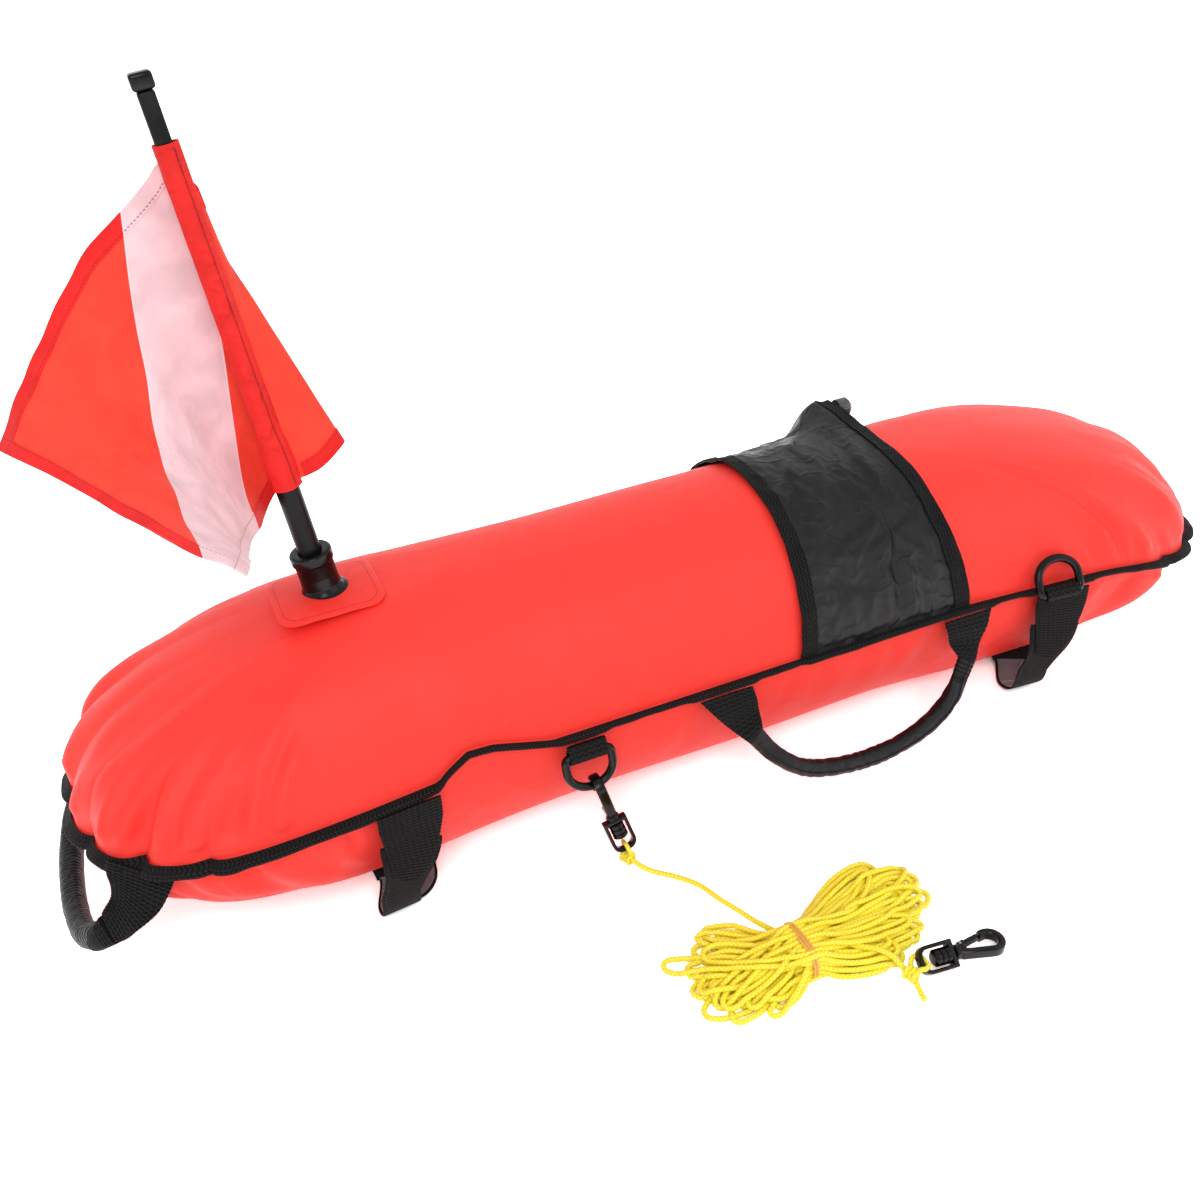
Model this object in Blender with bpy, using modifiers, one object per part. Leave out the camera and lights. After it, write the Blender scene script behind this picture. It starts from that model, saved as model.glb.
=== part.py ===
"""Dive float buoy: a two-panel inflated body with its flag, valve cover, handles, D-rings, rod straps and line.

Units are metres. +X runs along the float to its plain end, -Y is the side with the carry handle, +Z is up,
and the origin is on the ground under the middle of the belly's flat strip.
"""
import math

import bmesh
import bpy
from mathutils import Matrix, Vector

# Clearances
SEAT = 0.0003
MERGE = 0.00001

# Inflated body
HALF_LENGTH = 0.442
BODY_RADIUS = 0.101
AXIS_HEIGHT = 0.097
MIDDLE_HALF_WIDTH = 0.101
END_HALF_WIDTH = 0.114
WAIST_HALF = 0.150
CORNER_START = 0.330
SPINE_HALF = 0.150
CORNER_POWER = 2.2
CROWN_POWER = 2.1
PANEL_WALL = 0.0008
FLANGE = 0.0072
END_STEPS = 30
SIDE_STEPS = 12
CROWN_STEPS = 8
PLEAT_FIRST = 3
PLEAT_EVERY = 4
PLEAT_DEPTH = 0.008

# Tape folded round the welded flange
TAPE_WALL = 0.0006
TAPE_START = 0.0014

# Bladder inside the panels
BLADDER_WALL = 0.0006
BLADDER_GAP = 0.0008
BLADDER_END_GAP = 0.012
BLADDER_END_STEPS = 12

# Oral inflation valve
VALVE_X = 0.155
VALVE_ACROSS = 0.31
NECK_RADIUS = 0.0060
VALVE_FLANGE_RADIUS = 0.0120
VALVE_FLANGE_WALL = 0.0012
VALVE_FLANGE_SINK = 0.0018
BOSS_RADIUS = 0.0090
BOSS_HEIGHT = 0.0050
HOSE_RADIUS = 0.0042
HOSE_RISE = 0.0150
HOSE_REACH = 0.0110
MOUTH_RADIUS = 0.0062
MOUTH_LENGTH = 0.0150
POPPET_RADIUS = 0.0030
POPPET_TRAVEL = 0.0030
CAP_WALL = 0.0010
CAP_LENGTH = 0.0120
CAP_OVERLAP = 0.0070

# Flag socket, its patch and the pole
POLE_X = -0.251
POLE_LEAN = math.radians(5.4)
PATCH_LENGTH = 0.070
PATCH_WIDTH = 0.066
PATCH_CORNER = 0.010
PATCH_WALL = 0.0012
SOCKET_FLANGE_RADIUS = 0.0170
SOCKET_FLANGE_HEIGHT = 0.0050
SOCKET_BARREL_RADIUS = 0.0122
SOCKET_LIP_RADIUS = 0.0140
SOCKET_LIP_HEIGHT = 0.0075
SOCKET_HEIGHT = 0.0340
SOCKET_FLOOR = 0.0030
POLE_TUBE_RADIUS = 0.0070
POLE_TUBE_TOP = 0.1080
POLE_ROD_RADIUS = 0.0044
POLE_ROD_ENGAGEMENT = 0.0400
POLE_ROD_TOP = 0.3230
KNOB_RADIUS = 0.0066
KNOB_HEIGHT = 0.0130
KNOB_GROOVE = 0.0014

# Flag, hung from the pole by its sleeve
SLEEVE_BOTTOM = 0.0810
SLEEVE_TOP = 0.2920
SLEEVE_WALL = 0.0006
SLEEVE_PLAY = 0.0004
CLOTH_WALL = 0.0006
CLOTH_ROWS = 9
CLOTH_COLUMNS = 22

# Cover over the valve
COVER_LEFT = 0.056
COVER_RIGHT = 0.184
COVER_LEFT_FLARE = 0.008
COVER_RIGHT_FLARE = 0.015
COVER_WALL = 0.0007
COVER_LIFT = 0.0006
COVER_ROWS = 24
COVER_COLUMNS = 8
COVER_SEAM = 0.965
COVER_TENT = 0.0235
HEM_WIDTH = 0.0130
HEM_WALL = 0.0007

# Webbing and what hangs from the seam
WEBBING_WALL = 0.0016
HANG_OUT = 0.0013
RING_WIRE_RADIUS = 0.0026
RING_WIDTH = 0.0390
RING_HEIGHT = 0.0312
RING_DROP = 0.0090
RING_1_X = -0.1195
RING_1_LIFT = math.radians(9)
RING_2_X = 0.255
RING_2_LIFT = math.radians(208)
RING_2_OUT = 0.0065
RING_2_RISE = 0.0020
TAB_WIDTH = 0.0270
TAB_PLAY = 0.0004

# Carry handle
HANDLE_LEAN = math.radians(17.5)
GRIP_RADIUS = 0.0080
LEFT_FLARE_OUTER = ((-0.0350, -0.0005), (-0.0240, 0.0150), (-0.0130, 0.0290), (-0.0057, 0.0380))
LEFT_FLARE_INNER = ((0.0050, -0.0005), (0.0062, 0.0100), (0.0068, 0.0200), (0.0057, 0.0300))
GRIP_ROUTE = ((0.001, 0.0360), (0.012, 0.052), (0.032, 0.069), (0.066, 0.078), (0.104, 0.078),
              (0.138, 0.069), (0.160, 0.054), (0.1740, 0.0340))
RIGHT_FLARE_OUTER = ((0.2030, -0.0005), (0.1955, 0.0130), (0.1875, 0.0260), (0.1807, 0.0358))
RIGHT_FLARE_INNER = ((0.1630, -0.0005), (0.1633, 0.0090), (0.1655, 0.0185), (0.1693, 0.0278))

# End handle
END_HANDLE_WEBBING = 0.0450
END_HANDLE_NECK = 0.0160
END_CORNER_X = 0.0360 - HALF_LENGTH
END_CORNER_Y = 0.0915
END_GRIP_RADIUS = 0.0085
END_WEBBING_BENDS = ((0.0280 - HALF_LENGTH, -0.0950, 0.0800), (0.0150 - HALF_LENGTH, -0.0945, 0.0650))
END_GRIP_ROUTE = ((-HALF_LENGTH, -0.0830, 0.0480), (-HALF_LENGTH - 0.0100, -0.0660, 0.0400),
                  (-HALF_LENGTH - 0.0160, -0.0360, 0.0340))
END_GRIP_MIDDLE = (-HALF_LENGTH - 0.0180, 0.0, 0.0320)

# Rod straps under the belly
STRAP_WIDTH = 0.0430
STRAP_LEFT_X = -0.243
STRAP_RIGHT_X = 0.2610
STRAP_TAB_DROP = 0.0540
STRAP_TAB_CUT = ((0.0, 0.0), (0.35, 0.0), (0.75, 0.0), (0.90, 0.0020), (0.97, 0.0060), (1.0, 0.0130))
STRAP_SEWN = (0.0680, 0.0620, 0.0560)
STRAP_LOOP = ((0.0400, 0.0034), (0.0240, 0.0024), (0.0110, 0.0075), (0.0035, 0.0220), (0.0, 0.0400), (0.0, 0.0660))
STRAP_COLUMNS = 4

# Snap hooks; heights run along the hook from the top of its eye
HOOK_THICKNESS = 0.0070
HOOK_HEAD_RADIUS = 0.0094
HOOK_HEAD_CENTRE = 0.0256
HOOK_FOOT_HALF = 0.0048
HOOK_FOOT = 0.0022
HOOK_LIMB = 0.0042
HOOK_OPENING_FOOT = 0.0080
HOOK_BEVEL = 0.0009
COLLAR_RADIUS = 0.0048
SHANK_RADIUS = 0.0026
BUTTON_RADIUS = 0.0053
BUTTON_HEIGHT = 0.0110
BUTTON_GROOVE = 0.0006
EYE_WIDTH = 0.0172
EYE_LENGTH = 0.0245
EYE_DEPTH = 0.0074
EYE_ARM = 0.0024
EYE_HEAD = 0.0034
EYE_TURN_1 = math.radians(90)
EYE_TURN_2 = math.radians(38)
GATE_START = 0.0085
GATE_END = 0.0215
GATE_WIDTH = 0.0044
GATE_WALL = 0.0030
GATE_CHAMFER = 0.0009
GATE_PIN_RADIUS = 0.0009
GATE_PIN_HEIGHT = 0.0063
KNUCKLE_WIDTH = 0.0026
KNUCKLE_HALF = 0.0017
HOOK_1_TAIL = (-0.10645, -0.13088, 0.0124)
HOOK_1_TOP = (-0.11825, -0.11128, 0.0674)
HOOK_2_TAIL = (0.0078, -0.3052, 0.0104)
HOOK_2_TOP = (0.0666, -0.3080, 0.0048)

# Line, tied to both hooks and wound into a hank
ROPE_RADIUS = 0.00175
KNOT_RADIUS = 0.0048
KNOT_LENGTH = 0.0092
KNOT_1 = (-0.1070, -0.1325, 0.0063)
KNOT_1_ALONG = (0.3162, -0.9487, 0.0)
KNOT_2 = (0.0017, -0.3070, 0.0062)
KNOT_2_ALONG = (0.3520, -0.9360, 0.0)
LEAD_ROUTE = ((-0.1052, -0.1376, 0.0062), (-0.1025, -0.1428, 0.0042), (-0.0960, -0.1500, 0.0019),
              (-0.0862, -0.1599, 0.0018), (-0.0749, -0.1752, 0.0018), (-0.0683, -0.1949, 0.0018),
              (-0.0598, -0.2160, 0.0018), (-0.0562, -0.2300, 0.0030), (-0.0572, -0.2362, 0.0058))
TAIL_ROUTE = ((0.0001, -0.3020, 0.0062), (-0.0008, -0.2980, 0.0070), (-0.0014, -0.2927, 0.0091))
HANK_SPINE = (-0.1370, -0.2610), (0.0720, -0.2560)
HANK_STATIONS = ((0.00, 0.018, 0.007), (0.04, 0.031, 0.013), (0.12, 0.0400, 0.017), (0.24, 0.0430, 0.0200),
                 (0.34, 0.0340, 0.0215), (0.395, 0.0250, 0.0225), (0.43, 0.0205, 0.0235), (0.465, 0.0205, 0.0235),
                 (0.50, 0.0245, 0.0230), (0.60, 0.0340, 0.0230), (0.74, 0.0400, 0.0230), (0.88, 0.0370, 0.0200),
                 (0.96, 0.0270, 0.0150), (1.00, 0.0150, 0.0070))
HANK_SHIFT = ((0.0, 0.0), (0.25, 0.002), (0.45, -0.006), (0.75, 0.004), (1.0, 0.012))
BAND_STATION = 0.4475
BAND_WIDTH = 0.0060
BAND_WALL = 0.0018

RED = (0.87, 0.05, 0.04)
DEEP_RED = (0.72, 0.03, 0.03)
NYLON_BLACK = (0.02, 0.02, 0.022)
WEB_BLACK = (0.012, 0.011, 0.011)
PLASTIC_BLACK = (0.008, 0.008, 0.009)
YELLOW = (0.95, 0.72, 0.03)
CLEAR_GREY = (0.55, 0.56, 0.57)


def clear_scene():
    """Remove every object, mesh and curve that an earlier run left."""
    for item in list(bpy.data.objects):
        bpy.data.objects.remove(item, do_unlink=True)


def new_collection(name):
    """Return a fresh collection linked to the scene."""
    collection = bpy.data.collections.get(name) or bpy.data.collections.new(name)
    if collection.name not in bpy.context.scene.collection.children:
        bpy.context.scene.collection.children.link(collection)
    return collection


def new_material(name, colour, roughness, metallic=0.0):
    """Return a Principled material."""
    material = bpy.data.materials.new(name)
    material.use_nodes = True
    shader = material.node_tree.nodes["Principled BSDF"]
    shader.inputs["Base Color"].default_value = (*colour, 1.0)
    shader.inputs["Roughness"].default_value = roughness
    shader.inputs["Metallic"].default_value = metallic
    return material


def place(name, data, look):
    """Link a mesh or curve as a named part with its own material."""
    colour, roughness = look
    item = bpy.data.objects.new(name, data)
    PARTS.objects.link(item)
    data.materials.clear()
    data.materials.append(new_material(name, colour, roughness))
    return item


def as_cutter(item):
    """Move an object to the cutters, where the build leaves it out."""
    for owner in list(item.users_collection):
        owner.objects.unlink(item)
    CUTTERS.objects.link(item)
    item.hide_render = True
    item.display_type = "WIRE"
    return item


def solidify(item, thickness, offset=-1.0, even=True):
    """Give an open surface a wall."""
    wall = item.modifiers.new("wall", "SOLIDIFY")
    wall.thickness = thickness
    wall.offset = offset
    wall.use_even_offset = even
    return item


def boolean(item, other, operation="DIFFERENCE"):
    """Cut with, or join to, another object, which becomes a cutter."""
    step = item.modifiers.new(operation.lower(), "BOOLEAN")
    step.operation = operation
    step.object = as_cutter(other)
    return item


def mesh_from(name, build):
    """Make a mesh with a function that fills a bmesh, then weld its doubles."""
    shape = bmesh.new()
    build(shape)
    bmesh.ops.remove_doubles(shape, verts=shape.verts, dist=MERGE)
    mesh = bpy.data.meshes.new(name)
    shape.to_mesh(mesh)
    shape.free()
    return mesh


def strips(shape, rows, closed=False):
    """Skin rows of points of equal length; a closed row joins its end to its start."""
    lines = [[shape.verts.new(point) for point in row] for row in rows]
    for lower, upper in zip(lines, lines[1:]):
        count = len(lower)
        for index in range(count if closed else count - 1):
            following = (index + 1) % count
            shape.faces.new((lower[index], lower[following], upper[following], upper[index]))
    return lines


def smooth_shading(item, angle=35):
    """Shade round forms smooth and keep their sharp edges."""
    item.data.shade_smooth()
    item.data.set_sharp_from_angle(angle=math.radians(angle))
    return item


def smooth_route(points, count):
    """Return points evenly spread along a smooth curve through the route's own points."""
    ends = [2 * Vector(points[0]) - Vector(points[1])] + [Vector(p) for p in points]
    ends.append(2 * Vector(points[-1]) - Vector(points[-2]))
    fine = []
    for index in range(1, len(ends) - 2):
        before, start, end, after = ends[index - 1:index + 3]
        for step in range(24):
            t = step / 24
            fine.append(0.5 * ((2 * start) + (end - before) * t + (2 * before - 5 * start + 4 * end - after) * t ** 2
                               + (3 * start - before - 3 * end + after) * t ** 3))
    fine.append(ends[-2])
    lengths = [0.0]
    for start, end in zip(fine, fine[1:]):
        lengths.append(lengths[-1] + (end - start).length)
    result = []
    position = 0
    for step in range(count):
        target = lengths[-1] * step / (count - 1)
        while position < len(fine) - 2 and lengths[position + 1] < target:
            position += 1
        span = max(lengths[position + 1] - lengths[position], 1e-9)
        result.append(fine[position].lerp(fine[position + 1], min((target - lengths[position]) / span, 1.0)))
    return result


def rounded_ends(points, radius):
    """Return points and radii that give a tube along the points half-round ends beyond them."""
    start = (Vector(points[0]) - Vector(points[1])).normalized()
    end = (Vector(points[-1]) - Vector(points[-2])).normalized()
    angles = [math.radians(angle) for angle in (80, 60, 32)]
    before = [(Vector(points[0]) + start * radius * math.sin(a), math.cos(a)) for a in angles]
    after = [(Vector(points[-1]) + end * radius * math.sin(a), math.cos(a)) for a in reversed(angles)]
    return before + [(Vector(point), 1.0) for point in points] + after


def curve_tube(name, points, radius, cyclic=False, resolution=2, round_ends=False):
    """Return a mesh tube along the points, its caps welded."""
    stations = rounded_ends(points, radius) if round_ends else [(point, 1.0) for point in points]
    curve = bpy.data.curves.new(name, "CURVE")
    curve.dimensions = "3D"
    curve.bevel_depth = radius
    curve.bevel_resolution = resolution
    curve.use_fill_caps = not cyclic
    spline = curve.splines.new("POLY")
    spline.points.add(len(stations) - 1)
    for target, (point, share) in zip(spline.points, stations):
        target.co = (*point, 1.0)
        target.radius = share
    spline.use_cyclic_u = cyclic
    return mesh_of_curve(curve)


def mesh_of_curve(curve):
    """Turn a curve into a welded mesh and remove the curve."""
    holder = bpy.data.objects.new(curve.name, curve)
    bpy.context.scene.collection.objects.link(holder)
    graph = bpy.context.evaluated_depsgraph_get()
    mesh = bpy.data.meshes.new_from_object(holder.evaluated_get(graph))
    shape = bmesh.new()
    shape.from_mesh(mesh)
    bmesh.ops.remove_doubles(shape, verts=shape.verts, dist=MERGE)
    shape.to_mesh(mesh)
    shape.free()
    bpy.data.objects.remove(holder, do_unlink=True)
    bpy.data.curves.remove(curve)
    return mesh


def plate_mesh(name, loops, thickness, rounding=0.0):
    """Return a flat plate in XY from closed outlines, the first one outside and the others holes."""
    curve = bpy.data.curves.new(name, "CURVE")
    curve.dimensions = "2D"
    curve.fill_mode = "BOTH"
    curve.extrude = thickness / 2 - rounding
    curve.bevel_depth = rounding
    curve.bevel_resolution = 0
    curve.offset = -rounding
    for loop in loops:
        spline = curve.splines.new("POLY")
        spline.points.add(len(loop) - 1)
        for target, point in zip(spline.points, loop):
            target.co = (point[0], point[1], 0.0, 1.0)
        spline.use_cyclic_u = True
    return mesh_of_curve(curve)


def turned(name, profile, steps, look, frame=None, closed=False):
    """Turn a profile of (radius, height) points, given down its outer side, round the local Z axis."""
    mesh = bpy.data.meshes.new(name)
    edges = [(index, index + 1) for index in range(len(profile) - 1)]
    if closed:
        edges.append((len(profile) - 1, 0))
    mesh.from_pydata([(radius, 0.0, height) for radius, height in profile], edges, [])
    item = place(name, mesh, look)
    screw = item.modifiers.new("turn", "SCREW")
    screw.steps = steps
    screw.render_steps = steps
    screw.use_merge_vertices = True
    screw.merge_threshold = MERGE
    if frame is not None:
        item.matrix_world = frame
    return item


def block(name, centre, size, frame, look):
    """Return a box with its scale applied, placed in a frame."""
    def build(shape):
        bmesh.ops.create_cube(shape, size=1.0)
        bmesh.ops.scale(shape, vec=size, verts=shape.verts)
        bmesh.ops.translate(shape, vec=centre, verts=shape.verts)
    item = place(name, mesh_from(name, build), look)
    item.matrix_world = frame
    return item


def rod(name, radius, length, segments, frame, look):
    """Return a cylinder along the frame's local Z axis."""
    def build(shape):
        bmesh.ops.create_cone(shape, cap_ends=True, segments=segments, radius1=radius, radius2=radius, depth=length)
    item = place(name, mesh_from(name, build), look)
    item.matrix_world = frame
    return item


def axes_frame(origin, x_axis, z_axis):
    """Return a matrix from an origin, a rough local X and an exact local Z."""
    z = Vector(z_axis).normalized()
    y = z.cross(Vector(x_axis)).normalized()
    x = y.cross(z)
    frame = Matrix((x, y, z)).transposed().to_4x4()
    frame.translation = Vector(origin)
    return frame


def curved_half_width(x):
    """Return half the pocket's width at x on the smooth weld line, before its ends round off."""
    share = (abs(x) - WAIST_HALF) / (CORNER_START - WAIST_HALF)
    share = min(max(share, 0.0), 1.0)
    return MIDDLE_HALF_WIDTH + (END_HALF_WIDTH - MIDDLE_HALF_WIDTH) * share * share * (3 - 2 * share)


def half_width(x):
    """Return half the pocket's width at x on the mesh, which runs straight between its side stations."""
    spacing = 2 * CORNER_START / SIDE_STEPS
    station = min(math.floor(abs(x) / spacing), SIDE_STEPS // 2)
    share = abs(x) / spacing - station
    start = curved_half_width(station * spacing)
    return start + (curved_half_width((station + 1) * spacing) - start) * share


def corner_point(angle, shrink=0.0):
    """Return the weld line's point at an angle, 0 on the front side, 90 degrees at the end, 180 behind."""
    power = 2 / CORNER_POWER
    across = math.copysign(abs(math.cos(angle)) ** power, -math.cos(angle))
    reach = HALF_LENGTH - shrink - CORNER_START
    return Vector((CORNER_START + reach * abs(math.sin(angle)) ** power, (END_HALF_WIDTH - shrink) * across, 0.0))


def weld_outline(end_steps, shrink=0.0):
    """Return the weld line anticlockwise from above, with a mark where a pleat gathers it."""
    points = []
    for side in (1, -1):
        for step in range(end_steps + 1):
            place_on_end = corner_point(math.pi * step / end_steps, shrink)
            pleat = (step - PLEAT_FIRST) % PLEAT_EVERY == 0 and 0 < step < end_steps
            points.append((place_on_end * side, pleat))
        for step in range(1, SIDE_STEPS):
            x = CORNER_START * (1 - 2 * step / SIDE_STEPS)
            points.append((Vector((x, half_width(x) - shrink, 0.0)) * side, False))
    return points


def spine_point(point):
    """Return the point of the spine that a rib from the weld line runs to."""
    x = min(max(point.x * SPINE_HALF / CORNER_START, -SPINE_HALF), SPINE_HALF)
    return Vector((x, 0.0, 0.0))


def crown_angles():
    """Return the ribs' angles from the weld line up to the edge of the belly's flat strip and the spine."""
    flat_edge = math.acos(AXIS_HEIGHT / BODY_RADIUS)
    steps = [math.pi / 2 + (flat_edge - math.pi / 2) * step / (CROWN_STEPS - 1) for step in range(CROWN_STEPS)]
    return steps + [flat_edge / 2, 0.0]


def dome_rows(outline, side, edge_gap, radius, pleat_depth):
    """Return a panel's rows from the weld line to the spine, side 1 above the seam and -1 below it."""
    rows = []
    for angle in crown_angles():
        share = math.sin(angle) ** (2 / CROWN_POWER)
        height = AXIS_HEIGHT + side * (edge_gap + (radius - edge_gap) * math.cos(angle))
        row = []
        for point, pleat in outline:
            spine = spine_point(point)
            place_on_rib = spine.lerp(point, share)
            if pleat:
                place_on_rib -= (point - spine).normalized() * pleat_depth * share ** 3
            row.append(Vector((place_on_rib.x, place_on_rib.y, max(height, AXIS_HEIGHT - radius, 0.0))))
        rows.append(row)
    return rows


def flange_row(outline, outward, height, pleat_depth=None):
    """Return the weld line moved outwards in the plane of the seam."""
    depth = PLEAT_DEPTH if pleat_depth is None else pleat_depth
    line = []
    for point, pleat in outline:
        inward = (spine_point(point) - point).normalized()
        line.append(point + inward * (depth if pleat else 0.0))
    row = []
    for index, point in enumerate(line):
        along = line[(index + 1) % len(line)] - line[index - 1]
        normal = Vector((along.y, -along.x, 0.0)).normalized()
        row.append(Vector((point.x, point.y, height)) + normal * outward)
    return row


def build_panel(name, side):
    """Make one fabric panel: a dome with pleated ends and the flange that the two panels are welded by."""
    outline = weld_outline(END_STEPS)
    edge_gap = SEAT / 2 + PANEL_WALL
    rows = dome_rows(outline, side, edge_gap, BODY_RADIUS, PLEAT_DEPTH)
    rows.insert(0, flange_row(outline, FLANGE, AXIS_HEIGHT + side * edge_gap))
    if side < 0:
        rows = [row[::-1] for row in rows]
    mesh = mesh_from(name, lambda shape: strips(shape, rows, closed=True))
    item = place(name, mesh, (RED, 0.45))
    smooth_shading(item, 50)
    solidify(item, PANEL_WALL, even=False)
    if side > 0:
        boolean(item, rod("panel_hole", NECK_RADIUS + SEAT, 4 * BOSS_RADIUS, 16, valve_frame(), (RED, 0.5)))
    return item


def build_binding():
    """Make the tape that is folded round the flange, all the way round the body."""
    outline = weld_outline(END_STEPS)
    inner = SEAT / 2 + PANEL_WALL + SEAT
    outer = inner + TAPE_WALL
    rim = FLANGE + SEAT
    section = [(TAPE_START, outer), (rim + TAPE_WALL, outer), (rim + TAPE_WALL, -outer), (TAPE_START, -outer),
               (TAPE_START, -inner), (rim, -inner), (rim, inner), (TAPE_START, inner)]
    rows = [flange_row(outline, outward, AXIS_HEIGHT + rise) for outward, rise in section]
    rows.append(rows[0])
    mesh = mesh_from("seam_binding", lambda shape: strips(shape, rows[::-1], closed=True))
    return place("seam_binding", mesh, (WEB_BLACK, 0.8))


def build_bladder():
    """Make the thin bladder, open only at the valve's neck."""
    inset = PANEL_WALL + BLADDER_GAP
    outline = []
    for point, _ in weld_outline(BLADDER_END_STEPS):
        end_share = min(max((abs(point.x) - WAIST_HALF) / (CORNER_START - WAIST_HALF), 0.0), 1.0)
        inward = (spine_point(point) - point).normalized()
        outline.append((point + inward * (inset + (BLADDER_END_GAP - inset) * end_share), False))
    radius = BODY_RADIUS - inset
    upper = dome_rows(outline, 1, 0.0, radius, 0.0)
    lower = dome_rows(outline, -1, 0.0, radius, 0.0)
    floor = PANEL_WALL + BLADDER_GAP
    lower = [[Vector((p.x, p.y, max(p.z, floor))) for p in row][::-1] for row in lower]

    def build(shape):
        strips(shape, upper, closed=True)
        strips(shape, lower, closed=True)
    item = place("inner_bladder", mesh_from("inner_bladder", build), ((0.75, 0.75, 0.72), 0.5))
    solidify(item, BLADDER_WALL)
    frame = valve_frame()
    hole = rod("bladder_hole", NECK_RADIUS + SEAT, 4 * BOSS_RADIUS, 16, frame, (RED, 0.5))
    return boolean(item, hole)


def gauge(x, y):
    """Return how far a point lies from the spine, 0, towards the weld line, 1."""
    across, along = abs(y), abs(x)
    ratio = SPINE_HALF / CORNER_START
    foot, share = along, 0.0
    for _ in range(12):
        share = min(across / half_width(foot), 1.0)
        foot = along / (ratio + (1 - ratio) * share)
    if foot <= CORNER_START:
        return share
    low, high = 0.0, math.pi / 2
    for _ in range(40):
        middle = (low + high) / 2
        edge = corner_point(middle)
        if (edge.x - SPINE_HALF) * across > -edge.y * (along - SPINE_HALF):
            high = middle
        else:
            low = middle
    edge = corner_point((low + high) / 2)
    reach = math.hypot(edge.x - SPINE_HALF, edge.y)
    return min(math.hypot(along - SPINE_HALF, across) / reach, 1.0)


def crown_height(x, y):
    """Return the upper panel's outer height above the seam plane."""
    edge_gap = SEAT / 2 + PANEL_WALL
    return edge_gap + (BODY_RADIUS - edge_gap) * math.sqrt(max(1 - gauge(x, y) ** CROWN_POWER, 0.0))


def crown_point(x, across, lift=0.0, side=1):
    """Return a point on a panel; across runs from -1 at the front weld to 1 at the rear one."""
    def surface(u, v):
        angle = v * math.pi / 2
        y = half_width(u) * math.copysign(abs(math.sin(angle)) ** (2 / CROWN_POWER), angle)
        return Vector((u, y, AXIS_HEIGHT + side * crown_height(u, y)))
    step = 0.002
    low = max(across - step, -1.0)
    high = min(across + step, 1.0)
    normal = (surface(x + step, across) - surface(x - step, across)).cross(surface(x, high) - surface(x, low))
    return surface(x, across) + normal.normalized() * lift * side


def across_of(x, y):
    """Return the across value of a point given by its y."""
    share = min(abs(y) / half_width(x), 1.0)
    return math.copysign(math.asin(share ** (CROWN_POWER / 2)) * 2 / math.pi, y)


def binding_face():
    """Return the y of the binding's outer face along the straight front of the body."""
    return -(MIDDLE_HALF_WIDTH + FLANGE + SEAT + TAPE_WALL)


def binding_half_height():
    """Return half the height of the binding."""
    return SEAT / 2 + PANEL_WALL + SEAT + TAPE_WALL


def hang_point(x):
    """Return the hinge point just outside and below the binding at x, where webbing leaves the seam."""
    shift = half_width(x) - MIDDLE_HALF_WIDTH
    drop = binding_half_height() + SEAT + WEBBING_WALL / 2
    return Vector((x, binding_face() - shift - HANG_OUT, AXIS_HEIGHT - drop))


def hang_frame(x):
    """Return the frame at a hinge point: local X along the binding, local Y towards the body, local Z up."""
    step = 0.012
    along = hang_point(x + step) - hang_point(x - step)
    return axes_frame(hang_point(x), along, (0.0, 0.0, 1.0))


def valve_frame():
    """Return the valve's frame: local Z along the panel's normal, local X along the body."""
    base = crown_point(VALVE_X, VALVE_ACROSS)
    normal = crown_point(VALVE_X, VALVE_ACROSS, 0.01) - base
    return axes_frame(base, (1, 0, 0), normal)


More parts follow.
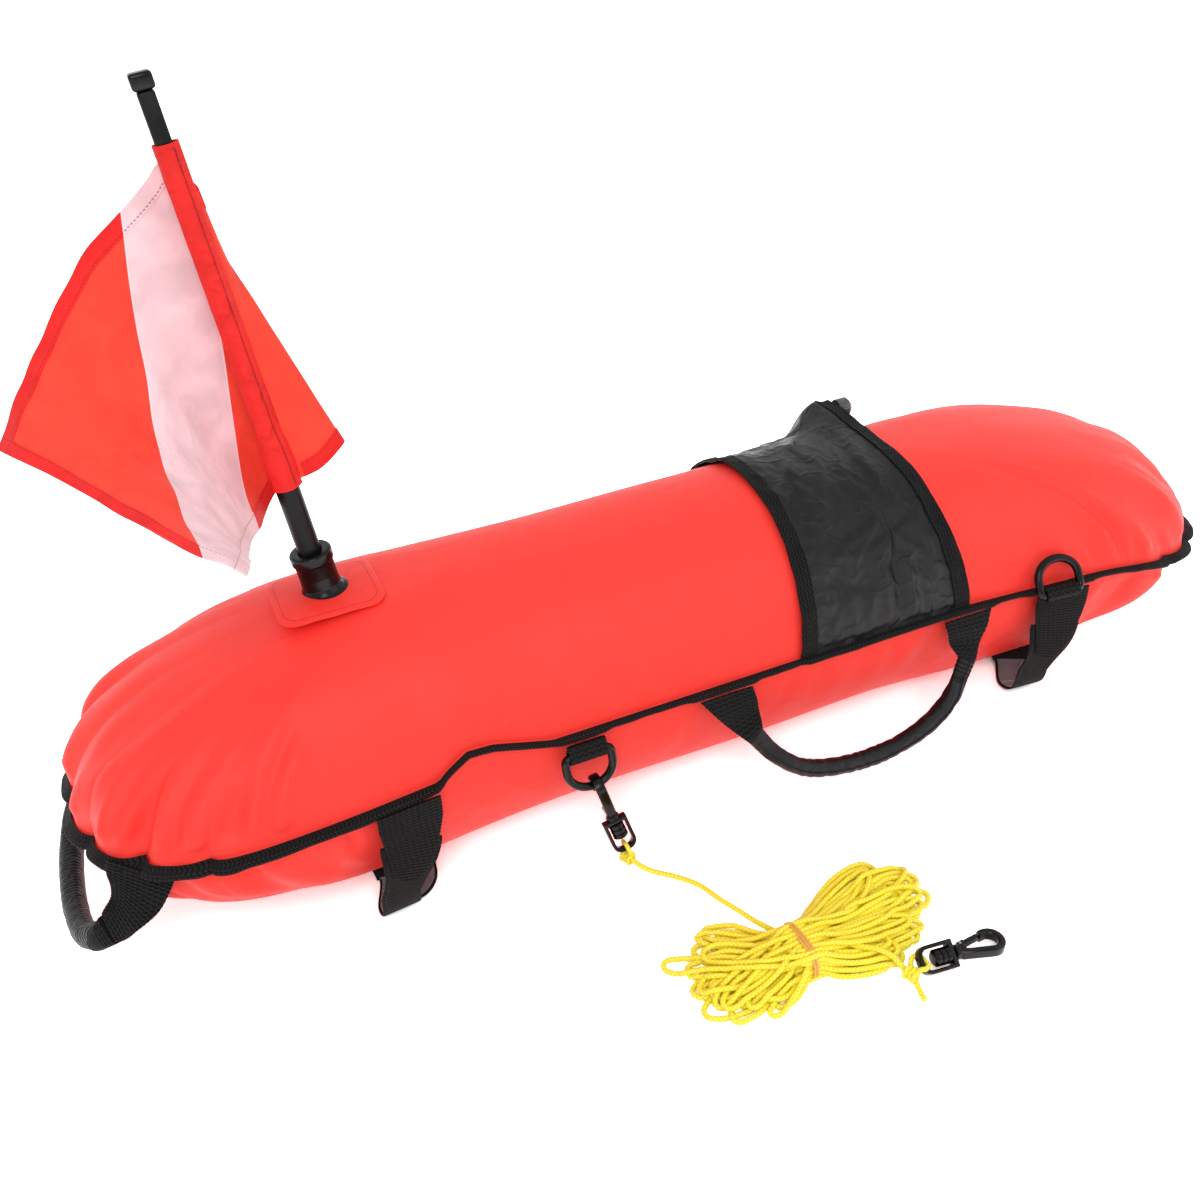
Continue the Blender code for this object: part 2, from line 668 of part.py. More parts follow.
def build_valve():
    """Make the neck through panel and bladder, the bent hose, its mouthpiece, the poppet and the dust cap."""
    frame = valve_frame()
    inside = PANEL_WALL + BLADDER_GAP + BLADDER_WALL + VALVE_FLANGE_SINK
    profile = [(0.0, BOSS_HEIGHT), (BOSS_RADIUS * 0.8, BOSS_HEIGHT), (BOSS_RADIUS, BOSS_HEIGHT * 0.5),
               (BOSS_RADIUS, SEAT * 2), (NECK_RADIUS, SEAT * 2), (NECK_RADIUS, -inside),
               (VALVE_FLANGE_RADIUS, -inside - SEAT * 3), (VALVE_FLANGE_RADIUS, -inside - VALVE_FLANGE_WALL),
               (0.0, -inside - VALVE_FLANGE_WALL)]
    turned("valve_neck", profile, 20, (PLASTIC_BLACK, 0.4), frame)
    route = [(0, 0, BOSS_HEIGHT + SEAT), (0, 0, BOSS_HEIGHT + 0.0020), (0, 0, HOSE_RISE * 0.62), (HOSE_REACH * 0.35, 0, HOSE_RISE * 0.95),
             (HOSE_REACH * 0.8, 0, HOSE_RISE), (HOSE_REACH, 0, HOSE_RISE)]
    hose = place("valve_hose", curve_tube("valve_hose", smooth_route(route, 13), HOSE_RADIUS), (NYLON_BLACK, 0.5))
    hose.matrix_world = frame
    mouth = mouth_frame()
    bore = POPPET_RADIUS + SEAT
    profile = [(bore, MOUTH_LENGTH), (MOUTH_RADIUS * 0.85, MOUTH_LENGTH), (MOUTH_RADIUS, MOUTH_LENGTH * 0.9),
               (MOUTH_RADIUS, MOUTH_LENGTH * 0.45), (MOUTH_RADIUS * 0.86, MOUTH_LENGTH * 0.4),
               (MOUTH_RADIUS * 0.86, 0.0), (0.0, 0.0), (0.0, MOUTH_LENGTH * 0.3), (bore, MOUTH_LENGTH * 0.3)]
    turned("valve_mouthpiece", profile, 20, (PLASTIC_BLACK, 0.35), mouth, closed=True)
    foot = MOUTH_LENGTH * 0.3 + POPPET_TRAVEL + SEAT
    profile = [(0.0, MOUTH_LENGTH + 0.001), (POPPET_RADIUS * 0.7, MOUTH_LENGTH + 0.001),
               (POPPET_RADIUS, MOUTH_LENGTH), (POPPET_RADIUS, foot), (0.0, foot)]
    turned("valve_poppet", profile, 14, (WEB_BLACK, 0.5), mouth)
    inner = MOUTH_RADIUS + SEAT
    start = MOUTH_LENGTH - CAP_OVERLAP
    top = start + CAP_LENGTH
    profile = [(0.0, top), (inner * 0.7, top), (inner + CAP_WALL, top - 0.003), (inner + CAP_WALL, start),
               (inner, start), (inner, top - CAP_WALL - 0.003), (0.0, top - CAP_WALL)]
    turned("valve_cap", profile, 20, (CLEAR_GREY, 0.2), mouth)


def mouth_frame():
    """Return the mouthpiece's frame: local Z points out of the mouth, along the body."""
    frame = valve_frame()
    origin = frame @ Vector((HOSE_REACH + 2 * SEAT, 0, HOSE_RISE))
    out = frame.to_3x3() @ Vector((1, 0, 0))
    return axes_frame(origin, frame.to_3x3() @ Vector((0, 0, 1)), out)


def pole_frame():
    """Return the pole's frame: origin on the patch, local Z up the pole, local X along the body."""
    height = AXIS_HEIGHT + crown_height(POLE_X, 0.0) + PATCH_WALL + 3 * SEAT
    direction = (-math.sin(POLE_LEAN), 0.0, math.cos(POLE_LEAN))
    return axes_frame((POLE_X, 0.0, height), (1, 0, 0), direction)


def rounded_rectangle(length, width, corner, corner_steps=4):
    """Return a rounded rectangle's outline about the origin, anticlockwise."""
    points = []
    for quarter, (sx, sy) in enumerate(((1, 1), (-1, 1), (-1, -1), (1, -1))):
        for step in range(corner_steps + 1):
            angle = (quarter + step / corner_steps) * math.pi / 2
            points.append(Vector((sx * (length / 2 - corner) + corner * math.cos(angle),
                                  sy * (width / 2 - corner) + corner * math.sin(angle), 0.0)))
    return points


def build_patch():
    """Make the reinforcing patch, which follows the upper panel."""
    outline = []
    corners = rounded_rectangle(PATCH_LENGTH, PATCH_WIDTH, PATCH_CORNER)
    for start, end in zip(corners, corners[1:] + corners[:1]):
        outline.append(start)
        if (end - start).length > PATCH_CORNER:
            outline.extend(start.lerp(end, share) for share in (0.25, 0.5, 0.75))
    rows = []
    for share in (1.0, 0.75, 0.5, 0.25, 0.0):
        row = []
        for point in outline:
            x = POLE_X + point.x * share
            row.append(crown_point(x, across_of(x, point.y * share), 1.5 * SEAT))
        rows.append(row)
    item = place("flag_patch", mesh_from("flag_patch", lambda shape: strips(shape, rows, closed=True)), (RED, 0.6))
    return solidify(item, PATCH_WALL, 1.0)


def build_socket():
    """Make the socket, its underside hollowed to sit on the crown of the patch."""
    frame = pole_frame()
    bore = POLE_TUBE_RADIUS + SEAT
    skirt = -0.003
    lip_start = SOCKET_HEIGHT - SOCKET_LIP_HEIGHT
    profile = [(bore, SOCKET_HEIGHT), (SOCKET_LIP_RADIUS - 0.001, SOCKET_HEIGHT),
               (SOCKET_LIP_RADIUS, SOCKET_HEIGHT - 0.001), (SOCKET_LIP_RADIUS, lip_start),
               (SOCKET_BARREL_RADIUS, lip_start - 0.001), (SOCKET_BARREL_RADIUS, SOCKET_FLANGE_HEIGHT + 0.002),
               (SOCKET_FLANGE_RADIUS - 0.001, SOCKET_FLANGE_HEIGHT), (SOCKET_FLANGE_RADIUS, SOCKET_FLANGE_HEIGHT - 0.001),
               (SOCKET_FLANGE_RADIUS, skirt), (0.0, skirt), (0.0, SOCKET_FLOOR), (bore, SOCKET_FLOOR)]
    socket = turned("pole_socket", profile, 32, (PLASTIC_BLACK, 0.25), frame, closed=True)
    rows = []
    for column in range(9):
        x = POLE_X + 1.5 * SOCKET_FLANGE_RADIUS * (column / 4 - 1)
        across = [1.5 * SOCKET_FLANGE_RADIUS * (step / 7 - 1) for step in range(15)]
        rows.append([crown_point(x, across_of(x, y), PATCH_WALL + 2.5 * SEAT) for y in across])
    mesh = mesh_from("socket_saddle", lambda shape: strips(shape, rows[::-1]))
    saddle = solidify(place("socket_saddle", mesh, (RED, 0.5)), SOCKET_FLANGE_RADIUS)
    return boolean(socket, saddle)


def build_pole():
    """Make the two-section pole and the knob on its top."""
    frame = pole_frame()
    bore = POLE_ROD_RADIUS + SEAT
    foot = SOCKET_FLOOR + SEAT
    rod_foot = POLE_TUBE_TOP - POLE_ROD_ENGAGEMENT
    profile = [(bore, POLE_TUBE_TOP), (POLE_TUBE_RADIUS - 0.0008, POLE_TUBE_TOP),
               (POLE_TUBE_RADIUS, POLE_TUBE_TOP - 0.0008), (POLE_TUBE_RADIUS, foot), (0.0, foot),
               (0.0, rod_foot - SEAT), (bore, rod_foot - SEAT)]
    turned("pole_lower_tube", profile, 20, (WEB_BLACK, 0.4), frame, closed=True)
    profile = [(0.0, POLE_ROD_TOP), (POLE_ROD_RADIUS, POLE_ROD_TOP), (POLE_ROD_RADIUS, rod_foot), (0.0, rod_foot)]
    turned("pole_upper_rod", profile, 16, (WEB_BLACK, 0.4), frame)
    base = POLE_ROD_TOP + SEAT
    waist = KNOB_RADIUS - KNOB_GROOVE
    profile = [(0.0, base + KNOB_HEIGHT), (KNOB_RADIUS * 0.7, base + KNOB_HEIGHT),
               (KNOB_RADIUS, base + KNOB_HEIGHT * 0.82), (KNOB_RADIUS, base + KNOB_HEIGHT * 0.60),
               (waist, base + KNOB_HEIGHT * 0.50), (KNOB_RADIUS, base + KNOB_HEIGHT * 0.40),
               (KNOB_RADIUS, base + KNOB_HEIGHT * 0.16), (KNOB_RADIUS * 0.75, base), (0.0, base)]
    turned("pole_knob", profile, 20, (PLASTIC_BLACK, 0.3), frame)


def sleeve_radius(height):
    """Return the sleeve's inner radius at a height on the pole: it narrows from the tube to the rod."""
    wide = POLE_TUBE_RADIUS + SLEEVE_PLAY
    narrow = POLE_ROD_RADIUS + SLEEVE_PLAY
    share = min(max((height - POLE_TUBE_TOP) / (SLEEVE_TOP - POLE_TUBE_TOP), 0.0), 1.0)
    return wide + (narrow - wide) * share


def build_flag():
    """Make the sleeve on the pole and the cloth, folded back behind the pole and hung out to the left."""
    frame = pole_frame()
    heights = [SLEEVE_TOP, POLE_TUBE_TOP, SLEEVE_BOTTOM]
    outside = [(sleeve_radius(height) + SLEEVE_WALL, height) for height in heights]
    inside = [(sleeve_radius(height), height) for height in reversed(heights)]
    turned("flag_sleeve", outside + inside, 16, (DEEP_RED, 0.8), frame, closed=True)
    rows = flag_rows()
    cloth = place("flag_cloth", mesh_from("flag_cloth", lambda shape: strips(shape, rows)), (RED, 0.8))
    return solidify(cloth, CLOTH_WALL, 0.0)


def flag_rows():
    """Return the cloth's rows from top to bottom, each running from the stitched edge to the fly."""
    frame = pole_frame()
    edge = sleeve_radius(POLE_TUBE_TOP) + SLEEVE_WALL + SEAT + CLOTH_WALL / 2

    def on_pole(height, right, back):
        return frame @ Vector((right, back, height))
    top = [on_pole(0.2800, edge, 0.0), on_pole(0.2790, edge + 0.004, 0.001), on_pole(0.2780, edge + 0.001, 0.011),
           on_pole(0.2840, 0.0, 0.0130), on_pole(0.2860, -0.012, 0.0130), Vector((-0.306, 0.011, 0.456)),
           Vector((-0.352, 0.006, 0.398)), Vector((-0.406, 0.000, 0.339))]
    bottom = [on_pole(SLEEVE_BOTTOM + 0.002, edge, 0.0), on_pole(0.0850, 0.024, 0.001),
              on_pole(0.0930, 0.044, 0.010), on_pole(0.0840, 0.020, 0.0165), on_pole(0.0780, -0.001, 0.0150),
              Vector((-0.279, 0.005, 0.266)), Vector((-0.296, -0.060, 0.276)), Vector((-0.308, -0.183, 0.312))]
    upper = smooth_route(top, CLOTH_COLUMNS)
    lower = smooth_route(bottom, CLOTH_COLUMNS)
    return [[a.lerp(b, row / (CLOTH_ROWS - 1)) for a, b in zip(upper, lower)] for row in range(CLOTH_ROWS)]


def tent(x, y):
    """Return how far the cover stands off the panel where the valve holds it up."""
    valve = valve_frame().translation
    along = min(max((x - (VALVE_X - 0.036)) / 0.040, 0.0), 1.0)
    across = math.exp(-((y - valve.y - 0.004) / 0.030) ** 2)
    return COVER_TENT * along * along * (3 - 2 * along) * across


def cover_point(share, across, lift):
    """Return a point of the cover, share 0 at its left edge and 1 at its right one."""
    left = COVER_LEFT - COVER_LEFT_FLARE * across * across
    right = COVER_RIGHT + COVER_RIGHT_FLARE * across * across
    x = left + (right - left) * share
    y = half_width(x) * math.copysign(abs(math.sin(across * math.pi / 2)) ** (2 / CROWN_POWER), across)
    return crown_point(x, across, COVER_LIFT + lift + tent(x, y))


def build_cover():
    """Make the nylon cover from seam to seam and the two bound edges sewn on it."""
    hem_share = HEM_WIDTH / (COVER_RIGHT - COVER_LEFT)
    pieces = (("valve_cover", 0.0, 1.0, 0.0, COVER_WALL, COVER_COLUMNS, NYLON_BLACK),
              ("cover_hem_left", 0.0, hem_share, COVER_WALL + SEAT, HEM_WALL, 2, WEB_BLACK),
              ("cover_hem_right", 1 - hem_share, 1.0, COVER_WALL + SEAT, HEM_WALL, 2, WEB_BLACK))
    for name, start, end, lift, wall, columns, colour in pieces:
        rows = []
        for row in range(COVER_ROWS + 1):
            across = COVER_SEAM * (2 * row / COVER_ROWS - 1)
            rows.append([cover_point(start + (end - start) * column / columns, across, lift)
                         for column in range(columns + 1)])
        item = place(name, mesh_from(name, lambda shape: strips(shape, rows)), (colour, 0.6))
        solidify(item, wall, 1.0)


def band(name, left_edge, right_edge, wall, look, columns=1):
    """Make flat webbing between two edge lines of equal length."""
    rows = [[a.lerp(b, column / columns) for column in range(columns + 1)] for a, b in zip(left_edge, right_edge)]
    item = place(name, mesh_from(name, lambda shape: strips(shape, rows)), look)
    return solidify(item, wall, 0.0)


def ring_points():
    """Return the D-ring's wire in its own XZ plane, its straight bar on the X axis and the bow below."""
    half = RING_WIDTH / 2 - RING_WIRE_RADIUS
    depth = RING_HEIGHT - 2 * RING_WIRE_RADIUS
    corner = 0.004
    points = []
    for step in range(4):
        angle = math.pi / 2 * step / 3
        points.append(Vector((half - corner + corner * math.sin(angle), 0.0, corner * (math.cos(angle) - 1))))
    shoulder = depth * 0.42
    steps = 14
    for step in range(steps + 1):
        angle = math.pi * step / steps
        points.append(Vector((half * math.cos(angle), 0.0, -shoulder - (depth - shoulder) * math.sin(angle))))
    for step in range(4):
        angle = math.pi / 2 * (1 - step / 3)
        points.append(Vector((corner - half - corner * math.sin(angle), 0.0, corner * (math.cos(angle) - 1))))
    return points


def build_rings():
    """Make the D-ring that hangs from the seam and the one that leans up on the body above a strap."""
    top = WEBBING_WALL / 2
    frame = hang_frame(RING_1_X) @ Matrix.Translation((0.0, 0.0, top - RING_DROP))
    build_ring(1, frame, RING_DROP, RING_1_LIFT, 0.0)
    rise = AXIS_HEIGHT + RING_2_RISE - hang_point(RING_2_X).z
    frame = hang_frame(RING_2_X) @ Matrix.Translation((0.0, HANG_OUT - SEAT - RING_2_OUT, rise))
    build_ring(2, frame, RING_2_OUT, RING_2_LIFT, -math.pi / 2)


def build_ring(number, frame, top, lift, tab_turn):
    """Make a webbing tab folded round a D-ring's bar, and the ring, turned by lift about its bar."""
    inner = RING_WIRE_RADIUS + TAB_PLAY
    outer = inner + WEBBING_WALL
    tip = SEAT / 2 + WEBBING_WALL
    apex = min(inner + 0.0035, top - WEBBING_WALL)
    outside = [Vector((tip, top, 0))]
    hole = [Vector((SEAT / 2, apex, 0))]
    for step in range(9):
        angle = math.radians(30) - math.radians(240) * step / 8
        outside.append(Vector((outer * math.cos(angle), outer * math.sin(angle), 0)))
        hole.append(Vector((inner * math.cos(angle), inner * math.sin(angle), 0)))
    outside.append(Vector((-tip, top, 0)))
    hole.append(Vector((-SEAT / 2, apex, 0)))
    mesh = plate_mesh("ring_tab_%d" % number, (outside, hole), TAB_WIDTH)
    tab = place("ring_tab_%d" % number, mesh, (WEB_BLACK, 0.85))
    stand = Matrix(((0, 0, 1), (1, 0, 0), (0, 1, 0))).to_4x4()
    tab.matrix_world = frame @ Matrix.Rotation(tab_turn, 4, "X") @ stand
    ring = place("d_ring_%d" % number, curve_tube("d_ring_%d" % number, ring_points(), RING_WIRE_RADIUS, True),
                 (PLASTIC_BLACK, 0.25))
    ring.matrix_world = frame @ Matrix.Rotation(-lift, 4, "X")
    return ring


def handle_point(x, drop):
    """Return a point of the hanging carry handle's leaning plane."""
    hang = hang_point(0.0)
    return Vector((x, hang.y - drop * math.sin(HANDLE_LEAN), hang.z - drop * math.cos(HANDLE_LEAN)))


def build_handle():
    """Make the carry handle: two flat webbing ends that gather into a rolled grip."""
    look = (WEB_BLACK, 0.85)
    for name, outer, inner in (("handle_webbing_left", LEFT_FLARE_OUTER, LEFT_FLARE_INNER),
                               ("handle_webbing_right", RIGHT_FLARE_OUTER, RIGHT_FLARE_INNER)):
        edges = [smooth_route([handle_point(x, drop) for x, drop in edge], 7) for edge in (outer, inner)]
        band(name, edges[0], edges[1], WEBBING_WALL, look, 2)
    route = smooth_route([handle_point(x, drop) for x, drop in GRIP_ROUTE], 24)
    place("handle_grip", curve_tube("handle_grip", route, GRIP_RADIUS), look)


def build_end_handle():
    """Make the handle that hangs below the left end, the same on both sides of the middle."""
    look = (WEB_BLACK, 0.85)
    drop = AXIS_HEIGHT - binding_half_height() - SEAT - WEBBING_WALL / 2
    along = Vector((0.0420, -0.0240, 0.0)).normalized()
    top = Vector((END_CORNER_X, -END_CORNER_Y, drop))
    grip_run = (Vector(END_GRIP_ROUTE[1]) - Vector(END_GRIP_ROUTE[0])).normalized()
    neck = Vector(END_GRIP_ROUTE[0]) - grip_run * (END_GRIP_RADIUS + SEAT)
    narrow = Vector((0.35, -0.25, 0.75))
    narrow = (narrow - grip_run * narrow.dot(grip_run)).normalized()
    route = smooth_route([top, *[Vector(bend) for bend in END_WEBBING_BENDS], neck], 8)
    for side, name in ((1, "end_webbing_front"), (-1, "end_webbing_rear")):
        left, right = [], []
        for index, point in enumerate(route):
            share = index / (len(route) - 1)
            width = END_HANDLE_WEBBING + (END_HANDLE_NECK - END_HANDLE_WEBBING) * share
            across = along.lerp(narrow, share).normalized()
            left.append(point - across * width / 2)
            right.append(point + across * width / 2)
        if side > 0:
            left, right = right, left
        else:
            left = [Vector((p.x, -p.y, p.z)) for p in left]
            right = [Vector((p.x, -p.y, p.z)) for p in right]
        band(name, left, right, WEBBING_WALL, look, 2)
    half = [Vector(point) for point in END_GRIP_ROUTE]
    route = half + [Vector(END_GRIP_MIDDLE)] + [Vector((p.x, -p.y, p.z)) for p in reversed(half)]
    mesh = curve_tube("end_grip", smooth_route(route, 22), END_GRIP_RADIUS, round_ends=True)
    place("end_grip", mesh, look)


def belly_point(x, y, lift):
    """Return a point of the lower panel, moved outwards by lift."""
    return crown_point(x, across_of(x, y), lift, -1)


def build_strap(side_name, x):
    """Make one rod strap: a tab sewn into the seam, pressed on the loop that comes out from under the belly."""
    look = (WEB_BLACK, 0.9)
    frame = hang_frame(x)
    face = WEBBING_WALL + SEAT
    lift = 2 * SEAT + WEBBING_WALL / 2
    name = side_name + "_strap_loop"
    lines = []
    for step in range(STRAP_COLUMNS + 1):
        along = STRAP_WIDTH * (step / STRAP_COLUMNS - 0.5)
        line = []
        for inward in STRAP_SEWN:
            spot = frame @ Vector((along, inward, 0.0))
            line.append(belly_point(spot.x, spot.y, lift))
        for inward, height in STRAP_LOOP:
            spot = frame @ Vector((along, face + inward, 0.0))
            line.append(Vector((spot.x, spot.y, height)))
        lines.append(smooth_route(line, 18))
    solidify(place(name, mesh_from(name, lambda shape: strips(shape, lines)), look), WEBBING_WALL, 0.0)
    left, right = [], []
    for share, cut in STRAP_TAB_CUT:
        half = STRAP_WIDTH / 2 - cut
        left.append(frame @ Vector((-half, 0.0, -STRAP_TAB_DROP * share)))
        right.append(frame @ Vector((half, 0.0, -STRAP_TAB_DROP * share)))
    band(side_name + "_strap_tab", left, right, WEBBING_WALL, look)


def teardrop(head, foot, foot_height, steps=12):
    """Return a teardrop outline in XY: a round head above a narrow foot."""
    points = []
    for step in range(steps + 1):
        angle = math.radians(-12) + math.radians(204) * step / steps
        points.append(Vector((head * math.cos(angle), HOOK_HEAD_CENTRE + head * math.sin(angle), 0.0)))
    points.append(Vector((-foot, foot_height + 0.002, 0.0)))
    points.append(Vector((-foot * 0.6, foot_height, 0.0)))
    points.append(Vector((foot * 0.6, foot_height, 0.0)))
    points.append(Vector((foot, foot_height + 0.002, 0.0)))
    return points


def gate_centre(height):
    """Return the x of the gate side's limb at a height on the hook."""
    foot_x = HOOK_LIMB / 2 - HOOK_FOOT_HALF
    head_x = HOOK_LIMB / 2 - HOOK_HEAD_RADIUS
    share = (height - HOOK_FOOT) / (HOOK_HEAD_CENTRE - HOOK_FOOT)
    return foot_x + (head_x - foot_x) * share


def build_hook_frame(prefix, frame, look):
    """Make a snap hook's frame: teardrop plate, shank and the ringed button that keeps the eye on."""
    outline = teardrop(HOOK_HEAD_RADIUS, HOOK_FOOT_HALF, HOOK_FOOT)
    opening = teardrop(HOOK_HEAD_RADIUS - HOOK_LIMB, 0.0020, HOOK_OPENING_FOOT)
    mesh = plate_mesh(prefix + "frame", (outline, opening[::-1]), HOOK_THICKNESS, HOOK_BEVEL)
    hook = place(prefix + "frame", mesh, look)
    hook.matrix_world = frame @ UPRIGHT
    top = HOOK_OPENING_FOOT - 0.0022
    button = -EYE_HEAD - 2 * SEAT
    shaft = [(0.0, top), (COLLAR_RADIUS * 0.6, top), (COLLAR_RADIUS, HOOK_FOOT), (COLLAR_RADIUS, 0.0),
             (SHANK_RADIUS, 0.0), (SHANK_RADIUS, button)]
    rings = 3
    for ring in range(rings):
        low = button - BUTTON_HEIGHT * (ring + 1) / rings
        high = button - BUTTON_HEIGHT * ring / rings
        shaft += [(BUTTON_RADIUS, high), (BUTTON_RADIUS, low + 2 * BUTTON_GROOVE)]
        if ring < rings - 1:
            shaft += [(BUTTON_RADIUS - BUTTON_GROOVE, low + 1.6 * BUTTON_GROOVE),
                      (BUTTON_RADIUS - BUTTON_GROOVE, low + 0.4 * BUTTON_GROOVE)]
    end = button - BUTTON_HEIGHT
    shaft += [(BUTTON_RADIUS * 0.7, end), (0.0, end)]
    boolean(hook, turned(prefix + "shaft", shaft, 16, look, frame), "UNION")
    inner = -0.0010
    outer = -HOOK_HEAD_RADIUS - 0.002
    cuts = (("gate_gap", 2 * HOOK_THICKNESS, GATE_START + SEAT, GATE_END),
            ("knuckle_slot", KNUCKLE_WIDTH + 2 * SEAT, GATE_PIN_HEIGHT - KNUCKLE_HALF - 2 * SEAT, GATE_START + 0.001))
    for name, deep, low, high in cuts:
        boolean(hook, block(prefix + name, ((outer + inner) / 2, 0.0, (low + high) / 2),
                            (inner - outer, deep, high - low), frame, look))
    return boolean(hook, rod(prefix + "pin_hole", GATE_PIN_RADIUS + SEAT, 2 * HOOK_THICKNESS, 12,
                             pin_frame(frame), look))


def pin_frame(frame):
    """Return the frame of a hook's gate pin, local Z along the pin."""
    place_on_hook = Vector((gate_centre(GATE_PIN_HEIGHT), 0.0, GATE_PIN_HEIGHT))
    return frame @ Matrix.Translation(place_on_hook) @ Matrix.Rotation(-math.pi / 2, 4, "X")


def build_gate(prefix, frame, look):
    """Make a snap hook's sprung gate with its knuckle, and the pin it turns on."""
    rod(prefix + "pin", GATE_PIN_RADIUS, HOOK_THICKNESS - 0.0008, 12, pin_frame(frame), ((0.4, 0.4, 0.4), 0.3))
    low = GATE_START + 2 * SEAT + 0.0006
    high = GATE_END - 2 * SEAT
    foot = gate_centre(low)
    tip = gate_centre(high)
    half = GATE_WALL / 2
    bar = [Vector((foot - half, low, 0)), Vector((foot + half, low, 0)), Vector((tip + half, high - GATE_CHAMFER, 0)),
           Vector((tip + half - GATE_CHAMFER, high, 0)), Vector((tip - half + GATE_CHAMFER, high, 0)),
           Vector((tip - half, high - GATE_CHAMFER, 0))]
    gate = place(prefix + "gate", plate_mesh(prefix + "gate", (bar,), GATE_WIDTH, 0.0004), look)
    gate.matrix_world = frame @ UPRIGHT
    pin_x = gate_centre(GATE_PIN_HEIGHT)
    under = GATE_PIN_HEIGHT - KNUCKLE_HALF
    shape = [(foot - half + 0.0004, low + 0.0012), (pin_x - KNUCKLE_HALF, GATE_PIN_HEIGHT),
             (pin_x - KNUCKLE_HALF * 0.6, under), (pin_x + KNUCKLE_HALF * 0.6, under),
             (pin_x + KNUCKLE_HALF, GATE_PIN_HEIGHT), (foot + half - 0.0004, low + 0.0012)]
    mesh = plate_mesh(prefix + "knuckle", ([Vector((x, y, 0)) for x, y in shape],), KNUCKLE_WIDTH)
    knuckle = place(prefix + "knuckle", mesh, look)
    knuckle.matrix_world = frame @ UPRIGHT
    boolean(gate, knuckle, "UNION")
    return boolean(gate, rod(prefix + "gate_hole", GATE_PIN_RADIUS + SEAT, 2 * HOOK_THICKNESS, 12,
                             pin_frame(frame), look))


def eye_outline(half, top, bottom, corner, steps=5):
    """Return the outline of an eye or of its window: square above, rounded below."""
    points = [Vector((half, top, 0)), Vector((-half, top, 0))]
    for quarter, sign in ((0, -1), (1, 1)):
        for step in range(steps + 1):
            angle = math.pi / 2 * (step / steps + quarter)
            points.append(Vector((sign * (half - corner) - corner * math.cos(angle),
                                  bottom + corner - corner * math.sin(angle), 0)))
    return points


def build_eye(prefix, frame, turn, look):
    """Make the swivel eye: a head bored for the shank, two flat arms beside the button and a round end."""
    turned_frame = frame @ Matrix.Rotation(turn, 4, "Z")
    outer = eye_outline(EYE_WIDTH / 2, -SEAT, -EYE_LENGTH, 0.0062)
    window = eye_outline(EYE_WIDTH / 2 - EYE_ARM, -SEAT - EYE_HEAD, -EYE_LENGTH + EYE_ARM, 0.0042)
    mesh = plate_mesh(prefix + "eye", (outer, window[::-1]), EYE_DEPTH, 0.0007)
    eye = place(prefix + "eye", mesh, look)
    eye.matrix_world = turned_frame @ UPRIGHT
    bore = rod(prefix + "bore", SHANK_RADIUS + SEAT, 2 * EYE_HEAD, 16, frame, look)
    bore.matrix_world = frame @ Matrix.Translation((0, 0, -EYE_HEAD / 2))
    return boolean(eye, bore)


def build_hook(number, tail, top, turn):
    """Make one snap hook from its frame, gate, pin and eye."""
    prefix = "hook_%d_" % number
    look = (PLASTIC_BLACK, 0.25)
    frame = hook_frame(tail, top)
    build_hook_frame(prefix, frame, look)
    build_gate(prefix, frame, look)
    build_eye(prefix, frame, turn, look)


def hook_frame(tail, top):
    """Return a hook's frame from the far end of its eye to the top of its head, its gate turned from the viewer."""
    tail, top = Vector(tail), Vector(top)
    along = (top - tail).normalized()
    return axes_frame(tail + along * EYE_LENGTH, (0.0, -1.0, 0.0), along)


def hank_section(share, half_width_here, height, grow=0.0):
    """Return a closed section of the hank at a share of its length, made larger by grow."""
    start, end = Vector((*HANK_SPINE[0], 0.0)), Vector((*HANK_SPINE[1], 0.0))
    shift = 0.0
    for (low, before), (high, after) in zip(HANK_SHIFT, HANK_SHIFT[1:]):
        if low <= share <= high:
            shift = before + (after - before) * (share - low) / (high - low)
    centre = start.lerp(end, share) + Vector((0.0, shift, 0.0))
    middle = height / 2 + 0.0024
    points = []
    for step in range(20):
        angle = 2 * math.pi * step / 20
        across = math.copysign(abs(math.cos(angle)) ** 0.75, math.cos(angle))
        rise = math.copysign(abs(math.sin(angle)) ** 0.75, math.sin(angle))
        points.append(centre + Vector((0.0, across * (half_width_here + grow), middle + rise * (height / 2 + grow))))
    return points


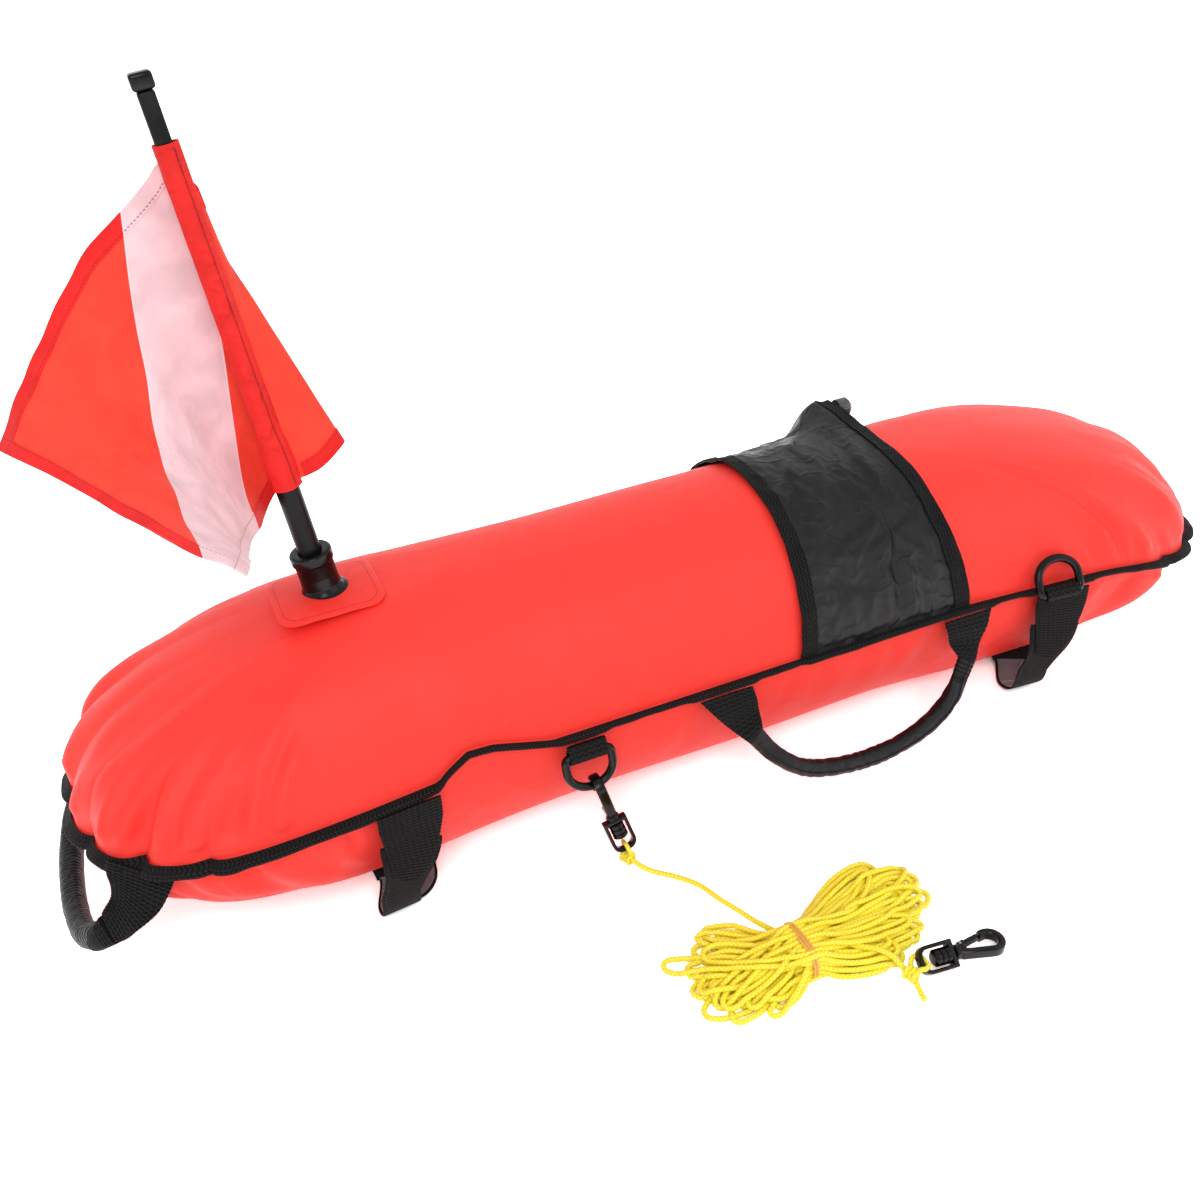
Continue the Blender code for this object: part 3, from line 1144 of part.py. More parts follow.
def build_line():
    """Make the line's free ends, its knots, the wound hank and the band round its waist."""
    look = (YELLOW, 0.7)
    rows = [hank_section(*station) for station in HANK_STATIONS]

    def build(shape):
        lines = strips(shape, rows, closed=True)
        shape.faces.new(lines[0][::-1])
        shape.faces.new(lines[-1])
    hank = place("rope_hank", mesh_from("rope_hank", build), look)
    smooth_shading(hank, 60)
    waist = min(HANK_STATIONS, key=lambda station: abs(station[0] - BAND_STATION))
    length = (Vector(HANK_SPINE[1]) - Vector(HANK_SPINE[0])).length
    reach = BAND_WIDTH / 2 / length
    loops = []
    for share, grow in ((BAND_STATION - reach, SEAT), (BAND_STATION - reach, SEAT + BAND_WALL),
                        (BAND_STATION + reach, SEAT + BAND_WALL), (BAND_STATION + reach, SEAT)):
        loops.append(hank_section(share, waist[1], waist[2], grow))
    loops.append(loops[0])
    place("hank_band", mesh_from("hank_band", lambda shape: strips(shape, loops, closed=True)), look)
    place("rope_lead", curve_tube("rope_lead", smooth_route(LEAD_ROUTE, 24), ROPE_RADIUS), look)
    place("rope_tail", curve_tube("rope_tail", smooth_route(TAIL_ROUTE, 5), ROPE_RADIUS), look)
    for name, centre, along in (("knot_1", KNOT_1, KNOT_1_ALONG), ("knot_2", KNOT_2, KNOT_2_ALONG)):
        half = KNOT_LENGTH / 2
        profile = [(0.0, half), (KNOT_RADIUS * 0.6, half), (KNOT_RADIUS, half * 0.55), (KNOT_RADIUS * 0.9, 0.0),
                   (KNOT_RADIUS, -half * 0.55), (KNOT_RADIUS * 0.6, -half), (0.0, -half)]
        turned(name, profile, 14, look, axes_frame(centre, (0, 0, 1), along))


UPRIGHT = Matrix(((1, 0, 0), (0, 0, -1), (0, 1, 0))).to_4x4()
clear_scene()
PARTS = new_collection("dive_float_buoy")
CUTTERS = new_collection("cutters")
build_panel("upper_panel", 1)
build_panel("lower_panel", -1)
build_binding()
build_bladder()
build_valve()
build_patch()
build_socket()
build_pole()
build_flag()
build_cover()
build_rings()
build_handle()
build_end_handle()
build_strap("left", STRAP_LEFT_X)
build_strap("right", STRAP_RIGHT_X)
build_hook(1, HOOK_1_TAIL, HOOK_1_TOP, EYE_TURN_1)
build_hook(2, HOOK_2_TAIL, HOOK_2_TOP, EYE_TURN_2)
build_line()
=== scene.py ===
"""Dive float buoy: fabric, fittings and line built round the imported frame.

Units are metres. +X runs along the float to its plain end, -Y is the side with the carry handle, +Z is up.
"""

import math
import random

import bmesh
import bpy
import numpy as np
from mathutils import Matrix, Vector, noise


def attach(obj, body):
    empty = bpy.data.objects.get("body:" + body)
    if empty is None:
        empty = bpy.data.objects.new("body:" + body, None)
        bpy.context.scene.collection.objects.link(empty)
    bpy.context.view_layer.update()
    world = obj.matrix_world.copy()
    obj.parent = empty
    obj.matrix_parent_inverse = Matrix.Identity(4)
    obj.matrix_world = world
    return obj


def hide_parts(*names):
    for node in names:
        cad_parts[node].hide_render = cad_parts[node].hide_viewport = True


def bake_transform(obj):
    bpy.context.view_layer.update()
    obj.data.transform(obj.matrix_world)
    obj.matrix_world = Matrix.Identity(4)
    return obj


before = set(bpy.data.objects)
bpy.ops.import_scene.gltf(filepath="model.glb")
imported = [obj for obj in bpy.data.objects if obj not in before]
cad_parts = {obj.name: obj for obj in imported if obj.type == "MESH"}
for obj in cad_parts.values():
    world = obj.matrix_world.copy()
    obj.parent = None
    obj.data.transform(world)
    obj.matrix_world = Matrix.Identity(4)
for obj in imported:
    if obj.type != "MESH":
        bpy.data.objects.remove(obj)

bl_info = {
    "name": "Dive Float Buoy",
    "version": (1, 0, 0),
    "blender": (4, 5, 0),
    "location": "View3D > Sidebar > Dive Float",
    "description": "Builds the fabric, fittings and line of an inflated dive float round its packed frame",
    "category": "Add Mesh",
}

# Body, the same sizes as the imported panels
HALF_LENGTH = 0.442
BODY_RADIUS = 0.101
AXIS_HEIGHT = 0.097
MIDDLE_HALF_WIDTH = 0.101
END_HALF_WIDTH = 0.114
WAIST_HALF = 0.150
CORNER_START = 0.330
SPINE_HALF = 0.150
CORNER_POWER = 2.2
CROWN_POWER = 2.1
FLANGE = 0.0072
EDGE_GAP = 0.00095
PANEL_WALL = 0.0008
PLEAT_FIRST = 3
PLEAT_EVERY = 4
PLEATS = 7
PLEAT_DEPTH = 0.008
PLEAT_SWELL = 0.0038
PLEAT_STRENGTH = {1: (0.55, 1.1, 0.8, 0.9, 0.5, 0.2, 0.1), -1: (0.55, 1.25, 0.75, 1.0, 0.65, 1.1, 0.6)}
END_STEPS = 30
END_SAMPLES = 150
SIDE_SAMPLES = 190
CROWN_SAMPLES = 46
SEAM_DROOP = 0.016
SEAM_RISE = ((-0.2200, 0.0), (-0.2135, 0.0055), (-0.198, 0.0145), (-0.180, 0.0125), (-0.160, 0.006), (-0.140, 0.0))
TOP_DROP = ((0.12, 0.0), (0.19, 0.050), (0.24, 0.074), (0.30, 0.076), (0.36, 0.080), (0.42, 0.085))
BELLY_RISE = ((0.285, 0.0), (0.33, 0.09), (0.38, 0.24), (0.42, 0.34))

# Folds of the skins: a crease is its place along the float, half width, depth, reach and slant
PUCKERS = 260
CREASES = (
    (0.318, 0.0034, 0.0034, 0.62, 0.006), (-0.331, 0.0042, 0.0046, 0.55, -0.012),
    (-0.384, 0.0040, 0.0036, 0.36, -0.010), (-0.418, 0.0034, 0.0030, 0.50, 0.004),
    (0.268, 0.0012, 0.0008, 0.11, 0.0), (0.277, 0.0013, 0.0010, 0.14, 0.002),
    (0.286, 0.0012, 0.0009, 0.11, 0.0), (0.294, 0.0014, 0.0011, 0.15, -0.002),
    (0.302, 0.0012, 0.0008, 0.10, 0.0), (0.226, 0.0014, 0.0009, 0.13, 0.003),
    (0.212, 0.0016, 0.0008, 0.10, 0.0), (-0.175, 0.0018, 0.0014, 0.16, 0.004),
    (-0.262, 0.0022, 0.0013, 0.12, -0.010))
FOLD_HEIGHT = 0.0012
SMOOTH_ABOVE = ((0.046, 0.200), (-0.290, -0.212))
SMOOTH_BELOW = ((-0.268, -0.218), (0.236, 0.286))
MERGE = 0.00002
FINE_MERGE = 0.00001

# Webbing and the tape round the seam
WEBBING_WALL = 0.0016
RIB_WIDE = 0.0032
RIB_NARROW = 0.0022
RIB_DEPTH = 0.00050
HANG_OUT = 0.0013
HANG_HEIGHT = 0.09405
TAPE_WALL = 0.0006
TAPE_GAP = 0.0003
TAPE_START = 0.0014
NARROW_TAPE = 0.66
BROAD_TAPE = ((-0.400, -0.222), (-0.135, -0.104), (-0.038, 0.008), (0.052, 0.205), (0.236, 0.288))

# Patch, socket and pole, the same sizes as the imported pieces
PATCH_LENGTH = 0.070
PATCH_WIDTH = 0.066
PATCH_CORNER = 0.010
PATCH_WALL = 0.0011
SOCKET_FLANGE = 0.0170
SOCKET_BARREL = 0.0128
SOCKET_LIP = 0.0140
SOCKET_HEIGHT = 0.0340
POLE_BASE = Vector((-0.251, 0.0, 0.19456))
POLE_LEAN = math.radians(5.4)
TUBE_RADIUS = 0.0076
TUBE_TOP = 0.1080
ROD_RADIUS = 0.0044
ROD_FOOT = 0.0680
ROD_TOP = 0.3230
ROD_WIDTH = 0.0096
ROD_DEPTH = 0.0084
ROD_END = ROD_TOP - 0.0035
POLE_GAP = 0.0003
KNOB_SIZE = (0.0126, 0.0116, 0.0092)

# Flag and its sleeve; an edge of the stripe is its start, slope and bend
SLEEVE_BOTTOM = 0.0810
SLEEVE_TOP = 0.2920
SLEEVE_SEAM = math.radians(-52)
CLOTH_WALL = 0.0004
FLAG_TOP = ((-0.2832, 0.0118, 0.4738), (-0.2911, 0.0118, 0.4666), (-0.3015, 0.0110, 0.4583),
            (-0.3148, 0.0125, 0.4485), (-0.3309, 0.0145, 0.4368), (-0.3455, 0.0145, 0.4218),
            (-0.3605, 0.0130, 0.4059), (-0.3743, 0.0125, 0.3905), (-0.3855, 0.0115, 0.3768),
            (-0.3951, 0.0080, 0.3610), (-0.4060, 0.0000, 0.3379))
FLAG_BOTTOM = ((-0.2673, 0.0130, 0.2646), (-0.2762, 0.0040, 0.2575), (-0.2894, -0.0600, 0.2703),
               (-0.3041, -0.1830, 0.3126))
FLAG_COLUMNS = 170
FLAG_ROWS = 110
FLAG_FLY = 0.262
FLAG_HOIST = 0.198
FLAG_HEM = 0.0105
STITCH_IN = 0.0012
STITCH_PITCH = 0.0030
STRIPE_EDGES = ((0.034, 0.26, 4.0), (0.078, 0.62, 17.3))

# Valve and its cover; a fold is the share and across value of both its ends, its width and its depth
VALVE = Vector((0.155, 0.0491, 0.18735))
COVER_LEFT = 0.056
COVER_RIGHT = 0.184
COVER_LEFT_FLARE = 0.008
COVER_RIGHT_EDGE = ((-1.0, 0.187), (-0.8, 0.1835), (-0.5, 0.1770), (-0.2, 0.1735), (0.12, 0.1725), (0.31, 0.1705),
                    (0.50, 0.1740), (0.8, 0.1820), (1.0, 0.187))
COVER_LENGTH = 0.159
COVER_SEAM = 0.992
COVER_TENT = 0.0235
COVER_LIFT = 0.0006
COVER_ROWS = 150
COVER_COLUMNS = 72
HEM_WIDTH = 0.0108
COVER_RIDGES = (
    (0.584, 0.208, 0.270, -0.103, 0.0050, 0.0026), (0.270, -0.103, 0.079, -0.255, 0.0045, 0.0022),
    (0.596, 0.073, 0.281, -0.415, 0.0060, 0.0014), (0.685, 0.017, 0.629, -0.119, 0.0018, 0.0010),
    (0.629, -0.231, 0.730, -0.351, 0.0022, 0.0011), (0.584, -0.479, 0.528, -0.543, 0.0020, 0.0014),
    (0.528, -0.543, 0.393, -0.614, 0.0024, 0.0014), (0.685, -0.543, 0.596, -0.702, 0.0030, -0.0026),
    (0.596, -0.702, 0.596, -0.930, 0.0032, -0.0032), (0.720, -0.600, 0.668, -0.760, 0.0050, 0.0026),
    (0.668, -0.760, 0.668, -0.940, 0.0050, 0.0030), (0.520, -0.720, 0.510, -0.940, 0.0042, 0.0024),
    (0.800, -0.530, 0.865, -0.678, 0.0030, 0.0015), (0.865, -0.591, 0.843, -0.806, 0.0030, 0.0013),
    (0.270, -0.583, 0.404, -0.630, 0.0028, 0.0017), (0.236, -0.654, 0.236, -0.780, 0.0025, -0.0016),
    (0.303, -0.840, 0.320, -0.985, 0.0022, 0.0014), (0.416, -0.830, 0.400, -0.985, 0.0022, 0.0015),
    (0.180, -0.860, 0.200, -0.985, 0.0024, 0.0012), (0.760, -0.860, 0.750, -0.985, 0.0024, 0.0014),
    (0.101, -0.295, 0.191, -0.231, 0.0016, 0.0014), (0.045, -0.071, 0.112, -0.111, 0.0020, 0.0012),
    (0.860, 0.330, 0.480, 0.640, 0.0050, 0.0022), (0.900, 0.360, 0.800, 0.760, 0.0048, 0.0024),
    (0.760, 0.300, 0.260, 0.420, 0.0046, 0.0020), (0.400, 0.800, 0.420, 0.985, 0.0030, 0.0014),
    (0.640, 0.820, 0.620, 0.985, 0.0030, 0.0014))
COVER_STEPS = (
    (0.270, -0.103, 0.169, -0.463, 0.0022, 0.0012), (0.798, 0.065, 0.730, -0.095, 0.0016, 0.0012),
    (0.730, -0.095, 0.719, -0.335, 0.0020, 0.0014), (0.348, -0.543, 0.584, -0.479, 0.0012, -0.0016),
    (0.472, -0.598, 0.685, -0.543, 0.0013, -0.0016), (0.685, -0.543, 0.787, -0.511, 0.0014, -0.0013),
    (0.056, -0.519, 0.348, -0.543, 0.0030, -0.0014), (0.034, 0.193, 0.472, 0.121, 0.0026, -0.0014),
    (0.150, -0.700, 0.480, -0.800, 0.0022, -0.0011), (0.300, 0.560, 0.760, 0.640, 0.0026, 0.0014))

# Carry handle: its edges and its grip as places along the float and drops from the seam
HANDLE_TOP = (-0.1104, 0.09405)
HANDLE_LEAN = math.radians(17.5)
LEFT_FLARE_OUTER = ((-0.0350, -0.0014), (-0.0240, 0.0150), (-0.0130, 0.0290), (-0.0057, 0.0380))
LEFT_FLARE_INNER = ((0.0050, -0.0014), (0.0062, 0.0100), (0.0068, 0.0200), (0.0057, 0.0300))
RIGHT_FLARE_OUTER = ((0.2030, -0.0006), (0.1955, 0.0130), (0.1875, 0.0260), (0.1807, 0.0358))
RIGHT_FLARE_INNER = ((0.1630, -0.0006), (0.1633, 0.0090), (0.1655, 0.0185), (0.1693, 0.0278))
GRIP_ROUTE = ((0.001, 0.036), (0.012, 0.052), (0.032, 0.069), (0.066, 0.078), (0.104, 0.078), (0.138, 0.069),
              (0.160, 0.054), (0.174, 0.034))

# End handle
END_HANDLE_WEBBING = 0.0450
END_CORNER_X = 0.0360 - HALF_LENGTH
END_CORNER_Y = 0.0915
END_GRIP_RADIUS = 0.0085
END_WEBBING_BENDS = ((0.0280 - HALF_LENGTH, -0.0950, 0.0800), (0.0150 - HALF_LENGTH, -0.0945, 0.0650))
END_GRIP_ROUTE = ((-HALF_LENGTH, -0.0830, 0.0480), (-HALF_LENGTH - 0.0100, -0.0660, 0.0400),
                  (-HALF_LENGTH - 0.0160, -0.0360, 0.0340))
END_GRIP_MIDDLE = (-HALF_LENGTH - 0.0180, 0.0, 0.0320)

# Rod straps
STRAP_WIDTH = 0.0430
STRAP_LEFT_X = -0.243
STRAP_RIGHT_X = 0.2610
STRAP_TAB_DROP = 0.0540
STRAP_TAB_CUT = ((0.0, 0.0), (0.25, 0.0), (0.55, 0.0035), (0.80, 0.0075), (0.93, 0.0110), (0.98, 0.0140),
                 (1.0, 0.0175))
STRAP_DRIFT = {"left": -0.0105, "right": -0.0110}
STRAP_SEWN = (0.0680, 0.0620, 0.0560)
STRAP_LOOP = ((0.0400, 0.0034), (0.0240, 0.0024), (0.0110, 0.0075), (0.0035, 0.0220), (0.0, 0.0400), (0.0, 0.0660))

# D-rings: each one's place, bar direction, lift, tab height and tab turn
RING_WIRE = 0.0030
RING_WIDTH = 0.0390
RING_HEIGHT = 0.0312
TAB_WIDTH = 0.0270
RINGS = (
    ((-0.1195, -0.11044, 0.08585), (0.99999, 0.00417, 0.0), math.radians(9), 0.0090, 0.0),
    ((0.25443, -0.12389, 0.0990), (0.99461, -0.10365, 0.0), math.radians(208), 0.0065, -math.pi / 2))

# Snap hooks
HOOK_PARTS = ("frame", "gate", "eye", "pin")
HOOK_1_TAIL = (-0.10645, -0.13088, 0.0124)
HOOK_1_ALONG = (-0.19809, 0.32903, 0.92331)
HOOK_1_UP = (-0.06902, -0.94432, 0.32171)
HOOK_2_TAIL = (0.0078, -0.3052, 0.0104)
HOOK_2_ALONG = (0.99438, -0.04735, -0.0947)
HOOK_2_UP = (-0.04714, -0.99888, 0.00449)

# Line and its hank; a fan holds bearings in degrees, and a reach the length of a loop at a bearing
ROPE_RADIUS = 0.00175
ROPE_STEP = 0.0026
ROPE_ROUNDS = 260
HANK_WAIST = (-0.0490, -0.2640)
HANK_TURN = math.radians(1.5)
HANK_TIE = 0.008
HANK_STEP = 0.0038
HANK_LANES = 10
HANK_LAYERS = 6
LEAD_POINTS = 60
TAIL_POINTS = 24
HANK_TOP = 0.0250
HANK_FRONT = -0.3000
HANK_LEFT = -0.1460
HANK_RIGHT = 0.0800
RIGHT_FAN = (29, 18, 6, -8, -21)
RIGHT_REACH = ((-41, 0.064), (-26, 0.086), (-16, 0.107), (-4, 0.124), (11, 0.140), (18, 0.144), (30, 0.130))
RIGHT_HALF = (0.0140, 0.0190)
LEFT_FAN = (-48, 6, 25, -22, 33, -36, 16, -10, 0, -55)
LEFT_REACH = ((-58, 0.100), (-32, 0.101), (-11, 0.100), (11, 0.098), (34, 0.078), (44, 0.064))
LEFT_HALF = (0.016, 0.029)
FREE_LOOP = (24, -27.0, 0.128, 0.0170)
TIE_TURNS = 2
KNOT_1 = (-0.1070, -0.1325, 0.0063)
KNOT_1_ALONG = (0.3162, -0.9487, 0.0)
KNOT_2 = (0.0017, -0.3070, 0.0062)
KNOT_2_ALONG = (0.3520, -0.9360, 0.0)
LEAD_ROUTE = ((-0.1052, -0.1376, 0.0062), (-0.1025, -0.1428, 0.0042), (-0.0960, -0.1500, 0.0020),
              (-0.0862, -0.1599, 0.0019), (-0.0749, -0.1752, 0.0019), (-0.0683, -0.1949, 0.0019),
              (-0.0598, -0.2160, 0.0019), (-0.0562, -0.2300, 0.0028))
TAIL_ROUTE = ((0.0001, -0.3020, 0.0062), (-0.0008, -0.2980, 0.0070), (-0.0014, -0.2927, 0.0091))
STUB_ROUTE = ((0.0017, -0.3080, 0.0062), (0.0014, -0.3125, 0.0040), (0.0006, -0.3175, 0.0022),
              (-0.0006, -0.3240, 0.0019))

# Colours, linear
BODY_RED = (0.96, 0.042, 0.030)
PATCH_RED = (0.94, 0.038, 0.028)
FLAG_RED = (0.96, 0.060, 0.034)
HEM_RED = (0.84, 0.018, 0.016)
SLEEVE_RED = (0.80, 0.024, 0.020)
STRIPE_WHITE = (0.92, 0.65, 0.69)
STRIPE_BORDER = (0.97, 0.90, 0.91)
COVER_BLACK = (0.0075, 0.0070, 0.0085)
WEB_BLACK = (0.0036, 0.0034, 0.0034)
PLASTIC_BLACK = (0.0022, 0.0022, 0.0024)
POLE_BLACK = (0.0026, 0.0026, 0.0028)
RUBBER_BLACK = (0.016, 0.016, 0.016)
PILE_GREY = (0.13, 0.115, 0.125)
STITCH_RED = (0.34, 0.018, 0.016)
THREAD_GREY = (0.05, 0.05, 0.05)
BLADDER_TONE = (0.55, 0.10, 0.08)
ROPE_YELLOW = (1.0, 0.88, 0.055)
# Painted shade of the rope braid's valleys
ROPE_SHADE = (1.0, 0.50, 0.010)
ROPE_TRACER = (0.90, 0.50, 0.02)
TIE_COLOUR = (1.0, 0.48, 0.10)

# Stage
FLOOR_SIZE = 40.0
FLOOR_SHADE = (0.72, 0.72, 0.72)
FLOOR_SEEN = (2.4, 2.4, 2.4)
ROOM_LIGHT = 0.86
LIGHT_AIM = (0.0, -0.05, 0.08)
LIGHTS = (("key", (-0.7, -1.9, 1.6), 1.3, 20.0), ("fill", (1.5, -1.5, 1.1), 1.6, 6.0))
CAMERA_PLACE = (-0.325, -0.748, 0.601)
CAMERA_RIGHT = (0.918, -0.385, -0.094)
CAMERA_UP = (0.273, 0.443, 0.854)
CAMERA_AHEAD = (0.287, 0.810, -0.512)
LENS = 37.917


def deselect():
    """Deselect everything, because an operator acts on all that is selected."""
    bpy.ops.object.select_all(action="DESELECT")


def make_active(item):
    """Select one object alone and make it active."""
    deselect()
    item.select_set(True)
    bpy.context.view_layer.objects.active = item


def apply_modifiers(item):
    """Apply an object's modifiers in order."""
    make_active(item)
    for name in [modifier.name for modifier in item.modifiers]:
        bpy.ops.object.modifier_apply(modifier=name)


def link_mesh(name, vertices, faces, material, uvs=None):
    """Return a new object from plain vertex and face lists; uvs holds one pair for each corner."""
    mesh = bpy.data.meshes.new(name)
    mesh.from_pydata([tuple(point) for point in vertices], [], faces)
    if uvs is not None:
        layer = mesh.uv_layers.new(name="UVMap")
        layer.data.foreach_set("uv", np.asarray(uvs, dtype=float).ravel())
    mesh.materials.append(material)
    item = bpy.data.objects.new(name, mesh)
    bpy.context.scene.collection.objects.link(item)
    return item


def smooth(item, angle=None):
    """Shade an object smooth, up to an angle between faces where one is given."""
    make_active(item)
    if angle is None:
        bpy.ops.object.shade_smooth()
    else:
        bpy.ops.object.shade_smooth_by_angle(angle=math.radians(angle))


def cloth_grid(name, rows, material, closed=False, uv=None, flip=False):
    """Return a sheet from rows of points, with its UV map in metres along the columns and down the rows."""
    rows = np.asarray(rows, dtype=float)
    count, width = rows.shape[:2]
    if uv is None:
        along = np.zeros((count, width))
        down = np.zeros((count, width))
        along[:, 1:] = np.cumsum(np.linalg.norm(np.diff(rows, axis=1), axis=2), axis=1)
        down[1:] = np.cumsum(np.linalg.norm(np.diff(rows, axis=0), axis=2), axis=0)
        uv = np.stack((along, down), axis=2)
    faces = []
    corners = []
    columns = width if closed else width - 1
    seam = np.linalg.norm(rows[:, 0] - rows[:, -1], axis=1) if closed else None
    for row in range(count - 1):
        for column in range(columns):
            after = (column + 1) % width
            quad = [(row, column), (row, after), (row + 1, after), (row + 1, column)]
            if flip:
                quad.reverse()
            faces.append([r * width + c for r, c in quad])
            for r, c in quad:
                if closed and after == 0 and c == 0:
                    corners.append((uv[r, -1, 0] + seam[r], uv[r, -1, 1]))
                else:
                    corners.append(uv[r, c])
    item = link_mesh(name, rows.reshape(-1, 3), faces, material, corners)
    smooth(item)
    return item


def thicken(item, wall, offset):
    """Give a sheet its wall, inwards from it at -1, outwards at 1 and to both sides at 0."""
    modifier = item.modifiers.new("wall", "SOLIDIFY")
    modifier.thickness = wall
    modifier.offset = offset
    apply_modifiers(item)
    return item


def sweep_frames(points):
    """Return sides and normals that turn as little as possible along a line."""
    tangents = unit_rows(np.gradient(points, axis=0))
    side = np.cross((0.0, 0.0, 1.0), tangents[0])
    if np.linalg.norm(side) < 0.05:
        side = np.cross((1.0, 0.0, 0.0), tangents[0])
    sides = []
    for tangent in tangents:
        side = side - tangent * np.dot(side, tangent)
        side = side / np.linalg.norm(side)
        sides.append(side)
    sides = np.array(sides)
    return sides, np.cross(tangents, sides)


def tube(name, points, radius, material, around=10):
    """Return a round closed tube along a line; its UV map runs round it from 0 to 1 and along it in metres."""
    points = np.asarray(points, dtype=float)
    sides, normals = sweep_frames(points)
    length = distances(points)
    vertices, faces, corners = [], [], []
    for index, point in enumerate(points):
        for step in range(around):
            angle = 2 * math.pi * step / around
            spoke = sides[index] * math.cos(angle) + normals[index] * math.sin(angle)
            vertices.append(point + spoke * radius)
    for index in range(len(points) - 1):
        for step in range(around):
            after = (step + 1) % around
            base, above = index * around, (index + 1) * around
            faces.append((base + step, base + after, above + after, above + step))
            low, high = step / around, (step + 1) / around
            near, far = length[index], length[index + 1]
            corners += [(low, near), (high, near), (high, far), (low, far)]
    for index, order in ((0, -1), (len(points) - 1, 1)):
        ring = [index * around + step for step in range(around)][::order]
        faces.append(ring)
        corners += [(0.5, length[index])] * around
    item = link_mesh(name, vertices, faces, material, corners)
    smooth(item, 50)
    return item


def smooth_line(points, spacing=None, count=None):
    """Return a centripetal curve through points, evenly spaced."""
    points = [np.asarray(point, dtype=float) for point in points]
    knots = [2 * points[0] - points[1], *points, 2 * points[-1] - points[-2]]
    dense = []
    for index in range(1, len(knots) - 2):
        p0, p1, p2, p3 = knots[index - 1:index + 3]
        steps = [max(np.linalg.norm(b - a), 1e-6) ** 0.5 for a, b in ((p0, p1), (p1, p2), (p2, p3))]
        t1, t2, t3 = np.cumsum(steps)
        for step in range(12):
            t = t1 + (t2 - t1) * step / 12
            a1 = p0 * (t1 - t) / t1 + p1 * t / t1
            a2 = p1 * (t2 - t) / (t2 - t1) + p2 * (t - t1) / (t2 - t1)
            a3 = p2 * (t3 - t) / (t3 - t2) + p3 * (t - t2) / (t3 - t2)
            b1 = a1 * (t2 - t) / t2 + a2 * t / t2
            b2 = a2 * (t3 - t) / (t3 - t1) + a3 * (t - t1) / (t3 - t1)
            dense.append(b1 * (t2 - t) / (t2 - t1) + b2 * (t - t1) / (t2 - t1))
    dense.append(points[-1])
    return evenly(np.array(dense), spacing, count)


def evenly(line, spacing=None, count=None):
    """Return a line resampled at even steps."""
    line = np.asarray(line, dtype=float)
    length = distances(line)
    if count is None:
        count = max(int(round(length[-1] / spacing)) + 1, 2)
    wanted = np.linspace(0.0, length[-1], count)
    return np.stack([np.interp(wanted, length, line[:, axis]) for axis in range(3)], axis=1)


def line_length(line):
    """Return a line's length."""
    return float(np.linalg.norm(np.diff(np.asarray(line), axis=0), axis=1).sum())


def axes_frame(origin, x_axis, z_axis):
    """Return a matrix from an origin, a rough local X and an exact local Z."""
    z = Vector(z_axis).normalized()
    y = z.cross(Vector(x_axis)).normalized()
    x = y.cross(z)
    placed = Matrix((x, y, z)).transposed().to_4x4()
    placed.translation = Vector(origin)
    return placed


def settle(item, matrix):
    """Put an object's place in its mesh and leave the object at the origin."""
    item.data.transform(matrix @ item.matrix_basis)
    item.matrix_basis = Matrix.Identity(4)
    return item


def clean(item, merge=0.0, outwards=False):
    """Merge an object's doubled vertices and turn its faces outwards, each where asked."""
    make_active(item)
    bpy.ops.object.mode_set(mode="EDIT")
    bpy.ops.mesh.select_all(action="SELECT")
    if merge:
        bpy.ops.mesh.remove_doubles(threshold=merge)
    if outwards:
        bpy.ops.mesh.normals_make_consistent(inside=False)
    bpy.ops.object.mode_set(mode="OBJECT")


def distances(line):
    """Return the distance along a line to each of its points."""
    return np.concatenate(([0.0], np.cumsum(np.linalg.norm(np.diff(line, axis=0), axis=1))))


def read_table(table, place):
    """Return a table's value at a place, with straight runs between its pairs."""
    return np.interp(place, *zip(*table))


def merged_copy(node, name, material, angle=35, bevel=0.0):
    """Return a merged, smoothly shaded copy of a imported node, with its edges rounded where asked."""
    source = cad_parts[node]
    item = bpy.data.objects.new(name, source.data.copy())
    bpy.context.scene.collection.objects.link(item)
    item.data.materials.clear()
    item.data.materials.append(material)
    make_active(item)
    bpy.ops.object.mode_set(mode="EDIT")
    bpy.ops.mesh.select_all(action="SELECT")
    bpy.ops.mesh.remove_doubles(threshold=MERGE)
    bpy.ops.mesh.tris_convert_to_quads(face_threshold=math.radians(4), shape_threshold=math.radians(60))
    bpy.ops.object.mode_set(mode="OBJECT")
    if bevel:
        modifier = item.modifiers.new("rounded edges", "BEVEL")
        modifier.width = bevel
        modifier.limit_method = "ANGLE"
        modifier.angle_limit = math.radians(angle)
        modifier.segments = 2
        apply_modifiers(item)
    smooth(item, angle)
    return item


def dress(item, body, slot, *nodes):
    """Make a piece ride on a body and stand for the nodes that it replaces, which are hidden; its slot is not
    used.
    """
    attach(item, body)
    if nodes:
        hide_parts(*nodes)
    return item


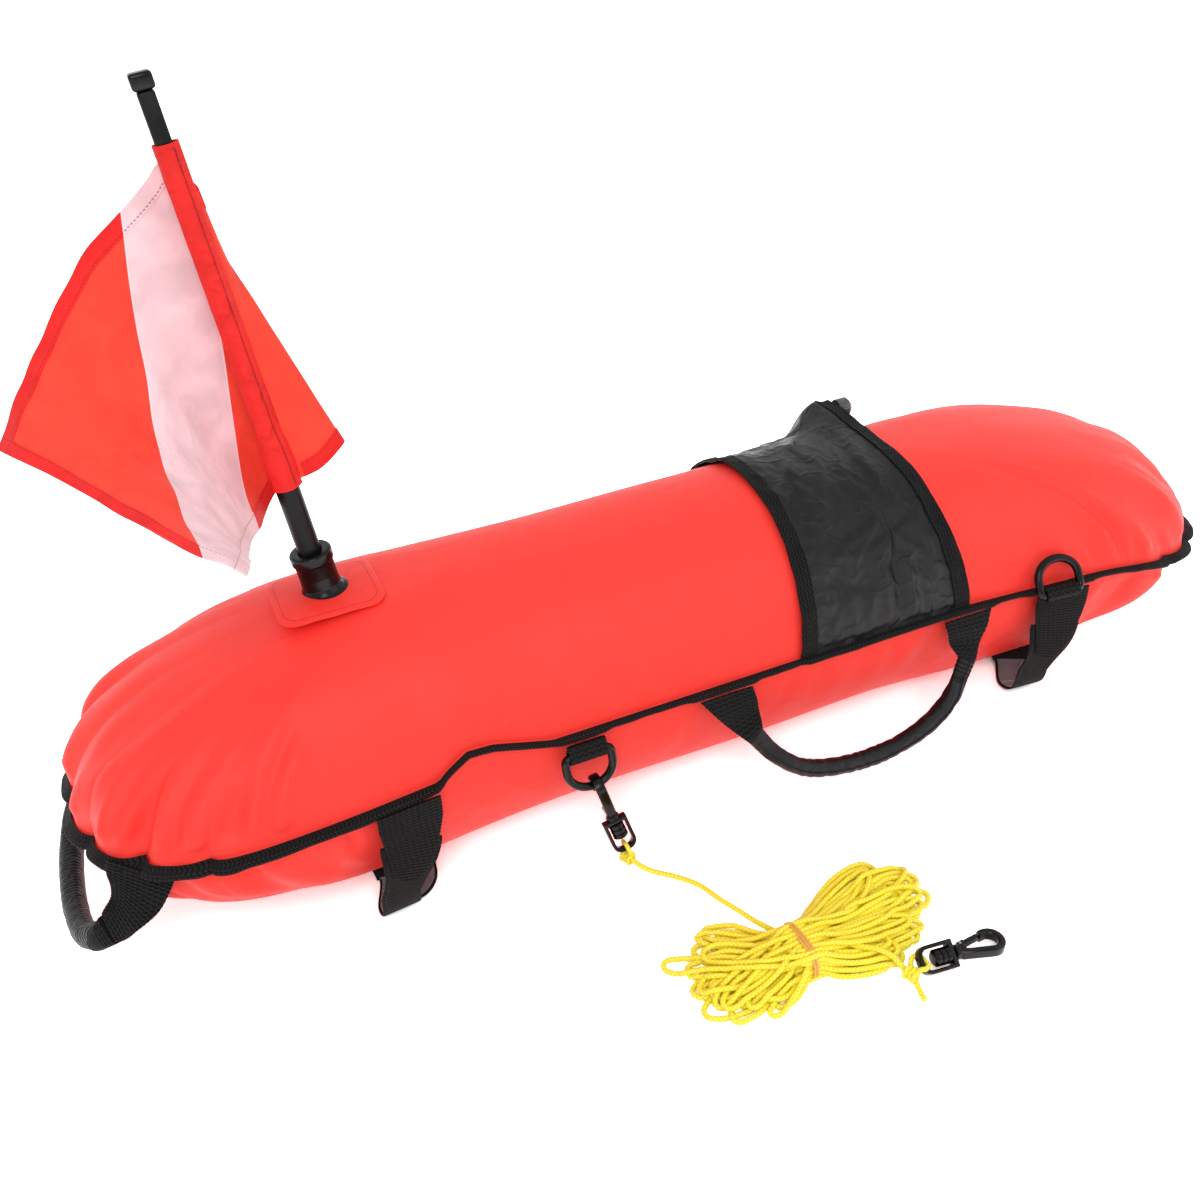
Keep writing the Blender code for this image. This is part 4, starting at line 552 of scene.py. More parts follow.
class NodeBoard:
    """A short way to lay nodes and links in a material's or a group's tree."""

    def __init__(self, tree):
        self.tree = tree
        self.column = 0

    def add(self, kind, *, inputs=None, **settings):
        """Add a node, set its settings and its inputs; an input may be a value or another node's output."""
        node = self.tree.nodes.new(kind)
        node.location = (self.column * 180, 0)
        self.column += 1
        for key, value in settings.items():
            setattr(node, key, value)
        for key, value in (inputs or {}).items():
            if isinstance(value, bpy.types.NodeSocket):
                self.tree.links.new(value, node.inputs[key])
            else:
                node.inputs[key].default_value = value
        return node

    def math(self, operation, first, second=0.0, third=0.0):
        """Add a Math node and return its output."""
        return self.add("ShaderNodeMath", operation=operation, inputs={0: first, 1: second, 2: third}).outputs[0]

    def times(self, first, second):
        """Return the product of two values."""
        return self.math("MULTIPLY", first, second)

    def plus(self, first, second):
        """Return the sum of two values."""
        return self.math("ADD", first, second)

    def minus(self, first, second):
        """Return the first value less the second."""
        return self.math("SUBTRACT", first, second)

    def parted(self, first, second):
        """Return the first value divided by the second."""
        return self.math("DIVIDE", first, second)

    def size(self, value):
        """Return a value without its sign."""
        return self.math("ABSOLUTE", value)

    def rest(self, value):
        """Return what a share leaves of 1."""
        return self.math("SUBTRACT", 1.0, value)

    def blend(self, factor, first, second, kind="RGBA"):
        """Add a Mix node for colours or values and return its output."""
        node = self.add("ShaderNodeMix", data_type=kind)
        spots = {"RGBA": (6, 7, 2), "FLOAT": (2, 3, 0)}[kind]
        for spot, value in ((0, factor), (spots[0], first), (spots[1], second)):
            if isinstance(value, bpy.types.NodeSocket):
                self.tree.links.new(value, node.inputs[spot])
            else:
                node.inputs[spot].default_value = value
        return node.outputs[spots[2]]

    def ramp(self, value, low, high):
        """Add a Map Range node that runs smoothly from 0 at low to 1 at high."""
        node = self.add("ShaderNodeMapRange", interpolation_type="SMOOTHSTEP",
                        inputs={"Value": value, "From Min": low, "From Max": high})
        return node.outputs["Result"]


def new_group(name, inputs, outputs):
    """Start a shader node group and return it with its board, its input node and a function that ends it."""
    group = bpy.data.node_groups.new(name, "ShaderNodeTree")
    for label, kind, value in inputs:
        socket = group.interface.new_socket(name=label, in_out="INPUT", socket_type=kind)
        if value is not None:
            socket.default_value = value
    for label, kind in outputs:
        group.interface.new_socket(name=label, in_out="OUTPUT", socket_type=kind)
    board = NodeBoard(group)
    source = board.add("NodeGroupInput")

    def finish_group(**results):
        board.add("NodeGroupOutput", inputs={key.replace("_", " "): value for key, value in results.items()})
        return group
    return board, source.outputs, finish_group


FLOAT_SOCKET = "NodeSocketFloat"
VECTOR_SOCKET = "NodeSocketVector"


def weave_group():
    """Plain weave: threads over and under each other, from a cloth's UV map in metres."""
    board, given, finish_group = new_group(
        "plain weave",
        [("Cloth", VECTOR_SOCKET, None), ("Thread", FLOAT_SOCKET, 0.0006)],
        [("Height", FLOAT_SOCKET)])
    parts = board.add("ShaderNodeSeparateXYZ", inputs={0: given["Cloth"]})
    waves = []
    for axis in (0, 1):
        turn = board.times(board.parted(parts.outputs[axis], given["Thread"]), math.pi)
        waves.append(board.math("SINE", turn))
    over = board.math("GREATER_THAN", board.times(waves[0], waves[1]), 0.0)
    warp = board.size(waves[1])
    weft = board.size(waves[0])
    return finish_group(Height=board.blend(over, weft, warp, "FLOAT"))


def webbing_group():
    """Webbing: close ribs across the band, broken by the chevrons of its twill."""
    board, given, finish_group = new_group(
        "webbing ribs",
        [("Cloth", VECTOR_SOCKET, None), ("Rib", FLOAT_SOCKET, 0.0016), ("Cord", FLOAT_SOCKET, 0.0011)],
        [("Height", FLOAT_SOCKET), ("Shade", FLOAT_SOCKET)])
    parts = board.add("ShaderNodeSeparateXYZ", inputs={0: given["Cloth"]})
    across = board.times(board.parted(parts.outputs[1], given["Cord"]), math.pi)
    lean = board.times(board.math("ARCSINE", board.math("SINE", across)), 0.55)
    along = board.times(board.parted(parts.outputs[0], given["Rib"]), math.pi)
    rib = board.size(board.math("SINE", board.plus(along, lean)))
    edge = board.math("POWER", board.size(board.math("SINE", across)), 0.5)
    height = board.times(board.math("POWER", rib, 0.7), board.plus(0.55, board.times(edge, 0.45)))
    speck = board.add("ShaderNodeTexNoise", inputs={"Vector": given["Cloth"], "Scale": 900.0, "Detail": 3.0})
    # Shade is the rib height for painted shade in the grooves and painted highlight on the ribs, varied by a
    # random speck.
    shade = board.times(height, board.plus(0.6, board.times(speck.outputs[0], 0.8)))
    return finish_group(Height=height, Shade=shade)


def stitch_group():
    """A row of stitches along a band: a mask of the thread and the dent that it pulls."""
    board, given, finish_group = new_group(
        "stitch row",
        [("Cloth", VECTOR_SOCKET, None), ("Line", FLOAT_SOCKET, 0.003), ("Pitch", FLOAT_SOCKET, 0.003),
         ("Thread", FLOAT_SOCKET, 0.0004)],
        [("Mask", FLOAT_SOCKET), ("Height", FLOAT_SOCKET)])
    parts = board.add("ShaderNodeSeparateXYZ", inputs={0: given["Cloth"]})
    away = board.size(board.minus(parts.outputs[1], given["Line"]))
    spot = board.math("FRACT", board.parted(parts.outputs[0], given["Pitch"]))
    along = board.size(board.minus(spot, 0.5))
    on_line = board.rest(board.ramp(away, 0.0, given["Thread"]))
    length = board.rest(board.ramp(along, 0.28, 0.42))
    mask = board.times(on_line, length)
    groove = board.rest(board.ramp(away, 0.0, board.times(given["Thread"], 3.0)))
    height = board.minus(mask, board.times(groove, 0.6))
    return finish_group(Mask=mask, Height=height)


def crinkle_group():
    """Soft and sharp creases of handled cloth, from Object coordinates; the Shade output, the soft noise under the
    fold bumps, is used for painted shade in the fold hollows and painted light on their crests.
    """
    board, given, finish_group = new_group(
        "handled creases", [("Place", VECTOR_SOCKET, None), ("Size", FLOAT_SOCKET, 0.02)],
        [("Height", FLOAT_SOCKET), ("Shade", FLOAT_SOCKET)])
    scale = board.parted(1.0, given["Size"])
    soft = board.add("ShaderNodeTexNoise", inputs={"Vector": given["Place"], "Scale": scale, "Detail": 3.0,
                                                   "Roughness": 0.45, "Distortion": 0.6})
    ridge = board.add("ShaderNodeTexNoise", inputs={"Vector": given["Place"],
                                                    "Scale": board.times(scale, 0.6), "Detail": 2.0})
    crest = board.size(board.minus(ridge.outputs[0], 0.5))
    fold = board.rest(board.ramp(crest, 0.0, 0.05))
    height = board.plus(soft.outputs[0], board.times(fold, 0.35))
    return finish_group(Height=height, Shade=soft.outputs[0])


def moulding_group():
    """Moulded plastic: faint unevenness, fine scratches and rubbed patches."""
    board, given, finish_group = new_group(
        "moulded plastic", [("Place", VECTOR_SOCKET, None)], [("Height", FLOAT_SOCKET), ("Wear", FLOAT_SOCKET)])
    wave = board.add("ShaderNodeTexNoise", inputs={"Vector": given["Place"], "Scale": 260.0, "Detail": 4.0})
    patch = board.add("ShaderNodeTexNoise", inputs={"Vector": given["Place"], "Scale": 70.0, "Detail": 5.0,
                                                    "Roughness": 0.7})
    return finish_group(Height=wave.outputs[0], Wear=board.ramp(patch.outputs[0], 0.45, 0.75))


def braid_group():
    """Braided rope: strands crossing in both turns, and a thin dark tracer."""
    board, given, finish_group = new_group(
        "rope braid",
        [("Rope", VECTOR_SOCKET, None), ("Lay", FLOAT_SOCKET, 0.006), ("Strands", FLOAT_SOCKET, 8.0)],
        [("Height", FLOAT_SOCKET), ("Tracer", FLOAT_SOCKET)])
    parts = board.add("ShaderNodeSeparateXYZ", inputs={0: given["Rope"]})
    step = board.parted(parts.outputs[1], given["Lay"])
    waves = []
    for operation in ("ADD", "SUBTRACT"):
        turn = board.math(operation, board.times(parts.outputs[0], given["Strands"]),
                          board.times(step, given["Strands"]))
        waves.append(board.math("SINE", board.times(turn, math.pi / 2)))
    over = board.math("GREATER_THAN", board.times(waves[0], waves[1]), 0.0)
    height = board.blend(over, board.size(waves[0]), board.size(waves[1]), "FLOAT")
    spot = board.math("FRACT", step)
    dash = board.rest(board.ramp(board.size(board.minus(spot, 0.5)), 0.10, 0.22))
    round_spot = board.math("FRACT", board.plus(parts.outputs[0], board.times(step, 0.25)))
    line = board.rest(board.ramp(board.size(board.minus(round_spot, 0.5)), 0.03, 0.08))
    return finish_group(Height=height, Tracer=board.times(dash, line))


GROUPS = {}


def group(name):
    """Return a shared shader group, made on its first use."""
    makers = {"weave": weave_group, "webbing": webbing_group, "stitches": stitch_group, "creases": crinkle_group,
              "moulding": moulding_group, "braid": braid_group}
    if name not in GROUPS:
        GROUPS[name] = makers[name]()
    return GROUPS[name]


def start_material(name, roughness, **sockets):
    """Start a material and return it with its board, its Principled node, its UV map and Object coordinates."""
    material = bpy.data.materials.new(name)
    material.use_nodes = True
    material.node_tree.nodes.clear()
    board = NodeBoard(material.node_tree)
    coordinates = board.add("ShaderNodeTexCoord")
    surface = board.add("ShaderNodeBsdfPrincipled", inputs={"Roughness": roughness, **sockets})
    board.add("ShaderNodeOutputMaterial", inputs={"Surface": surface.outputs[0]})
    return material, board, surface, coordinates.outputs["UV"], coordinates.outputs["Object"]


def use(board, name, **inputs):
    """Place a shared group in a material and return its outputs."""
    return board.add("ShaderNodeGroup", node_tree=group(name), inputs=inputs).outputs


def bump(board, surface, height, distance, strength=1.0, normal=None):
    """Feed a height through a Bump node to the surface's normal."""
    inputs = {"Height": height, "Distance": distance, "Strength": strength}
    if normal is not None:
        inputs["Normal"] = normal
    node = board.add("ShaderNodeBump", inputs=inputs)
    board.tree.links.new(node.outputs[0], surface.inputs["Normal"])
    return node.outputs[0]


def tinted(colour, factor):
    """Return a colour made lighter or darker, with its alpha."""
    return (*[min(max(part * factor, 0.0), 1.0) for part in colour[:3]], 1.0)


def coated_fabric(name, colour, thread=0.0007, crease=0.030, crease_height=0.0010, gloss=0.50, stitches=()):
    """Polyurethane-coated nylon: a fine weave under a satin skin, with soft creases."""
    material, board, surface, cloth, place = start_material(name, gloss, **{"Specular IOR Level": 0.28})
    threads = use(board, "weave", Cloth=cloth, Thread=thread)
    creases = use(board, "creases", Place=place, Size=crease)
    # Painted shade: the colour darkens faintly in the fold hollows and lightens on their crests.
    shade = board.ramp(creases["Shade"], 0.35, 0.65)
    tone = board.blend(shade, tinted(colour, 0.985), tinted(colour, 1.01))
    for line, pitch in stitches:
        row = use(board, "stitches", Cloth=cloth, Line=line, Pitch=pitch, Thread=0.0006)
        tone = board.blend(board.times(row["Mask"], 0.8), tone, (*STITCH_RED, 1.0))
    board.tree.links.new(tone, surface.inputs["Base Color"])
    board.tree.links.new(board.plus(gloss - 0.04, board.times(creases["Height"], 0.08)),
                         surface.inputs["Roughness"])
    folds = bump(board, surface, creases["Height"], crease_height, 0.35)
    bump(board, surface, threads["Height"], 0.00006, 0.5, folds)
    return material


def woven_nylon(name, colour, thread=0.0005, crease=0.016, crease_height=0.0024, gloss=0.34, sheen=0.0, fold=0.7):
    """Thin uncoated nylon with a visible weave and handled creases."""
    material, board, surface, cloth, place = start_material(
        name, gloss, **{"Sheen Weight": sheen, "Specular IOR Level": 0.20})
    threads = use(board, "weave", Cloth=cloth, Thread=thread)
    creases = use(board, "creases", Place=place, Size=crease)
    # Painted shade and highlight: the colour is darker in the fold hollows and between the threads, lighter on the
    # fold crests and the thread tops.
    shade = board.ramp(creases["Shade"], 0.3, 0.7)
    dark, light = tinted(colour, 0.85), tinted(colour, 1.12)
    tone = board.blend(board.plus(board.times(shade, 0.6), board.times(threads["Height"], 0.4)),
                       dark, light)
    board.tree.links.new(tone, surface.inputs["Base Color"])
    folds = bump(board, surface, creases["Height"], crease_height, fold)
    bump(board, surface, threads["Height"], 0.00008, 0.6, folds)
    return material


def webbing(name, rib=0.0016, cord=0.0012, stitches=()):
    """Black polyester webbing: ribs and cords with painted highlights on the ribs and painted shade in the
    grooves, and rows of stitches.
    """
    material, board, surface, cloth, _ = start_material(
        name, 0.62, **{"Sheen Weight": 0.02, "Sheen Roughness": 0.4, "Specular IOR Level": 0.06})
    ribs = use(board, "webbing", Cloth=cloth, Rib=rib, Cord=cord)
    # Painted light: a near-black copy of the colour for the groove shade and a much paler one for the rib
    # highlights.
    tone = board.blend(ribs["Shade"], tinted(WEB_BLACK, 0.30), tinted(WEB_BLACK, 4.6))
    height = ribs["Height"]
    for line, pitch in stitches:
        row = use(board, "stitches", Cloth=cloth, Line=line, Pitch=pitch, Thread=0.0005)
        tone = board.blend(row["Mask"], tone, (*THREAD_GREY, 1.0))
        height = board.plus(height, board.times(row["Height"], 1.4))
    board.tree.links.new(tone, surface.inputs["Base Color"])
    bump(board, surface, height, 0.0007, 1.0)
    return material


def moulded(name, colour, gloss, wear=0.12, coat=0.0):
    """Injection-moulded plastic with faint waviness and rubbed patches."""
    material, board, surface, _, place = start_material(
        name, gloss, **{"Coat Weight": coat, "Coat Roughness": 0.10, "Specular IOR Level": 0.14})
    skin = use(board, "moulding", Place=place)
    tone = board.blend(skin["Wear"], (*colour, 1.0), tinted(tuple(part + 0.006 for part in colour), 1.2))
    board.tree.links.new(tone, surface.inputs["Base Color"])
    board.tree.links.new(board.plus(gloss, board.times(skin["Wear"], wear)), surface.inputs["Roughness"])
    bump(board, surface, skin["Height"], 0.0002, 0.12)
    return material


def braided(name, colour, shade, tracer, lay):
    """Braided polypropylene line with a dark tracer and painted shade in the braid's valleys."""
    material, board, surface, rope, place = start_material(
        name, 0.5, **{"Subsurface Weight": 0.4, "Subsurface Radius": (1.0, 0.45, 0.08), "Subsurface Scale": 0.004})
    braid = use(board, "braid", Rope=rope, Lay=lay, Strands=6.0)
    patches = board.add("ShaderNodeTexNoise", inputs={"Vector": place, "Scale": 60.0, "Detail": 2.0})
    # Painted shade: the braid's valleys take the darker, more orange shade colour.
    tone = board.blend(board.ramp(braid["Height"], 0.05, 0.75), (*shade, 1.0), (*colour, 1.0))
    tone = board.blend(board.times(patches.outputs[0], 0.35), tone, (*colour, 1.0))
    tone = board.blend(board.times(braid["Tracer"], 0.22), tone, (*tracer, 1.0))
    board.tree.links.new(tone, surface.inputs["Base Color"])
    bump(board, surface, braid["Height"], 0.0003, 0.6)
    return material


def clear_plastic(name):
    """Smoke-tinted clear plastic of the mouthpiece's cap."""
    material, board, surface, _, place = start_material(
        name, 0.16, **{"IOR": 1.47, "Transmission Weight": 0.45})
    skin = use(board, "moulding", Place=place)
    tone = board.blend(skin["Wear"], (0.10, 0.105, 0.11, 1.0), (0.22, 0.22, 0.23, 1.0))
    board.tree.links.new(tone, surface.inputs["Base Color"])
    bump(board, surface, skin["Height"], 0.0002, 0.2)
    return material


def steel(name):
    """Plain turned steel of the small pins."""
    material, board, surface, _, place = start_material(name, 0.34, **{"Metallic": 1.0})
    grain = board.add("ShaderNodeTexNoise", inputs={"Vector": place, "Scale": 900.0, "Detail": 2.0})
    tone = board.blend(grain.outputs[0], (0.42, 0.42, 0.43, 1.0), (0.62, 0.62, 0.63, 1.0))
    board.tree.links.new(tone, surface.inputs["Base Color"])
    bump(board, surface, grain.outputs[0], 0.0001, 0.2)
    return material


def half_width(x):
    """Return half the pocket's width at x on the weld line's straight sides."""
    share = min(max((abs(x) - WAIST_HALF) / (CORNER_START - WAIST_HALF), 0.0), 1.0)
    return MIDDLE_HALF_WIDTH + (END_HALF_WIDTH - MIDDLE_HALF_WIDTH) * share * share * (3 - 2 * share)


def corner_point(angle):
    """Return the weld line's point at an angle round an end, 0 on the front side."""
    power = 2 / CORNER_POWER
    across = math.copysign(abs(math.cos(angle)) ** power, -math.cos(angle))
    reach = HALF_LENGTH - CORNER_START
    return (CORNER_START + reach * abs(math.sin(angle)) ** power, END_HALF_WIDTH * across)


def weld_line():
    """Return the weld line's points and how far each is gathered by a pleat, from 0 to 1."""
    points, gathers = [], []
    for side in (1, -1):
        for step in range(END_SAMPLES + 1):
            station = END_STEPS * step / END_SAMPLES
            x, y = corner_point(math.pi * station / END_STEPS)
            nearest = PLEAT_FIRST + PLEAT_EVERY * round((station - PLEAT_FIRST) / PLEAT_EVERY)
            nearest = min(max(nearest, PLEAT_FIRST), PLEAT_FIRST + PLEAT_EVERY * (PLEATS - 1))
            points.append((x * side, y * side))
            strength = PLEAT_STRENGTH[side][(nearest - PLEAT_FIRST) // PLEAT_EVERY]
            gathers.append(strength * math.exp(-(abs(station - nearest) / 0.60) ** 1.4))
        for step in range(1, SIDE_SAMPLES):
            x = CORNER_START * (1 - 2 * step / SIDE_SAMPLES)
            points.append((x * side, half_width(x) * side))
            gathers.append(0.0)
    return np.array(points), np.array(gathers)


def ramp_up(values, low, high):
    """Return 0 below low, 1 above high and a smooth rise between."""
    share = np.clip((np.asarray(values, dtype=float) - low) / (high - low), 0.0, 1.0)
    return share * share * (3 - 2 * share)


def seam_sag(x, y):
    """Return how far the seam rises near the first D-ring and droops at the far right front corner."""
    front = ramp_up(-np.asarray(y), -0.020, 0.070)
    return (read_table(SEAM_RISE, x) - SEAM_DROOP * ramp_up(x, 0.285, 0.420)) * front


def end_height(x, side):
    """Return the share of the full height that a panel keeps at x: the right end is lower above and below."""
    return 1 - read_table(TOP_DROP if side > 0 else BELLY_RISE, x)


def waver(*place):
    """Return smooth noise at a place."""
    return noise.noise(Vector(place))


def unit_rows(rows):
    """Return vectors, one to a row, at a length of 1."""
    return rows / np.linalg.norm(rows, axis=-1, keepdims=True)


def perimeter_of(points):
    """Return the distance along a closed line to each of its points, and the whole length."""
    steps = np.linalg.norm(np.roll(points, -1, axis=0) - points, axis=1)
    return np.concatenate(([0.0], np.cumsum(steps[:-1]))), float(steps.sum())


def pucker_field(side):
    """Return creases that run in from the seam: place on the weld line, half width, depth, reach and slant."""
    rng = random.Random(41 + side)
    points, _ = weld_line()
    along, total = perimeter_of(points)
    creases = []
    for _ in range(PUCKERS):
        spot = rng.random() * total
        x, y = points[np.searchsorted(along, spot) - 1]
        at_end = float(ramp_up(abs(x), 0.27, 0.37))
        if rng.random() > 0.35 + 0.65 * at_end:
            continue
        reach = rng.uniform(0.08, 0.26) + 0.22 * at_end * rng.random()
        depth = rng.uniform(0.0005, 0.0012) + at_end * rng.uniform(0.0006, 0.0022)
        width = rng.uniform(0.0025, 0.0060) * (1 + at_end)
        depth *= 1 - 0.7 * float(ramp_up(x, 0.30, 0.38) * ramp_up(y, -0.05, 0.0))
        creases.append((spot, width, depth, reach, rng.uniform(-0.020, 0.020)))
    for x, width, depth, reach, slant in CREASES if side > 0 else ():
        away = np.abs(points[:, 0] - x) + (points[:, 1] > 0)
        creases.append((along[int(np.argmin(away))], width, depth, reach, slant))
    return creases, along, total


def panel_rows(side):
    """Return a panel's rows from the flange's edge up to the spine, with pleats, puckers and long soft folds."""
    weld, gathers = weld_line()
    flat_edge = math.acos(AXIS_HEIGHT / BODY_RADIUS)
    steps = (np.arange(CROWN_SAMPLES + 1) / CROWN_SAMPLES) ** 1.25
    angles = np.concatenate((math.pi / 2 - (math.pi / 2 - flat_edge) * steps, [flat_edge * 0.5, 0.0]))
    spine = spine_points(weld)
    inward = unit_rows(weld - spine)
    share = np.sin(angles) ** (2 / CROWN_POWER)
    rows = np.zeros((len(angles), len(weld), 3))
    for row, (angle, out) in enumerate(zip(angles, share)):
        pull = gathers * PLEAT_DEPTH * (0.95 * out ** 8 + 0.05 * out ** 3)
        swell = np.clip(1 - gathers, 0.0, 1.0) * ramp_up(np.abs(weld[:, 0]), 0.33, 0.38) * (weld[:, 0] < 0)
        swell *= PLEAT_SWELL * out ** 6 * (1 - out) * 16
        plan = spine + (weld - spine) * out - inward * (pull - swell)[:, None]
        rows[row, :, :2] = plan
        height = side * (EDGE_GAP + (BODY_RADIUS - EDGE_GAP) * math.cos(angle))
        height *= end_height(plan[:, 0], side)
        rows[row, :, 2] = AXIS_HEIGHT + height + seam_sag(plan[:, 0], plan[:, 1]) * out ** 6
    normals = np.cross(np.roll(rows, -1, axis=1) - np.roll(rows, 1, axis=1), np.gradient(rows, axis=0))
    normals /= np.maximum(np.linalg.norm(normals, axis=2), 1e-9)[:, :, None]
    normals *= side
    creases, along, total = pucker_field(side)
    strength = bpy.context.scene.divefloat_body.crease_strength
    dent = np.zeros(rows.shape[:2])
    for spot, width, depth, reach, slant in creases:
        down = (1 - share)[:, None]
        centre = spot + slant * down / max(reach, 0.1)
        away = np.abs((along[None, :] - centre + total / 2) % total - total / 2)
        spread = width * (1 + 2.5 * down / reach)
        fade = np.clip(1 - down / reach, 0.0, 1.0) ** 1.3
        profile = np.exp(-(away / spread) ** 2) - 0.55 * np.exp(-((away - 2.0 * spread) / spread) ** 2)
        dent += strength * depth * fade * profile
    dent *= ramp_up(1 - share, 0.0, 0.012)[:, None] * 0.85 + 0.15
    places = rows.reshape(-1, 3) * (9.0, 26.0, 26.0)
    waves = np.array([waver(*place) for place in places]).reshape(dent.shape)
    dent += FOLD_HEIGHT * waves
    dent *= ramp_up(share, 0.0, 0.18)[:, None] * under_pieces(rows, side)
    rows -= normals * dent[:, :, None]
    rows[:, :, 2] = np.maximum(rows[:, :, 2], 0.0002)
    flange = flange_row(0.92 * FLANGE, side * EDGE_GAP)
    return np.concatenate((flange[None], rows))


def spine_points(weld):
    """Return the points of the spine that the ribs from the weld line run to."""
    x = np.clip(weld[:, 0] * SPINE_HALF / CORNER_START, -SPINE_HALF, SPINE_HALF)
    return np.stack((x, np.zeros(len(weld))), axis=1)


def under_pieces(rows, side):
    """Return 0 where a cover, patch or strap lies on the skin, which stays smooth there, and 1 elsewhere."""
    free = np.ones(rows.shape[:2])
    for low, high in SMOOTH_BELOW if side < 0 else SMOOTH_ABOVE:
        x = rows[:, :, 0]
        free *= 1 - ramp_up(x, low - 0.012, low) * (1 - ramp_up(x, high, high + 0.012))
    return free


def flange_row(outward, rise):
    """Return the weld line moved outwards in the plane of the seam and up or down by rise."""
    weld, gathers = weld_line()
    inward = unit_rows(spine_points(weld) - weld)
    line = weld + inward * (gathers * PLEAT_DEPTH)[:, None]
    along = np.roll(line, -3, axis=0) - np.roll(line, 3, axis=0)
    normal = unit_rows(np.stack((along[:, 1], -along[:, 0]), axis=1))
    row = np.zeros((len(line), 3))
    distance, _ = perimeter_of(weld)
    broad = np.clip(ramp_up(np.abs(weld[:, 0]), 0.30, 0.36) + under_tape(weld), 0.0, 1.0)
    broad = NARROW_TAPE + (1 - NARROW_TAPE) * broad
    reach = min(outward, TAPE_START) + max(outward - TAPE_START, 0.0) * broad
    row[:, :2] = line + normal * reach[:, None]
    wave = np.array([waver(d * 38.0, 0.3, 0.0) + 0.6 * waver(d * 90.0, 5.3, 0.0)
                     for d in distance])
    at_end = ramp_up(np.abs(weld[:, 0]), 0.30, 0.38)
    out = float(ramp_up(outward, 0.0, FLANGE))
    hang = 0.0016 * at_end + 0.0026 * ramp_up(-weld[:, 0], 0.215, 0.250)
    lift = wave * (0.0007 + 0.0016 * at_end) * out + gathers * 0.0012 * at_end - hang * out
    row[:, 2] = AXIS_HEIGHT + rise + seam_sag(row[:, 0], row[:, 1]) + lift
    return row


def under_tape(weld):
    """Return 1 where the binding also holds a webbing end, and is broader for it, and 0 elsewhere."""
    held = np.zeros(len(weld))
    for low, high in BROAD_TAPE:
        held += ramp_up(weld[:, 0], low - 0.006, low) * (1 - ramp_up(weld[:, 0], high, high + 0.006))
    return np.clip(held, 0.0, 1.0) * (weld[:, 1] < 0)


def make_bladder(materials):
    """Make the airtight bladder inside the panels, a little smaller all round."""
    upper, lower = (panel_rows(side)[1:, ::2] for side in (1, -1))
    rows = np.concatenate((upper[::-1], lower[1:]))
    middle = np.array((0.0, 0.0, AXIS_HEIGHT))
    rows = middle + (rows - middle) * (0.965, 0.950, 0.950)
    item = cloth_grid("bladder_skin", rows, materials["bladder"], closed=True)
    clean(item, MERGE, True)
    dress(item, "root", "bladder_film", "inner_bladder")
    return item


def make_panels(materials):
    """Make the bladder and the two fabric panels."""
    pieces = [make_bladder(materials)]
    for name, node, side in (("upper_skin", "upper_panel", 1), ("lower_skin", "lower_panel", -1)):
        rows = panel_rows(side)
        plan = rows[:, :, :2].copy()
        spread = 1 + 0.35 * (1 - np.abs(rows[:, :, 2:3] - AXIS_HEIGHT) / BODY_RADIUS)
        uv = plan * spread
        item = cloth_grid(name, rows, materials["coated_red"], closed=True, uv=uv, flip=side < 0)
        clean(item, MERGE)
        thicken(item, PANEL_WALL, -1.0)
        smooth(item)
        dress(item, "root", "coated_fabric", node)
        pieces.append(item)
    return pieces


def make_binding(materials):
    """Make the tape folded round the flange, with its rounded edge and its waves at the pleats."""
    inner = EDGE_GAP + TAPE_GAP
    outer = inner + TAPE_WALL
    rim = FLANGE + TAPE_GAP
    upper = [(TAPE_START, inner), (TAPE_START, outer), (TAPE_START + 0.0025, outer + 0.0002),
             (rim - 0.0012, outer), (rim + TAPE_WALL * 0.6, outer * 0.62)]
    lower = [(outward, -rise) for outward, rise in reversed(upper)]
    section = [*upper, (rim + TAPE_WALL, 0.0), *lower, (rim - 0.0006, -inner), (rim - 0.0006, inner), upper[0]]
    rows = np.array([flange_row(outward, rise) for outward, rise in section])
    weld, _ = weld_line()
    distance, _ = perimeter_of(weld)
    widths = np.concatenate(([0.0], np.cumsum([math.dist(a, b) for a, b in zip(section, section[1:])])))
    uv = np.stack(np.meshgrid(distance, widths), axis=2)
    item = cloth_grid("seam_tape", rows, materials["tape"], closed=True, uv=uv, flip=True)
    clean(item, FINE_MERGE, True)
    smooth(item, 60)
    return dress(item, "root", "webbing", "seam_binding")


def gauge(x, y):
    """Return how far a point lies from the spine, 0, towards the weld line, 1."""
    across, along = abs(y), abs(x)
    ratio = SPINE_HALF / CORNER_START
    foot, share = along, 0.0
    for _ in range(12):
        share = min(across / half_width(foot), 1.0)
        foot = along / (ratio + (1 - ratio) * share)
    return share


def crown_height(x, y):
    """Return the upper skin's height above the seam on the body's straight part."""
    return EDGE_GAP + (BODY_RADIUS - EDGE_GAP) * math.sqrt(max(1 - gauge(x, y) ** CROWN_POWER, 0.0))


def crown_point(x, across, lift=0.0, side=1):
    """Return a point on the skin; across runs from -1 at the front weld to 1 at the rear one."""
    def surface(u, v):
        angle = v * math.pi / 2
        y = half_width(u) * math.copysign(abs(math.sin(angle)) ** (2 / CROWN_POWER), angle)
        return Vector((u, y, AXIS_HEIGHT + side * crown_height(u, y) * float(end_height(u, side))))
    step = 0.002
    low, high = max(across - step, -1.0), min(across + step, 1.0)
    slope = (surface(x + step, across) - surface(x - step, across)).cross(surface(x, high) - surface(x, low))
    return surface(x, across) + slope.normalized() * lift * side


def across_of(x, y):
    """Return the across value of a point given by its y."""
    share = min(abs(y) / half_width(x), 1.0)
    return math.copysign(math.asin(share ** (CROWN_POWER / 2)) * 2 / math.pi, y)


